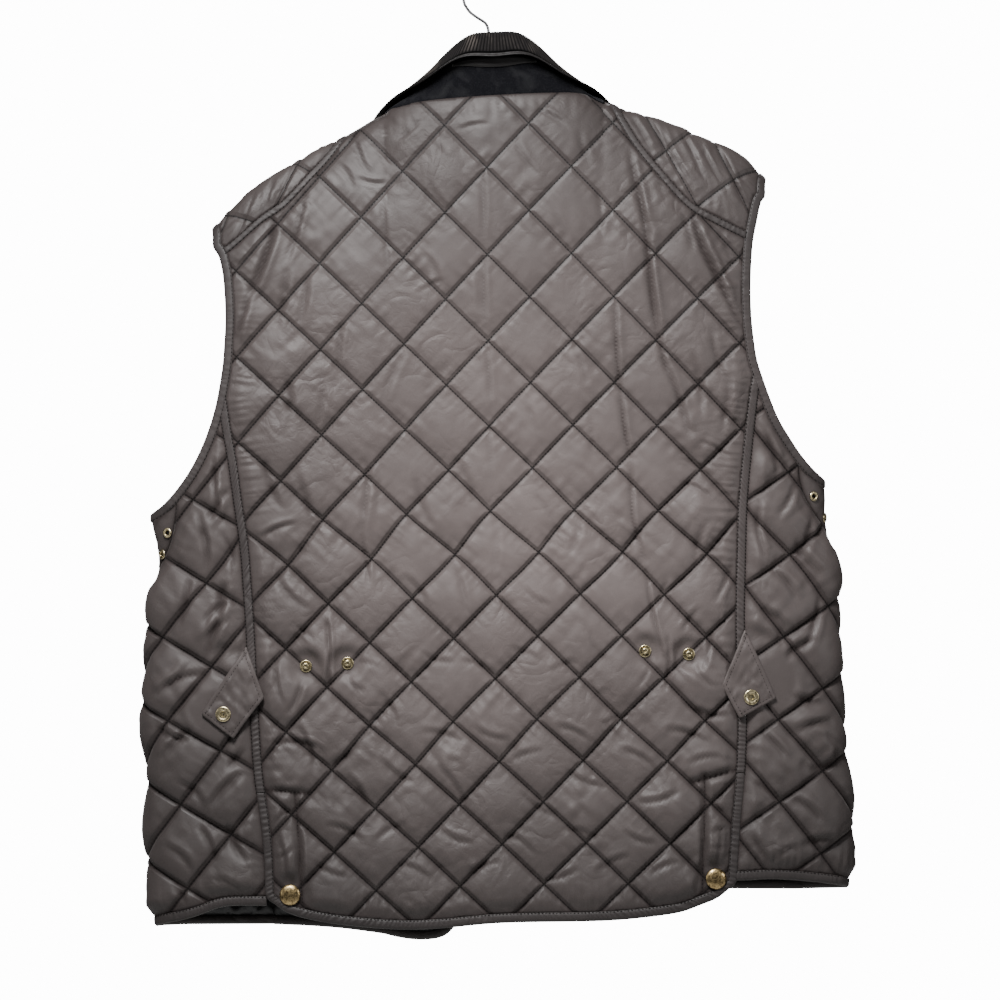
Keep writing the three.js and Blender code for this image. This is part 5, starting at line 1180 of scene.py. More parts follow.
# %% [markdown]
# The back panel is the one that the picture shows. Its stitch lines lean a little and sag towards
# both sides, as the photograph has them, and it's fuller towards the hem, where the cloth isn't
# stretched over the shoulders.

# %% Back panel
VENT_SNAP_RADIUS, STUD_RADIUS, SNAP_RADIUS = 9.8, 5.7, 7.2
CLAMPED = 2.5


def back_fullness(points):
    low = ramp(-points[:, 1], 230, 640)
    sides = ramp(np.abs(points[:, 0]), 90, 210)
    return 0.5 + 0.62 * low + 0.3 * sides


def no_limit(points):
    return 10.0


def line_through(a, b):
    a, b = np.asarray(a, float), np.asarray(b, float)
    along = (b - a) / np.linalg.norm(b - a)

    def off(points):
        t = (points - a) @ along
        beyond = np.maximum(np.maximum(-t, t - np.linalg.norm(b - a)), 0)
        return np.hypot(cross(along, points - a), beyond * 1.5)

    return off


def base_panel(name, outline, centre, grid, **more):
    return {
        "name": name, "outline": outline, "to_body": chart_to_body, "to_chart": on_back,
        "centre": np.asarray(centre, float).ravel(), "grid": {**PLAIN_QUILT, **grid},
        "seed": 11, "pucker": 1.1, "wrinkle": 0.4, "creases": (), "pins": [], "sewn": [],
        "fullness": back_fullness, "highest": no_limit, **more,
    }


back_outline = enclose(
    raised(BACK_HEM_CURVE, INSET),
    back_seam(right, -PANEL_SIDE),
    right["border"],
    shoulder_to_chart(yoke_seam(right, -PANEL_SIDE), -1),
    ridge_curve(right["ridge_meeting"] + EXTRA, NECK_RIGHT - 1),
    NECK_CURVE,
    ridge_curve(NECK_LEFT + 8, left["ridge_meeting"] - EXTRA),
    shoulder_to_chart(yoke_seam(left, -PANEL_SIDE), -1),
    left["border"],
    back_seam(left, PANEL_SIDE),
)


def spot_on(to_chart, spot):
    return to_chart(np.array([float(spot[0])]), np.array([float(spot[1])]))


def pin(spot, radius, to_chart=on_back):
    return spot_on(to_chart, spot)[0], radius + CLAMPED


def vent_lines(side):
    x, drop = np.array(side["vent_rows"], float).reshape(-1, 2).T
    return on_back(x, drop).reshape(2, 2, 2)


BACK_QUILT = {"wide": 77.8, "high": 80.8, "rise": 0.0286, "bow": 0.00016, "crowd": 0.00005}
back = base_panel(
    "back", back_outline, on_back(-0.9, 182.8), BACK_QUILT, creases=BACK_CREASES,
    pins=[pin(spot, STUD_RADIUS) for side in SIDES.values() for spot in side["studs"]]
    + [pin(side["vent_snap"], VENT_SNAP_RADIUS) for side in SIDES.values()],
    sewn=[(line_through(a, b), 6.0) for side in SIDES.values() for a, b in vent_lines(side)],
)
make_panel(back, 22)


# %% [markdown]
# The side panels run from the back seam round under the arm to the front, and a plain gusset
# fills each underarm. The front panels, the yokes over the shoulders and the corduroy facings
# close the garment. They're made in the same way as the back, with coarser points where nobody
# looks closely.

# %% Side panels
TAPE_LOW, TAPE_HIGH = -0.8, CLOTH_WALL + 1.2
TAB_THICKNESS, TAB_RAMP = 2.2, 24


def tab_corners(side):
    x, drop = np.array(side["tab"], float).T
    corners = on_back(x, drop)
    return corners if cross(corners, np.roll(corners, -1, axis=0)).sum() > 0 else corners[::-1]


def tab_low(side, points):
    away = ramp((-points[:, 1] - side["tab"][0][1]) / TAB_RAMP, 0, 1)
    return TAPE_HIGH + SEAM_GAP + (side["tab_rest"] - TAPE_HIGH - SEAM_GAP) * away


def under_tab(side):
    corners = tab_corners(side)
    middle = corners.mean(axis=0)

    def highest(points):
        reach = np.linalg.norm(points - middle, axis=1)
        room = tab_low(side, points) - CLOTH_WALL - 0.7
        return np.where(reach < 62, np.minimum(room + 9 * ramp(reach, 44, 62), 9), 9)

    return highest


def evenly(amount):
    return lambda points: np.full(len(points), float(amount))


for side_name, side in SIDES.items():
    sign = side["sign"]
    outline = enclose(
        raised(side["hem"], INSET), back_seam(side, sign * PANEL_SIDE), side["border"],
        gusset_curve(side, -1, SEAM_GAP), gusset_curve(side, 1, SEAM_GAP), side["border"],
        front_seam(side, 0),
    )
    grid = side["quilt"]
    side["panel"] = base_panel(
        f"side_{side_name}", outline, on_back(grid["x"], grid["drop"]), grid, seed=23 + sign,
        creases=SIDE_CREASES[side_name], pucker=0.9, wrinkle=0.45, fullness=evenly(1.45),
        highest=under_tab(side),
    )
    make_panel(side["panel"], 20, coarse=6)

# %% [markdown]
# A gusset is a small unquilted gore. Its eyelets are real holes: each is a ring in the
# triangulation, and the triangles inside it are left out.

# %% Gussets with holes
EYELET_HOLE = 2.5


def ring_points(middle, radius, count=20):
    angle = np.linspace(0, 2 * np.pi, count, endpoint=False)
    return middle + radius * np.stack([np.cos(angle), np.sin(angle)], axis=1)


def eyelet_place(side, row):
    reach, drop = row
    return np.array([side["sign"] * (float(quarter(float(drop))) - reach), -float(drop)])


for side_name, side in SIDES.items():
    outline = enclose(
        gusset_curve(side, -1, -1.5 * SEAM_GAP), side["border"], gusset_curve(side, 1, -1.5 * SEAM_GAP),
    )
    side["eyelet_places"] = [eyelet_place(side, row) for row in side["eyelets"]]
    side["gusset"] = base_panel(
        f"gusset_{side_name}", outline, outline.mean(axis=0), {}, seed=41 + side["sign"], fullness=evenly(0),
        pucker=0, wrinkle=0.5, pins=[(place, 5.5) for place in side["eyelet_places"]],
    )
    holes = [ring_points(place, EYELET_HOLE) for place in side["eyelet_places"]]
    make_panel(side["gusset"], 26, coarse=16, holes=holes)

# %% [markdown]
# The front is never in the picture. It's quilted level with the back, hangs a little open down
# the middle, and carries its five snaps. The snaps' places are the frame's.

# %% Front panels
FRONT_SNAPS, FRONT_SNAP_TOP, FRONT_SNAP_PITCH, FRONT_SNAP_INSET = 5, 262, 138, 17
FRONT_QUILT_DROP = 182.8


def front_snap_spots(side):
    x = side["front_edge"] + side["sign"] * FRONT_SNAP_INSET
    return [(x, FRONT_SNAP_TOP + k * FRONT_SNAP_PITCH) for k in range(FRONT_SNAPS)]


def mirrored(creases, sign):
    return np.array(creases, float) * (sign, 1, sign, 1, sign, 1, 1)


for side_name, side in SIDES.items():
    sign = side["sign"]
    outline = enclose(
        raised(side["front_hem_curve"], INSET), front_seam(side, 0), side["front_border"],
        yoke_front(side, SEAM_GAP, on_front), side["neck"], front_edge(side, 0),
    )
    side["front"] = base_panel(
        f"front_{side_name}", outline, on_front(float(side["front_edge"]), FRONT_QUILT_DROP), {},
        seed=57 + sign, creases=mirrored(FRONT_CREASES, sign), to_chart=on_front, fullness=evenly(0.9),
        pins=[pin(spot, SNAP_RADIUS, on_front) for spot in front_snap_spots(side)],
    )
    make_panel(side["front"], 13)

# %% [markdown]
# A yoke covers the shoulder from a seam on the back to one on the front. It's charted along the
# ridge, where the body's own chart would stretch it.

# %% Yokes


def yoke_outline(side):
    near = neck_end(side)
    start, sign = side["ridge_meeting"], side["sign"]
    ridge = np.array([[start + sign * 20, SEAM_GAP], [near - sign, SEAM_GAP]], float)
    neck = np.array([[near, -1.0], [near, 60.0]])
    front = yoke_front(side, 0, lambda x, drop: shoulder(x, drop, 1))
    return enclose(yoke_seam(side, PANEL_SIDE), ridge, neck, front, side["shoulder_border"])


def as_given(x, length):
    return np.stack(np.broadcast_arrays(np.asarray(x, float), np.asarray(length, float)), axis=-1)


for side_name, side in SIDES.items():
    sign, grid = side["sign"], side["yoke_quilt"]
    side["yoke"] = base_panel(
        f"yoke_{side_name}", yoke_outline(side), shoulder(grid["x"], grid["drop"], -1), grid,
        seed=71 + sign, to_body=shoulder_to_body, to_chart=as_given,
        creases=mirrored(YOKE_CREASES, sign), pucker=0.8, fullness=evenly(0.5),
    )
    make_panel(side["yoke"], 20, coarse=10)

# %% [markdown]
# Each front edge has a corduroy facing on its inside. Its corner shows below the back's hem. The
# ribs of corduroy are too many for the mesh, so they're bumps in the material, along the chart,
# and the material paints the colour between them darker as shade.

# %% Facings
FACING_START, FACING_LOW, FACING_HIGH = 40, -3.3, -1.1


def make_plain(name, outline, to_body, low, high, spacing, ripple=0.0, seed=5):
    tree = edge_tree(outline)
    corners = outline.min(axis=0), outline.max(axis=0)
    grid = crossed(*(np.arange(a, b, spacing) for a, b in zip(*corners)))
    grid = grid + np.random.default_rng(seed).uniform(-0.05, 0.05, grid.shape) * spacing
    inside = away_from(grid[is_inside(grid, outline)], tree, 0.6 * spacing)
    points, faces = fill(outline, inside)
    wave = ripple * uneven(points, (18, 42), seed) if ripple else 0.0
    outer = to_body(points, high(points) if callable(high) else high + wave)
    inner = to_body(points, low(points) if callable(low) else low + wave)
    shift = len(points)
    skin = [*faces, *(faces[:, ::-1] + shift), *rim_faces([outline], shift)]
    return make_skin(name, np.concatenate([outer, inner]), skin, np.concatenate([points, points]))


for side_name, side in SIDES.items():
    side["facing_outline"] = enclose(
        raised(side["front_hem_curve"], INSET + 1), front_edge(side, FACING_WIDTH),
        yoke_front(side, FACING_START, on_front), raised(side["neck"], -3), front_edge(side, 0),
    )
    make_plain(
        f"facing_{side_name}", side["facing_outline"], chart_to_body, FACING_LOW, FACING_HIGH, 8.0, 0.25,
    )
print("facings:", round(polygon_area(left["facing_outline"]) / 1e6, 4), "m2 each")

# %% [markdown]
# Tapes bind the armholes and hems and cover the long seams. A tape is a thin rounded strip, and
# it's gathered a little by its stitches, so it ripples across. It's built as rings of points
# round its section, one ring every millimetre or so along it.

# %% Making a tape
TAPE_STEP = 1.15
SECTION_SHARE = np.array([0, 0.05, 0.16, 0.32, 0.5, 0.68, 0.84, 0.95, 1, 0.8, 0.5, 0.2])
SECTION_RISE = np.array([0.45, 0.74, 0.93, 1, 1, 1, 0.93, 0.74, 0.45, 0, 0, 0])
STRIPS = {}


def cut_between(curve, before, after, label):
    start, end = crossing(curve, before, label), crossing(curve, after, label)
    return portion(curve, start[0], start[2], end[0], end[2])


def path_length(path):
    return float(np.linalg.norm(np.diff(path, axis=0), axis=1).sum())


def tube_faces(count, sides, closed=False):
    """The faces round a row of rings, with an end cap on each side of an open row."""
    faces = []
    for i in range(count if closed else count - 1):
        a, b = i * sides, (i + 1) % count * sides
        faces += [(a + s, a + (s + 1) % sides, b + (s + 1) % sides, b + s) for s in range(sides)]
    if not closed:
        faces += [tuple(range(sides))[::-1], tuple((count - 1) * sides + s for s in range(sides))]
    return faces


def skin_of_rings(name, rings, uv, closed=False):
    points = rings.reshape(-1, 3)
    make_skin(name, points, outward(points, tube_faces(*rings.shape[:2], closed)), uv)


def make_tape(name, place, length, closed=False, ripple=0.42, pitch=4.8, seed=3):
    count = max(6, round(length / TAPE_STEP))
    share = np.linspace(0, 1, count, endpoint=not closed)
    along = share * length
    line = np.stack([along, np.zeros(count)], axis=1)
    wave = np.sin(2 * np.pi * (along / pitch + 1.6 * uneven(line, (19, 1), seed)))
    wave = wave * (0.45 + 0.55 * np.abs(uneven(line, (33, 1), seed + 1)))
    wave = wave + 0.5 * uneven(line, (14, 1), seed + 2)
    if closed:
        wave = wave * ramp(np.minimum(along, length - along), 0, 8)
    verts = []
    for across, rise in zip(SECTION_SHARE, SECTION_RISE):
        bulge = ripple * wave * rise * math.sin(math.pi * min(max(across, 0.12), 0.88))
        verts.append(place(share, across, TAPE_LOW + (TAPE_HIGH - TAPE_LOW) * rise + bulge))
    around = np.tile(SECTION_SHARE * TAPE_WIDTH, count)
    uv = np.stack([np.repeat(along, len(SECTION_SHARE)), around], axis=1)
    skin_of_rings(name, np.stack(verts, axis=1), uv, closed)


def outward(verts, faces):
    total = 0.0
    for face in faces:
        a = verts[face[0]]
        for b, c in zip(face[1:-1], face[2:]):
            total += float(np.dot(a, np.cross(verts[b], verts[c])))
    return faces if total > 0 else [face[::-1] for face in faces]


def between(first, second, to_body):
    """A place on a chart strip: share along it, share across it, and how far out."""
    at = np.linspace(0, 1, len(first))

    def place(share, across, out):
        a = path_at(share, at, first)
        b = path_at(share, at, second)
        return to_body(a + (b - a) * np.asarray(across)[..., None], np.broadcast_to(out, np.shape(share)))

    return place


def strip_tape(name, first, second, to_body, **more):
    count = max(8, round(path_length(first) / TAPE_STEP))
    first, second = resampled(first, count), resampled(second, count)
    STRIPS[name] = (first, second, to_body)
    make_tape(name, between(first, second, to_body), path_length((first + second) / 2), **more)


# %% [markdown]
# The armhole's binding follows its edge in space. The seam bands run down from it to the vents,
# the yoke bands cross the shoulders, and the hem bindings turn up the sides of the vents.

# %% Bindings and bands


def round_armhole(loop):
    count = len(loop["edge"])
    at = np.linspace(0, 1, count + 1)

    def spread(values, share):
        closed = np.concatenate([values, values[:1]])
        return path_at(share, at, closed)

    def place(share, across, out):
        edge, normal, inward = (spread(loop[key], share) for key in ("edge", "normal", "inward"))
        out = np.broadcast_to(out, np.shape(share))
        return edge + inward * (np.asarray(across) * TAPE_WIDTH)[..., None] + normal * out[..., None]

    return place


def hem_path(side_a, side_b, hem, down_a, down_b):
    """Down one vent's side, along the hem and up the other vent's side."""
    top_a, top_b = level(side_a, side_a["vent_top"]), level(side_b, side_b["vent_top"])
    down = cut_between(down_a, top_a, hem, "vent")
    along = cut_between(hem, down_a, down_b, "hem")
    up = cut_between(down_b, hem, top_b, "vent")
    return [down, along, up]


def band(kind, side_name, curve, shifts, ends, to_body=chart_to_body, **more):
    """A tape between two copies of a curve, cut off where the curves at its ends cross it."""
    edges = (cut_between(curve(shift), *ends, kind) for shift in shifts)
    strip_tape(f"{kind}_{side_name}", *edges, to_body, **more)


for side_name, side in SIDES.items():
    sign, edge = side["sign"], side["loop"]["edge"]
    make_tape(
        f"armhole_binding_{side_name}", round_armhole(side["loop"]),
        path_length(np.concatenate([edge, edge[:1]])), closed=True, ripple=0.2, pitch=6.5, seed=80 + sign,
    )
    ends = side["border"], level(side, side["vent_top"] - SEAM_GAP)
    halves = (-HALF_TAPE, HALF_TAPE)
    band(
        "seam_band", side_name, lambda shift: back_seam(side, shift), halves, ends,
        ripple=0.55, seed=90 + sign,
    )
    start, half = side["ridge_meeting"], HALF_TAPE - 0.5
    ridge = np.array([[start + sign * 36, -1.5], [start - sign * 36, -1.5]], float)
    band(
        "yoke_band", side_name, lambda shift: yoke_seam(side, shift), (half, -half),
        (ridge, side["shoulder_border"]), shoulder_to_body, ripple=0.3, seed=100 + sign,
    )
    ends = back_seam(side, sign * PANEL_SIDE), front_seam(side, 0)
    widths = (0, TAPE_WIDTH)
    band("side_hem_binding", side_name, lambda up: raised(side["hem"], up), widths, ends, seed=110 + sign)
    ends = front_seam(side, 0), front_edge(side, 0)
    hem = side["front_hem_curve"]
    band("front_hem_binding", side_name, lambda up: raised(hem, up), widths, ends, seed=120 + sign)

outer_parts = hem_path(left, right, BACK_HEM_CURVE, back_seam(left, -HALF_TAPE), back_seam(right, HALF_TAPE))
inner_parts = hem_path(
    left, right, raised(BACK_HEM_CURVE, TAPE_WIDTH), back_seam(left, HALF_TAPE), back_seam(right, -HALF_TAPE),
)


def matched(parts, others):
    joined = []
    for part, other in zip(parts, others):
        count = max(8, round((path_length(part) + path_length(other)) / 2 / TAPE_STEP))
        joined.append(resampled(part, count)[(0 if not joined else 1):])
    return np.concatenate(joined)


def rounded(path, reach=9):
    """Soften the corners of a path, and leave its ends where they are."""
    kernel = np.hanning(2 * reach + 3)[1:-1]
    kernel /= kernel.sum()
    padded = np.concatenate([np.repeat(path[:1], reach, 0), path, np.repeat(path[-1:], reach, 0)])
    soft = np.stack([np.convolve(padded[:, k], kernel, mode="valid") for k in (0, 1)], axis=1)
    keep = ramp(np.minimum(np.arange(len(path)), np.arange(len(path))[::-1]), 0, 2 * reach)[:, None]
    return path * (1 - keep) + soft * keep


hem_outer = rounded(matched(outer_parts, inner_parts))
hem_inner = rounded(matched(inner_parts, outer_parts), 3)
STRIPS["back_hem_binding"] = (hem_outer, hem_inner, chart_to_body)
make_tape(
    "back_hem_binding", between(hem_outer, hem_inner, chart_to_body),
    path_length((hem_outer + hem_inner) / 2), ripple=0.5, seed=130,
)
print("tapes:", len([name for name in SKINS if "bind" in name or "band" in name]))

# %% [markdown]
# The tabs at the waist hang from the seam bands. Each is a flat five-cornered flap with a row of
# stitches inside its edge, and it bends where its corner is sewn down.

# %% Waist tabs
SNAP_PRESS = 8.5
TAB_ROUNDING = 2


def stretched(corners, spacing):
    """The outline through some corners, which are rounded a little."""
    path = []
    for a, b in zip(corners, np.roll(corners, -1, axis=0)):
        count = max(2, round(np.linalg.norm(b - a) / spacing))
        path += [a + (b - a) * k / count for k in range(count)]
    path = np.array(path)
    for _ in range(TAB_ROUNDING):
        path = 0.25 * np.roll(path, 1, axis=0) + 0.5 * path + 0.25 * np.roll(path, -1, axis=0)
    return path


for side_name, side in SIDES.items():
    corners = tab_corners(side)
    outline = stretched(corners, 1.5)
    side["tab_outline"], side["tab_tree"] = outline, edge_tree(outline)
    snap = spot_on(on_back, side["tab_snap"])[0]

    def tab_high(points, side=side, snap=snap):
        edge = np.array([side["tab_tree"].find((x, y, 0))[2] for x, y in points])
        groove = 0.45 * np.exp(-((edge - 3.6) / 0.8) ** 2)
        folds = 0.9 * uneven(points, (5, 14), 150, 0.5) + 0.6 * uneven(points, (4, 9), 151, -0.4)
        folds *= ramp(edge, 0, 5) * ramp(np.linalg.norm(points - snap, axis=1), SNAP_PRESS, SNAP_PRESS + 5)
        return tab_low(side, points) + TAB_THICKNESS - groove * 0.8 + folds - 0.5 * np.exp(-edge / 0.7)

    side["tab_high"] = tab_high
    make_plain(
        f"waist_tab_{side_name}", outline, chart_to_body, lambda points, side=side: tab_low(side, points),
        tab_high, 1.5,
    )

# %% [markdown]
# Thread is modelled stitch by stitch. Each stitch is a stretched eight-sided bead laid along its
# row and half sunk in the cloth, and a row of a panel is one mesh. Sunk ends leave the small
# gaps that make a seam look dotted.

# %% Stitches
STITCH_LENGTH, STITCH_WIDTH, STITCH_HEIGHT, STITCH_STEP = 2.5, 0.62, 0.5, 3.3
BEAD = np.array([(1, 0, 0), (-1, 0, 0), (0, 1, 0), (0, -1, 0), (0, 0, 1), (0, 0, -1)], float)
BEAD_FACES = np.array([
    (0, 2, 4), (2, 1, 4), (1, 3, 4), (3, 0, 4), (2, 0, 5), (1, 2, 5), (3, 1, 5), (0, 3, 5),
])
STITCH_INSET = 1.6


def sew(name, places, alongs, normals, length=STITCH_LENGTH, width=STITCH_WIDTH, height=STITCH_HEIGHT):
    alongs, normals = unit(alongs), unit(normals)
    sideways = unit(np.cross(normals, alongs))
    size = np.array([length, width, height]) / 2
    beads = (
        places[:, None] + BEAD[None, :, :1] * size[0] * alongs[:, None]
        + BEAD[None, :, 1:2] * size[1] * sideways[:, None] + BEAD[None, :, 2:] * size[2] * normals[:, None]
    )
    faces = (BEAD_FACES[None] + 6 * np.arange(len(places))[:, None, None]).reshape(-1, 3)
    make_skin(name, beads.reshape(-1, 3), faces)
    print(name, len(places), "stitches")


def row_stitches(points, to_body, out):
    """Places, directions and normals of stitches along a chart path, at a distance out."""
    count = max(2, round(path_length(points) / STITCH_STEP))
    path = resampled(points, count)
    ends = np.concatenate([path[:1], path, path[-1:]])
    along = (ends[2:] - ends[:-2]) / 2
    height = out(path) if callable(out) else np.full(len(path), float(out))
    place = to_body(path, height)
    ahead = to_body(path + 0.3 * unit(along), height)
    return place, ahead - place, to_body(path, height + 1) - place


def stack_rows(parts):
    return [np.concatenate([part[k] for part in parts]) for k in range(3)]


def quilting_rows(panel):
    low, high = lattice_range(panel)
    rows_ = []
    for k in (0, 1):
        other = np.arange(low[1 - k], high[1 - k], STITCH_STEP / STITCH_PITCH)
        for line in np.arange(low[k], high[k] + 1):
            at = np.full(len(other), line)
            pair = np.stack([at, other] if k == 0 else [other, at], axis=1)
            points = quilt_points(panel, pair)
            ahead = quilt_points(panel, pair + np.array([[0, 0.01], [0.01, 0]])[k])
            rows_.append(np.concatenate([points, ahead - points], axis=1))
    every = np.concatenate(rows_)
    every = every[on_panel(every[:, :2], panel)]
    every = every[[panel["tree"].find((x, y, 0))[2] > STITCH_INSET for x, y in every[:, :2]]]
    for middle, radius in panel["pins"]:
        every = every[np.linalg.norm(every[:, :2] - middle, axis=1) > radius + 1]
    return every


def sew_quilting(panel):
    every = quilting_rows(panel)
    points, along = every[:, :2], every[:, 2:]
    height = relief(panel, points)[0] + 0.04
    place = panel["to_body"](points, height)
    ahead_points = points + 0.6 * unit(along)
    ahead = panel["to_body"](ahead_points, relief(panel, ahead_points)[0] + 0.04)
    normal = panel["to_body"](points, height + 1) - place
    sew(f"quilting_{panel['name']}", place, ahead - place, normal)


for panel in [back] + [side[key] for side in SIDES.values() for key in ("panel", "front", "yoke")]:
    sew_quilting(panel)

# %% [markdown]
# The tapes, tabs and vents have rows of their own, and so have the yokes' seams, where two rows
# run side by side.

# %% Rows on tapes, tabs and vents


def tape_rows(name, shares, out=TAPE_HIGH - 0.12):
    first, second, to_body = STRIPS[name]
    return stack_rows([row_stitches(first + (second - first) * share, to_body, out) for share in shares])


def armhole_rows(loop, share):
    count = round(path_length(loop["edge"]) / STITCH_STEP)
    at = np.linspace(0, 1, count, endpoint=False)
    place = round_armhole(loop)(at, share, TAPE_HIGH - 0.1)
    ahead = round_armhole(loop)(at + 0.0004, share, TAPE_HIGH - 0.1)
    return place, ahead - place, round_armhole(loop)(at, share, TAPE_HIGH + 1) - place


for name in STRIPS:
    if name.startswith("seam_band"):
        sew(f"stitches_{name}", *tape_rows(name, (0.1, 0.9)), width=1.0, height=0.9)
    elif name.startswith("yoke_band"):
        sew(f"stitches_{name}", *tape_rows(name, (0.14, 0.86)))
    else:
        sew(f"stitches_{name}", *tape_rows(name, (0.86,)), width=0.8, height=0.7)

for side_name, side in SIDES.items():
    sew(f"stitches_armhole_binding_{side_name}", *armhole_rows(side["loop"], 0.86))
    inset = beside(np.concatenate([side["tab_outline"], side["tab_outline"][:2]]), 3.6)[1:-1]
    sew(
        f"stitches_waist_tab_{side_name}",
        *row_stitches(inset, chart_to_body, lambda points, side=side: side["tab_high"](points) + 0.12),
    )
    parts = []
    for a, b in vent_lines(side):
        path = resampled(np.array([a, b]), 40)
        inside = is_inside(path, back["outline"])
        path = path[inside]
        path = away_from(path, back["tree"], 1.5)
        parts.append(row_stitches(path, chart_to_body, lambda points: relief(back, points)[0] + 0.05))
    sew(f"stitches_vent_{side_name}", *stack_rows(parts), width=1.0)


# %% [markdown]
# The collar is a velvet stand that leans in towards the neck, and a corduroy fall that rolls over
# its top. Each place along it has three points: the neck seam, the fold and the outer edge.

# %% Collar lines
COLLAR = rows(
    "turn fold_x fold_y fold_drop edge_x edge_y edge_drop",
    (0, 0, -29, 62, 0, -39, 75), (0.17, 22, -27, 64, 30, -37, 76), (0.34, 42, -17, 80, 62, -28, 96),
    (0.5, 52, 0, 100, 92, -4, 115), (0.62, 54, 16, 120, 108, 30, 140), (0.8, 44, 34, 154, 92, 58, 190),
    (1, 30, 47, 196, 56, 66, 244),
)
COLLAR_MIDDLE, COLLAR_TILT, COLLAR_WALL, COLLAR_CLEAR = 6, 0.04, 3, 1.4


def over_shoulder(side):
    x = neck_end(side) - side["sign"] * COLLAR_CLEAR
    return on_front(np.full(2, x), ridge_drop(x) + np.array([0.01, YOKE_NECK_DROP / 3]))


def neck_line():
    left_ends = front_edge(left, 0), yoke_front(left, 0, on_front)
    right_ends = yoke_front(right, 0, on_front), front_edge(right, 0)
    left_front = cut_between(left["neck"], *left_ends, "left neck")
    right_front = cut_between(right["neck"], *right_ends, "right neck")
    behind = cut_between(
        NECK_CURVE, ridge_curve(NECK_LEFT + 8, left["ridge_meeting"] - EXTRA),
        ridge_curve(right["ridge_meeting"] + EXTRA, NECK_RIGHT - 1), "back neck",
    )
    bases = np.concatenate([
        beside(left_front, COLLAR_CLEAR), over_shoulder(left)[::-1], beside(behind, COLLAR_CLEAR)[1:-1],
        over_shoulder(right), beside(right_front, COLLAR_CLEAR),
    ])
    return bases, len(left_front) + 1, len(left_front) + len(behind)


def collar_places(spacing):
    bases, at_left, at_right = neck_line()
    feet, outer_feet = chart_to_body(bases, 0), chart_to_body(bases, CLOTH_WALL)
    at = run_along(feet)
    ridge_left, ridge_right = at[at_left], at[at_right]
    middle = (ridge_left + ridge_right) / 2
    fine = np.linspace(0, at[-1], 1600)

    def place_at(length):
        turn = 0.5 * np.abs(length - middle) / (ridge_right - middle)
        turn = np.where(length < ridge_left, 0.5 + 0.5 * (ridge_left - length) / ridge_left, turn)
        beyond = 0.5 + 0.5 * (length - ridge_right) / (at[-1] - ridge_right)
        turn = np.where(length > ridge_right, beyond, turn)
        sign = np.where(length < middle, -1, 1)

        def point(x, y, drop):
            across = sign * read(COLLAR, x, turn, "turn")
            down = read(COLLAR, drop, turn, "turn") - COLLAR_TILT * across
            return np.stack([COLLAR_MIDDLE + across, read(COLLAR, y, turn, "turn"), -down], axis=1)

        return {
            "turn": turn, "base_in": path_at(length, at, feet), "base_out": path_at(length, at, outer_feet),
            "fold": point("fold_x", "fold_y", "fold_drop"), "edge": point("edge_x", "edge_y", "edge_drop"),
        }

    fold = place_at(fine)["fold"]
    run = run_along(fold)
    places = place_at(np.interp(np.linspace(0, run[-1], round(run[-1] / spacing)), run, fine))
    along = np.gradient(places["fold"], axis=0)
    along[:, 2] = 0
    along = unit(along)
    places["outward"] = np.stack([along[:, 1], -along[:, 0], np.zeros(len(along))], axis=1)
    places["run"] = np.linspace(0, run[-1], len(along))
    return places


def sheet_wall(name, over, under, uv=None, painted_shade=None):
    """A closed skin between two grids of rows by columns."""
    count, columns = len(over) + len(under), len(over[0])
    grid = np.concatenate([over, under[::-1]])
    faces = []
    for r in range(count):
        a, b = r * columns, (r + 1) % count * columns
        faces += [(a + c, b + c, b + c + 1, a + c + 1) for c in range(columns - 1)]
    rows_ = np.arange(count) * columns
    faces += [tuple(rows_), tuple((rows_ + columns - 1)[::-1])]
    return make_skin(name, grid.reshape(-1, 3), outward(grid.reshape(-1, 3), faces), uv, painted_shade)


print("collar round its fold:", round(collar_places(3)["run"][-1]), "mm")

# %% [markdown]
# Velvet is short pile, so its surface is soft and a little uneven. The fall's ribs are real: they
# run from the neck to the edge, and each column of points is moved out or in with them.

# %% Stand and fall
WALE = 2.4
WALE_DEPTH = 0.62
STAND_FOOT = 0.07
FALL_OVER = np.array([(-0.6, 0.3), (-0.8, 3.6), (2, 6), (6.4, 5)])
FALL_UNDER = np.array([(2.2, 0.3), (2, 2.2), (3, 3), (4.6, 2)])


def collar_stand():
    places = collar_places(2.4)
    outward_by = places["outward"][None]
    share = np.linspace(-STAND_FOOT, 1, 15)[:, None, None]
    fold_out = places["fold"] + COLLAR_WALL * places["outward"]
    bow = 0.7 * np.sin(np.pi * share)
    chart_like = crossed(places["run"], np.linspace(0, 50, 15))
    soft = 0.5 * uneven(chart_like, (22, 12), 161).reshape(15, -1, 1) * np.sin(np.pi * share)
    over = places["base_out"] * (1 - share) + fold_out * share + (bow + soft) * outward_by
    under = places["base_in"] * (1 - share) + places["fold"] * share + bow * outward_by * 0.6
    return sheet_wall("collar_stand", over, under)


def bent_rows(section, edge, places, count):
    """Rows from the fold's roll down to the edge, through the section's points."""
    start = [places["fold"] + out * places["outward"] + np.array([0, 0, up]) for out, up in section]
    last = start[-1]
    knots = np.array([*start, last + (edge - last) / 3, last + (edge - last) * 2 / 3, edge])
    at = np.array([0, 3.2, 6.8, 11.2, 15, 19.5, 24.0])
    wanted = np.linspace(0, at[-1], count)
    return np.array([sum(w * knots[j] for j, w in weights(at, value)) for value in wanted])


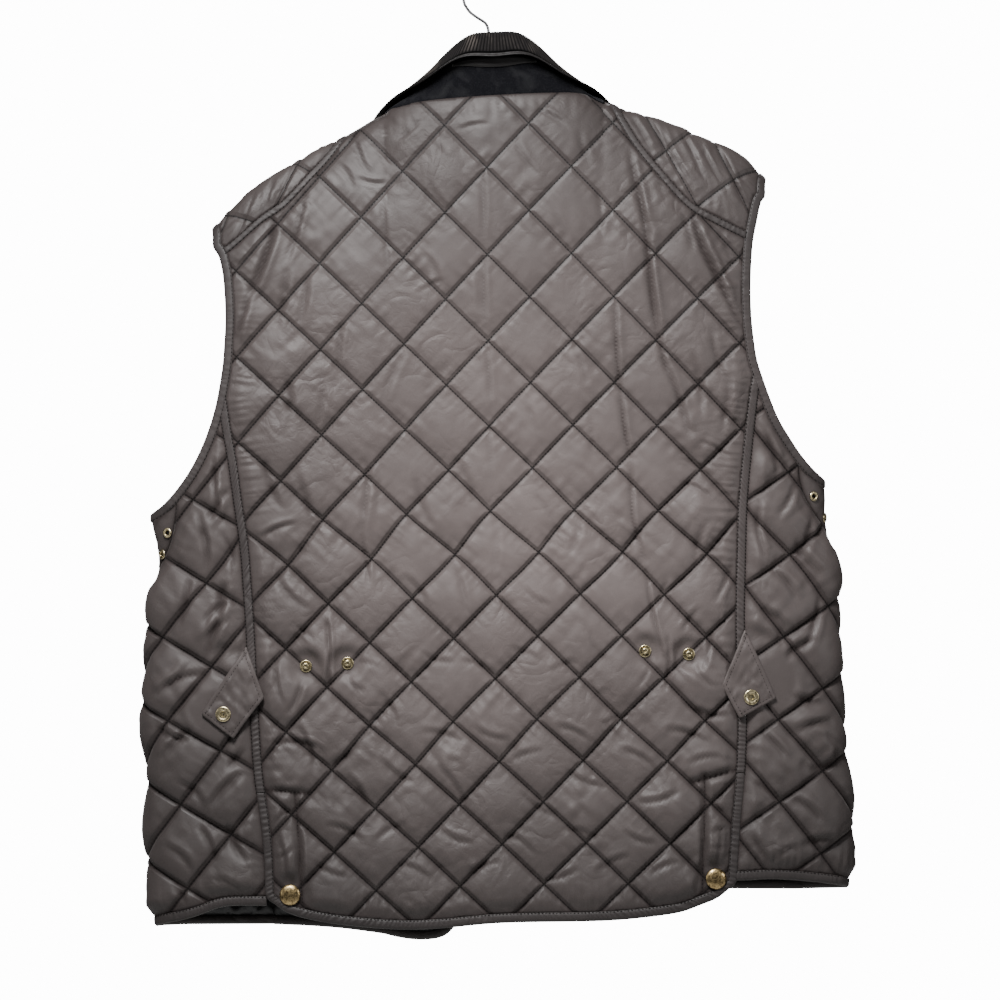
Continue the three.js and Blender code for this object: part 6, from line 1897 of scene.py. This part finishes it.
def weights(at, value):
    j = int(np.clip(np.searchsorted(at, value) - 1, 0, len(at) - 2))
    t = (value - at[j]) / (at[j + 1] - at[j])
    before, after = max(j - 1, 0), min(j + 2, len(at) - 1)
    cubic = (-0.5 * t ** 3 + t * t - 0.5 * t, 1.5 * t ** 3 - 2.5 * t * t + 1,
             -1.5 * t ** 3 + 2 * t * t + 0.5 * t, 0.5 * t ** 3 - 0.5 * t * t)
    return list(zip((before, j, j + 1, after), cubic))


def grid_normals(grid):
    return unit(np.cross(np.gradient(grid, axis=1), np.gradient(grid, axis=0)))


def collar_fall():
    places = collar_places(0.44)
    over = bent_rows(FALL_OVER, places["edge"] + COLLAR_WALL * places["outward"], places, 18)
    under = bent_rows(FALL_UNDER, places["edge"], places, 7)
    normals = grid_normals(over)
    normals *= np.sign((normals[-4] * places["outward"]).sum(axis=1).mean())
    run = places["run"] + 0.5 * uneven(np.stack([places["run"], 0 * places["run"]], axis=1), (60, 1), 171)
    rib = np.abs(np.sin(np.pi * run / WALE)) ** 0.8
    ends = ramp(np.minimum(places["run"], places["run"][-1] - places["run"]), 0, 4)
    down = ramp(np.arange(18), 0, 2) * (1 - ramp(np.arange(18), 15.5, 17))
    lift = (rib * ends)[None, :] * down[:, None]
    worn = uneven(crossed(run, np.arange(18) * 1.4), (7, 5), 173)
    over = over + normals * (WALE_DEPTH * (lift - 0.6) * (1 + 0.15 * worn.reshape(18, -1)))[..., None]
    uv = crossed(places["run"], np.concatenate([np.arange(18) * 1.4, np.arange(7)[::-1] * 3.4]))
    # The rib lift becomes the mask that the corduroy uses to paint shade between the ribs and to place wear
    # on their tops.
    painted_shade = np.concatenate([lift, np.zeros((7, len(run)))]).ravel()
    return sheet_wall("collar_fall", over, under, uv, painted_shade)


collar_stand()
collar_fall()
print("fall:", len(SKINS["collar_fall"].data.polygons), "faces")

# %% [markdown]
# The fall's edge is finished with two satin cords side by side, which catch the light as two thin
# lines. A strip of the vest's own cloth shows on the stand just under it; it takes the dark piping
# finish, as painted shade under the fall.

# %% Piping and crescent


def collar_binding():
    places = collar_places(1.3)
    down, out = unit(places["edge"] - places["fold"]), places["outward"]
    profile = (
        (1.1, -0.1), (1.1, 2.6), (1.5, 3.5), (2.1, 3.8), (2.8, 3.4), (3.1, 2.7), (3.5, 3.2), (4.1, 3.4),
        (4.8, 3.0), (5.1, 2.2), (5.1, -0.1), (3.0, -0.2),
    )
    line = np.stack([places["run"], 0 * places["run"]], axis=1)
    wave = 0.16 * np.sin(2 * np.pi * (places["run"] / 4.2 + uneven(line, (19, 1), 181)))
    rings = np.stack([
        places["edge"] + down * away + out * (rise + wave * (rise > 2.4))[:, None] for away, rise in profile
    ], axis=1)
    around = np.tile(np.arange(len(profile)) * 0.8, len(places["run"]))
    uv = np.stack([np.repeat(places["run"], len(profile)), around], axis=1)
    skin_of_rings("collar_binding", rings, uv)


def collar_crescent():
    places = collar_places(2.0)
    shown = np.abs(places["turn"]) < 0.24
    shown &= places["edge"][:, 1] < 0
    part = {key: values[shown] for key, values in places.items()}
    taper = (part["turn"] / 0.24)[:, None] ** 2
    fold_out = part["fold"] + COLLAR_WALL * part["outward"]

    def row(share, out):
        return part["base_out"] * (1 - share) + fold_out * share + out * part["outward"]

    low, high = 0.48 + 0.14 * taper, np.full_like(taper, 0.66)
    shares = [low + (high - low) * k / 4 for k in range(5)]
    over = np.array([row(share, 1.9) for share in shares])
    under = np.array([row(share, 1.25) for share in shares])
    uv = np.stack([np.tile(part["run"], 10), np.repeat(np.arange(10) * 1.5, shown.sum())], axis=1)
    return sheet_wall("collar_crescent", over, under, uv)


collar_binding()
collar_crescent()
print("collar pieces:", [name for name in SKINS if name.startswith("collar")])

# %% [markdown]
# The metal pieces are all turned shapes: a circle that's raised and narrowed ring by ring, as a
# spun cap is drawn up from a flat disc. Each kind is modelled once at the origin, then copied to
# its place, and every copy gets a mesh of its own, turned to stand square to the cloth.

# %% Turned shapes
METAL_SEAT = CLOTH_WALL + SEAM_GAP
WELD = 0.000005
PAINTED_SHADE_FLOOR = 0.06


def close_mesh(sharpest):
    """Merge doubles, point the faces outwards, and keep only the sharp edges sharp."""
    bpy.ops.mesh.select_all(action="SELECT")
    bpy.ops.mesh.remove_doubles(threshold=WELD)
    bpy.ops.mesh.normals_make_consistent(inside=False)
    bpy.ops.object.mode_set(mode="OBJECT")
    bpy.ops.object.shade_smooth_by_angle(angle=math.radians(sharpest))


def turned_piece(name, profile, sides=36, ring=False):
    bpy.ops.object.select_all(action="DESELECT")
    radius, height = profile[0]
    kind = "NOTHING" if ring else "NGON"
    bpy.ops.mesh.primitive_circle_add(
        vertices=sides, radius=radius * MM, fill_type=kind, location=(0, 0, height * MM),
    )
    piece = bpy.context.object
    piece.name = name
    bpy.ops.object.transform_apply(location=True)
    bpy.ops.object.mode_set(mode="EDIT")
    bpy.ops.mesh.select_all(action="SELECT")
    for (before, low), (after, high) in zip(profile[:-1], profile[1:]):
        bpy.ops.mesh.extrude_region_move(TRANSFORM_OT_translate={"value": (0, 0, (high - low) * MM)})
        scale = after / before
        bpy.ops.transform.resize(value=(scale, scale, 1))
    if not ring:
        bpy.ops.mesh.merge(type="CENTER")
    close_mesh(42)
    # Faces below this height take the second slot, the dark thread finish: painted shade on the floor of each
    # socket.
    for face in piece.data.polygons:
        face.material_index = int(name != "eyelet" and face.center.z < PAINTED_SHADE_FLOOR * MM)
    print(name, len(piece.data.polygons), "faces")
    return piece


DOME = (
    (9.2, 0), (9.75, 0.35), (9.8, 0.8), (9.3, 1.6), (8.2, 2.35), (6.6, 2.95), (4.7, 3.35), (2.6, 3.55),
    (0.4, 3.6),
)
CAP = (
    (6.8, 0), (7.15, 0.3), (7.2, 0.7), (6.8, 1.35), (5.9, 1.95), (4.6, 2.4), (3.0, 2.68), (1.4, 2.78),
    (0.3, 2.8),
)
RING_SNAP = (
    (7.0, 0), (7.2, 0.25), (7.2, 0.8), (6.9, 1.25), (6.2, 1.5), (5.3, 1.45), (4.5, 1.15), (3.9, 0.95),
    (3.4, 0.98), (3.0, 1.15), (2.6, 1.1), (2.35, 0.8), (2.3, 0.04), (0.3, 0.04),
)
STUD = (
    (5.5, 0), (5.7, 0.2), (5.7, 0.6), (5.4, 0.9), (4.9, 0.98), (4.5, 0.85), (4.3, 0.5), (4.2, 0.04),
    (3.1, 0.04), (3.0, 0.6), (2.7, 1.3), (2.5, 2.2), (2.7, 2.8), (2.75, 3.2), (2.4, 3.55), (1.8, 3.6),
    (1.3, 3.45), (1.1, 2.9), (0.2, 2.85),
)
EYELET = (
    (2.1, -2.9), (2.4, -2.9), (2.4, 0.0), (4.5, 0.0), (4.6, 0.2), (4.45, 0.6), (3.9, 0.95), (3.2, 1.05),
    (2.6, 0.85), (2.2, 0.45), (2.1, 0.1), (2.1, -2.9),
)
PATTERNS = {
    "dome": turned_piece("dome", DOME, 48), "cap": turned_piece("cap", CAP),
    "ring_snap": turned_piece("ring_snap", RING_SNAP), "stud": turned_piece("stud", STUD),
    "wide_stud": turned_piece("wide_stud", [(r * SNAP_RADIUS / STUD_RADIUS, h) for r, h in STUD]),
    "eyelet": turned_piece("eyelet", EYELET, ring=True),
}

# %% [markdown]
# Each copy stands where its solid does. The matrix turns the pattern's Z axis to the cloth's own
# outward direction at that spot, and is applied to the mesh, so that the object stays unturned.

# %% Snaps, studs and eyelets in place
METALS = {}


def seat(name, kind, point, out):
    foot, above = chart_to_body(point, out)[0], chart_to_body(point, out + 1)[0]
    turn = Vector((0, 0, 1)).rotation_difference(Vector(above - foot))
    spin = Matrix.Rotation(0.7 * len(METALS), 4, "Z")
    piece = bpy.data.objects.new(own_name(name), PATTERNS[kind].data.copy())
    piece.data.transform(Matrix.Translation(Vector(foot) * MM) @ turn.to_matrix().to_4x4() @ spin)
    bpy.context.collection.objects.link(piece)
    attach(piece, "root")
    METALS[name] = piece


for side_name, side in SIDES.items():
    for i, place in enumerate(side["eyelet_places"]):
        seat(f"eyelet_{side_name}_{i + 1}", "eyelet", place[None], METAL_SEAT + SEAM_GAP)
    for i, spot in enumerate(side["studs"]):
        seat(f"waist_stud_{side_name}_{i + 1}", "stud", spot_on(on_back, spot), METAL_SEAT)
    tab_spot = spot_on(on_back, side["tab_snap"])
    tab_top = float(tab_low(side, tab_spot)[0]) + TAB_THICKNESS + SEAM_GAP
    seat(f"tab_snap_{side_name}", "ring_snap", tab_spot, tab_top)
    seat(f"vent_snap_{side_name}", "dome", spot_on(on_back, side["vent_snap"]), TAPE_HIGH + SEAM_GAP)
    kind = "cap" if side["sign"] < 0 else "wide_stud"
    for i, spot in enumerate(front_snap_spots(side)):
        seat(f"front_snap_{side_name}_{i + 1}", kind, spot_on(on_front, spot), METAL_SEAT)
for pattern in PATTERNS.values():
    bpy.data.objects.remove(pattern)
print("metal pieces:", len(METALS))

# %% [markdown]
# A wire hook and a slim bar are easiest as curves with a round bevel: the curve's points are the
# route, and the bevel gives the thickness. They're turned into meshes when they're right.

# %% Hanger
HANGER_RADIUS, WIRE_RADIUS, HOOK_RADIUS, HOOK_NECK = 3.5, 1.4, 22, 0.5
HOOK_STEM = ((-16.5, 37), (-9, 42.5), (-2, 47.5), (0.5, 55), (0.5, 94.8))
HANGER_RISE = ((-62, 120), (-22, 101), (20, 100), (66, 114))
HANGER_ENDS = (-232, 232)
HANGER_BELOW = 8.0
HOOK_START, HOOK_STEP = 16, 4.6


def swept(name, points, radius):
    bpy.ops.object.select_all(action="DESELECT")
    bpy.ops.curve.primitive_nurbs_path_add()
    route = bpy.context.object
    route.name = own_name(name)
    curve = route.data
    curve.splines.clear()
    spline = curve.splines.new("POLY")
    spline.points.add(len(points) - 1)
    spline.points.foreach_set("co", np.concatenate([points * MM, np.ones((len(points), 1))], axis=1).ravel())
    curve.bevel_depth = radius * MM
    curve.bevel_resolution = 4
    curve.use_fill_caps = True
    bpy.ops.object.convert(target="MESH")
    piece = bpy.context.object
    bpy.ops.object.mode_set(mode="EDIT")
    close_mesh(50)
    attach(piece, "root")
    SKINS[name] = piece
    print(name, len(piece.data.polygons), "faces")


def in_plane(pairs):
    x, drop = np.array(pairs, float).T
    return np.stack([x, 0 * x, -drop], axis=1)


inside_ridge = [(x, d + HANGER_BELOW) for x, d in zip(RIDGE["x"], RIDGE["drop"]) if abs(x) < HANGER_ENDS[1]]
bar_ends = [(x, float(ridge_drop(x)) + HANGER_BELOW) for x in HANGER_ENDS]
bar = in_plane(sorted([*inside_ridge, *bar_ends, *HANGER_RISE]))
swept("hanger_bar", smooth(bar, 4.0), HANGER_RADIUS)

hook_turn = np.radians(np.arange(HOOK_START, 201, HOOK_STEP))
reach = HOOK_RADIUS + WIRE_RADIUS
hook_x, hook_drop = HOOK_NECK + reach * np.cos(hook_turn), HOOK_RADIUS - reach * np.sin(hook_turn)
round_part = in_plane(np.stack([hook_x, hook_drop], axis=1))
swept("hanger_hook", smooth(np.concatenate([round_part, in_plane(HOOK_STEM)]), 1.6), WIRE_RADIUS)


# %% [markdown]
# Every finish is a small node graph. The helper makes a material with its shader, and the others
# add what finishes share: soft blotches of colour, and bumps. Constants sit on the shader's own
# sockets, so that an exporter finds them there.

# %% Material helpers
FINISHES = {}


def new_finish(name, colour, roughness, **constants):
    finish = bpy.data.materials.new(name)
    finish.use_nodes = True
    nodes = finish.node_tree.nodes
    shader = nodes["Principled BSDF"]
    shader.inputs["Base Color"].default_value = (*colour, 1)
    shader.inputs["Roughness"].default_value = roughness
    for socket, value in constants.items():
        shader.inputs[socket.replace("_", " ")].default_value = value
    finish.diffuse_color = (*colour, 1)
    FINISHES[name] = finish
    return finish.node_tree, shader


def node(tree, kind, **settings):
    made = tree.nodes.new(kind)
    for key, value in settings.items():
        if key in made.inputs:
            made.inputs[key].default_value = value
        else:
            setattr(made, key, value)
    return made


def object_space(tree):
    return node(tree, "ShaderNodeTexCoord").outputs["Object"]


def cloth_space(tree):
    return node(tree, "ShaderNodeUVMap", uv_map="cloth").outputs["UV"]


def painted_shade_of(tree):
    return node(tree, "ShaderNodeAttribute", attribute_name="painted_shade").outputs["Fac"]


def coloured(tree, shader, shade):
    tree.links.new(shade, shader.inputs["Base Color"])


def blotches(tree, coordinates, scale, detail=3.0, distortion=0.0):
    noise = node(tree, "ShaderNodeTexNoise", Scale=scale, Detail=detail, Distortion=distortion)
    tree.links.new(coordinates, noise.inputs["Vector"])
    return noise.outputs["Fac"]


def mapped(tree, value, low, high, to_low, to_high):
    made = node(tree, "ShaderNodeMapRange")
    tree.links.new(value, made.inputs["Value"])
    for socket, number in zip(("From Min", "From Max", "To Min", "To Max"), (low, high, to_low, to_high)):
        made.inputs[socket].default_value = number
    return made.outputs["Result"]


def mixed(tree, factor, first, second, blend="MIX"):
    made = node(tree, "ShaderNodeMix", data_type="RGBA", blend_type=blend)
    if hasattr(factor, "node"):
        tree.links.new(factor, made.inputs["Factor"])
    else:
        made.inputs["Factor"].default_value = factor
    for socket, value in ((made.inputs[6], first), (made.inputs[7], second)):
        if hasattr(value, "node"):
            tree.links.new(value, socket)
        else:
            socket.default_value = (*value, 1)
    return made.outputs[2]


def combined(tree, kind, first, second):
    made = node(tree, "ShaderNodeMath", operation=kind)
    for socket, value in zip(made.inputs, (first, second)):
        if hasattr(value, "node"):
            tree.links.new(value, socket)
        else:
            socket.default_value = value
    return made.outputs[0]


def bumped(tree, shader, layers):
    """Stack bumps: each layer is a height, its depth in metres and its strength."""
    normal = None
    for height, distance, strength in layers:
        bump = node(tree, "ShaderNodeBump", Strength=strength, Distance=distance)
        tree.links.new(height, bump.inputs["Height"])
        if normal is not None:
            tree.links.new(normal, bump.inputs["Normal"])
        normal = bump.outputs["Normal"]
    tree.links.new(normal, shader.inputs["Normal"])


def threads(tree, coordinates, pitch, direction):
    wave = node(tree, "ShaderNodeTexWave", wave_type="BANDS", bands_direction=direction)
    wave.inputs["Scale"].default_value = 1 / pitch / math.pi
    wave.inputs["Distortion"].default_value = 0.3
    tree.links.new(coordinates, wave.inputs["Vector"])
    return wave.outputs["Fac"]


# %% [markdown]
# The shell is satin-faced nylon, a warm charcoal. Its colour is painted darker as shade in the
# stitched valleys, along the seams and in the creases, and it's painted as a pool of light,
# brightest in the middle of the back and darker away from it. Its weave is finer than a pixel, so
# it mostly widens the highlight, and shallow crinkles break that up. The weave follows the cloth's
# own map.

# %% Nylon
NYLON_COLOUR = (0.108, 0.087, 0.083)
NYLON_DARK = (0.080, 0.064, 0.061)
# Painted shade: the near-black colour that the valleys, seams and creases are darkened towards.
VALLEY_SHADE_COLOUR = (0.009, 0.007, 0.007)
# Painted light: a pool of light round a point in the middle of the back; beyond its reach the colour is
# painted down to about a third.
LIGHT_POOL_AT, LIGHT_POOL_REACH, OUTSIDE_POOL_SHADE = (0.04, 0, -0.52), (0.06, 0.39), 0.34
# The thread's dark colour, also used as painted shade in the narrow valley beside the thread.
THREAD_AND_SHADE_COLOUR = (0.007, 0.006, 0.006)
STITCH_DASHES = 17


def crumpled(tree, coordinates, scale, width):
    """Sharp creases: a noise folded where it passes its middle."""
    noise = blotches(tree, coordinates, scale, 2, 0.5)
    off = combined(tree, "ABSOLUTE", combined(tree, "SUBTRACT", noise, 0.5), 0)
    return mapped(tree, off, 0, width, 0, 1)


def stitch_lines_and_shade(tree, shade, stitch):
    """Dark thread along the stitch lines, drawn from the lattice map, and painted shade beside it: wider than
    the thread, dark between the dashes and wider on one family of lines. Also the sharp valley's height.
    """
    lattice = node(tree, "ShaderNodeUVMap", uv_map="quilting").outputs["UV"]
    parts = node(tree, "ShaderNodeSeparateXYZ")
    tree.links.new(lattice, parts.inputs[0])
    valleys = []
    for along, across, reach in ((1, 0, 0.0007), (0, 1, 0.0010)):
        off = combined(tree, "PINGPONG", parts.outputs[across], 0.5)
        off = combined(tree, "MULTIPLY", off, STITCH_PITCH * MM)
        line = mapped(tree, off, reach * 0.5, reach * 1.3, 0.9, 0)
        dash = combined(tree, "MULTIPLY", parts.outputs[along], STITCH_DASHES)
        dash = combined(tree, "PINGPONG", dash, 0.5)
        line = combined(tree, "MULTIPLY", line, mapped(tree, dash, 0.06, 0.2, 0.45, 1))
        shade = mixed(tree, line, shade, stitch)
        valleys.append(mapped(tree, off, 0, 0.0034, 0, 1))
    return shade, combined(tree, "MINIMUM", *valleys)


def woven_finish(name, colour, dark, valley_shade, roughness, weave=0.0007, quilted=False):
    tree, shader = new_finish(name, colour, roughness, Sheen_Weight=0.05, Specular_IOR_Level=0.4)
    shader.inputs["Sheen Tint"].default_value = (0.9, 0.82, 0.8, 1)
    space, cloth, painted_shade = object_space(tree), cloth_space(tree), painted_shade_of(tree)
    patch = mapped(tree, blotches(tree, space, 7, 4), 0.35, 0.68, 0, 1)
    fine = mapped(tree, blotches(tree, space, 60, 3), 0.4, 0.7, 0, 0.35)
    shade = mixed(tree, combined(tree, "MULTIPLY", patch, 0.8), colour, dark)
    shade = mixed(tree, fine, shade, dark)
    # Painted light: the colour is brightest near one point of the back and painted darker away from it.
    away = node(tree, "ShaderNodeVectorMath", operation="DISTANCE")
    away.inputs[1].default_value = LIGHT_POOL_AT
    tree.links.new(space, away.inputs[0])
    kept = mapped(tree, away.outputs["Value"], *LIGHT_POOL_REACH, 1, OUTSIDE_POOL_SHADE)
    shade = mixed(tree, 1.0, shade, kept, "MULTIPLY")
    # Painted shade: darker towards the valley shade colour where the mask marks valleys, seams and creases.
    shade = mixed(tree, combined(tree, "MULTIPLY", painted_shade, 0.6 if quilted else 0.85), shade, valley_shade)
    bumps = []
    if quilted:
        shade, valley_height = stitch_lines_and_shade(tree, shade, THREAD_AND_SHADE_COLOUR)
        bumps = [(valley_height, 0.0014, 0.8)]
    coloured(tree, shader, shade)
    # The highlight is turned down in the same painted-shade places, so that they stay dark.
    tree.links.new(mapped(tree, painted_shade, 0.1, 0.75, 0.33, 0.03), shader.inputs["Specular IOR Level"])
    rough = mapped(tree, blotches(tree, space, 22, 3), 0.3, 0.75, roughness - 0.05, roughness + 0.09)
    tree.links.new(rough, shader.inputs["Roughness"])
    across, down = threads(tree, cloth, weave, "X"), threads(tree, cloth, weave, "Y")
    weaving = combined(tree, "MAXIMUM", across, down)
    where = mapped(tree, blotches(tree, space, 9, 2), 0.4, 0.62, 0.15, 1)
    large = combined(tree, "MULTIPLY", crumpled(tree, space, 26, 0.10), where)
    small = combined(tree, "MULTIPLY", crumpled(tree, space, 110, 0.14), where)
    rumple = blotches(tree, space, 42, 3, 0.9)
    bumped(tree, shader, [
        (weaving, 0.00004, 0.4), (small, 0.0003, 0.35), (large, 0.0010, 0.45), (rumple, 0.0012, 0.2), *bumps,
    ])


woven_finish("nylon", NYLON_COLOUR, NYLON_DARK, VALLEY_SHADE_COLOUR, 0.56, quilted=True)
woven_finish("plain_nylon", NYLON_COLOUR, NYLON_DARK, VALLEY_SHADE_COLOUR, 0.56)
woven_finish("tape", (0.070, 0.056, 0.054), (0.040, 0.032, 0.031), VALLEY_SHADE_COLOUR, 0.6, 0.0009)
woven_finish("piping", (0.024, 0.020, 0.020), (0.011, 0.009, 0.009), VALLEY_SHADE_COLOUR, 0.5, 0.0009)
woven_finish("lining", (0.016, 0.016, 0.018), (0.007, 0.007, 0.008), (0.004, 0.004, 0.004), 0.3, 0.0005)
tree, shader = new_finish("thread", (0.006, 0.005, 0.005), 0.7, Specular_IOR_Level=0.12)
fuzz = blotches(tree, object_space(tree), 900, 2)
bumped(tree, shader, [(fuzz, 0.0002, 0.4)])
print("finishes:", ", ".join(FINISHES))

# %% [markdown]
# Velvet and corduroy are both cut pile. Velvet drinks light and gives a soft rim of sheen, with
# paler brushed patches. Corduroy has worn tops on its ribs, browner than the pile between them,
# and the pile between the ribs is painted darker as shade.

# %% Velvet and corduroy
PILE = {"Sheen_Roughness": 0.5, "Specular_IOR_Level": 0.05}
tree, shader = new_finish("velvet", (0.006, 0.006, 0.007), 0.95, Sheen_Weight=0.05, **PILE)
shader.inputs["Sheen Tint"].default_value = (0.55, 0.56, 0.6, 1)
space = object_space(tree)
brushed = mapped(tree, blotches(tree, space, 55, 5, 0.8), 0.48, 0.72, 0, 1)
pile = blotches(tree, space, 900, 3)
speckled = mapped(tree, pile, 0.5, 0.8, 0, 0.5)
shade = mixed(tree, brushed, (0.003, 0.003, 0.004), (0.010, 0.010, 0.011))
coloured(tree, shader, mixed(tree, speckled, shade, (0.014, 0.014, 0.016)))
bumped(tree, shader, [(pile, 0.0005, 0.5), (blotches(tree, space, 90, 3, 0.5), 0.002, 0.3)])

tree, shader = new_finish("corduroy", (0.010, 0.0095, 0.010), 0.9, Sheen_Weight=0.03, **PILE)
shader.inputs["Sheen Tint"].default_value = (0.6, 0.56, 0.52, 1)
space = object_space(tree)
top = painted_shade_of(tree)
# Wear: rubbed patches, kept to the rib tops.
rubbed = mapped(tree, blotches(tree, space, 34, 4, 0.7), 0.47, 0.66, 0, 1)
rubbed = combined(tree, "MULTIPLY", rubbed, mapped(tree, top, 0.55, 1.0, 0, 1))
# Painted shade: the pile is nearly black between the ribs and lighter on their tops.
shade = mixed(tree, mapped(tree, top, 0.2, 0.9, 0, 1), (0.001, 0.001, 0.001), (0.010, 0.009, 0.009))
shade = mixed(tree, rubbed, shade, (0.050, 0.043, 0.038))
coloured(tree, shader, shade)
bumped(tree, shader, [(blotches(tree, space, 1100, 3), 0.0004, 0.6)])

tree, shader = new_finish("facing", (0.012, 0.011, 0.012), 0.88, Sheen_Weight=0.15, Sheen_Roughness=0.5)
cloth = cloth_space(tree)
space = object_space(tree)
ribs = threads(tree, cloth, WALE * MM * 2, "X")
# Painted shade: the colour is darker between the ribs and lighter on their tops.
shade = mixed(tree, mapped(tree, ribs, 0.2, 0.9, 0, 1), (0.004, 0.004, 0.004), (0.022, 0.02, 0.02))
coloured(tree, shader, shade)
bumped(tree, shader, [(blotches(tree, space, 1100, 3), 0.0004, 0.5), (ribs, 0.0009, 1.0)])
print("finishes:", ", ".join(FINISHES))

# %% [markdown]
# Antique brass is bright where fingers rub it and brown in its hollows. The waist's studs and the
# tabs' snaps are paler than the domes at the vents. The hook is plain steel wire, and the bar is
# dark moulded plastic with a fine grain.

# %% Metal and plastic


def brass_finish(name, bright, brown, roughness, share):
    tree, shader = new_finish(name, bright, roughness, Metallic=1.0)
    space = object_space(tree)
    tarnish = mapped(tree, blotches(tree, space, 420, 5, 0.8), share, share + 0.22, 0, 1)
    coloured(tree, shader, mixed(tree, tarnish, bright, brown))
    rough = mapped(tree, blotches(tree, space, 700, 4), 0.3, 0.7, roughness - 0.06, roughness + 0.14)
    tree.links.new(rough, shader.inputs["Roughness"])
    bumped(tree, shader, [(blotches(tree, space, 1600, 2), 0.00006, 0.4)])


brass_finish("dome_brass", (0.40, 0.30, 0.15), (0.08, 0.052, 0.024), 0.32, 0.44)
brass_finish("pale_brass", (0.52, 0.45, 0.28), (0.12, 0.09, 0.05), 0.3, 0.5)
tree, shader = new_finish("wire", (0.36, 0.36, 0.37), 0.28, Metallic=1.0)
space = object_space(tree)
worn = mapped(tree, blotches(tree, space, 120, 4), 0.4, 0.7, 0, 1)
coloured(tree, shader, mixed(tree, worn, (0.40, 0.40, 0.41), (0.22, 0.22, 0.23)))
bumped(tree, shader, [(blotches(tree, space, 600, 3), 0.0001, 0.3)])
tree, shader = new_finish("hanger", (0.022, 0.021, 0.021), 0.48)
space = object_space(tree)
grain = blotches(tree, space, 60, 4)
coloured(tree, shader, mixed(tree, grain, (0.026, 0.025, 0.024), (0.016, 0.015, 0.015)))
bumped(tree, shader, [(blotches(tree, space, 900, 3), 0.0001, 0.35)])
tree, shader = new_finish("floor", (0.8, 0.8, 0.79), 0.85)
patchy = blotches(tree, object_space(tree), 3, 3)
coloured(tree, shader, mixed(tree, patchy, (0.80, 0.80, 0.79), (0.77, 0.77, 0.76)))
floor.data.materials.append(FINISHES["floor"])

# %% [markdown]
# Each piece takes its finish and stands for its solid in the frame. A panel has two finishes,
# nylon outside and the dark lining inside.

# %% Dress every piece
FINISH_OF = {
    "collar_stand": ("velvet", "velvet"), "collar_fall": ("corduroy", "corduroy"),
    "facing": ("facing", "corduroy"), "collar_binding": ("piping", "tape"),
    # The crescent is the vest's own cloth; the dark piping finish on it is painted shade under the fall.
    "collar_crescent": ("piping", "nylon"), "hanger_bar": ("hanger", "hanger"),
    "hanger_hook": ("wire", "wire"), "waist_tab": ("plain_nylon", "nylon"),
    "stitches": ("thread", "tape"), "quilting": ("thread", "nylon"), "gusset": ("plain_nylon", "nylon"),
}
NODE_OF = {"back": "back_panel"}
for name, thing in SKINS.items():
    known = next((FINISH_OF[key] for key in FINISH_OF if name.startswith(key)), None)
    if known is None:
        known = ("tape", "tape") if "binding" in name or "band" in name else ("nylon", "nylon")
    thing.data.materials.append(FINISHES[known[0]])
    if known[0].endswith("nylon"):
        thing.data.materials.append(FINISHES["lining"])
    node_name = NODE_OF.get(name, name)
    if node_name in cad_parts:
        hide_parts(node_name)
for name, thing in METALS.items():
    thing.data.materials.clear()
    thing.data.materials.append(FINISHES["dome_brass" if name.startswith("vent") else "pale_brass"])
    # The second slot, the dark thread finish, paints shade on the floors of the studs' and snaps' sockets.
    thing.data.materials.append(FINISHES["thread"])
    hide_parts(name)
print("pieces:", len(SKINS) + len(METALS))

# %% [markdown]
# The size of each cloth piece's cut before sewing is printed with its area. The tapes and
# stitches go with the panel that they're sewn to. A tape's own cut is wider than it shows, because
# its edges are folded under; what's stated is what shows.


def skin_area(thing):
    return sum(face.area for face in thing.data.polygons) / 2


def declare(name, outline, goes_with=()):
    extra = [SKINS[key] for key in goes_with]
    size = np.ptp(outline, axis=0) * MM
    area = polygon_area(outline) * MM * MM + sum(skin_area(thing) for thing in extra)
    area = float(np.clip(area, 0.31 * size[0] * size[1], size[0] * size[1]))
    print(name, "cut", np.round(size * 1000), "mm,", round(area, 4), "m2")


def sewn_to(*names):
    """The named pieces and the stitches that lie on them."""
    every = []
    for name in names:
        every += [key for key in (name, f"stitches_{name}") if key in SKINS]
    return every


declare(
    "back", back["outline"],
    [*sewn_to("back_hem_binding"), "quilting_back", "stitches_vent_left", "stitches_vent_right"],
)
SEWN_ON = {
    "side": ("side_hem_binding", "seam_band"), "front": ("front_hem_binding", "armhole_binding"),
    "yoke": ("yoke_band",),
}
for side_name, side in SIDES.items():
    cuts = {
        "side": side["panel"]["outline"], "gusset": side["gusset"]["outline"],
        "front": side["front"]["outline"], "yoke": side["yoke"]["outline"],
        "facing": side["facing_outline"], "waist_tab": side["tab_outline"],
    }
    for part, outline in cuts.items():
        piece = f"{part}_{side_name}"
        tapes = sewn_to(*(f"{tape}_{side_name}" for tape in SEWN_ON.get(part, ())))
        rows_ = [key for key in (f"quilting_{piece}", f"stitches_{piece}") if key in SKINS]
        declare(piece, outline, [*tapes, *rows_])

collar = collar_places(3)
fold_run = path_length(collar["fold"])
edge_run = path_length(collar["edge"])

# %% [markdown]
# The last cell prints both boxes, the frame's and the dressed vest's, and finishes.

# %% Print both boxes and finish
VISUAL_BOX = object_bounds()


def plain(box):
    return [[float(v) for v in corner] for corner in box]


{"cad": plain(CAD_BOX), "visual": plain(VISUAL_BOX)}
print("frame:", plain(CAD_BOX))
print("vest:", plain(VISUAL_BOX))
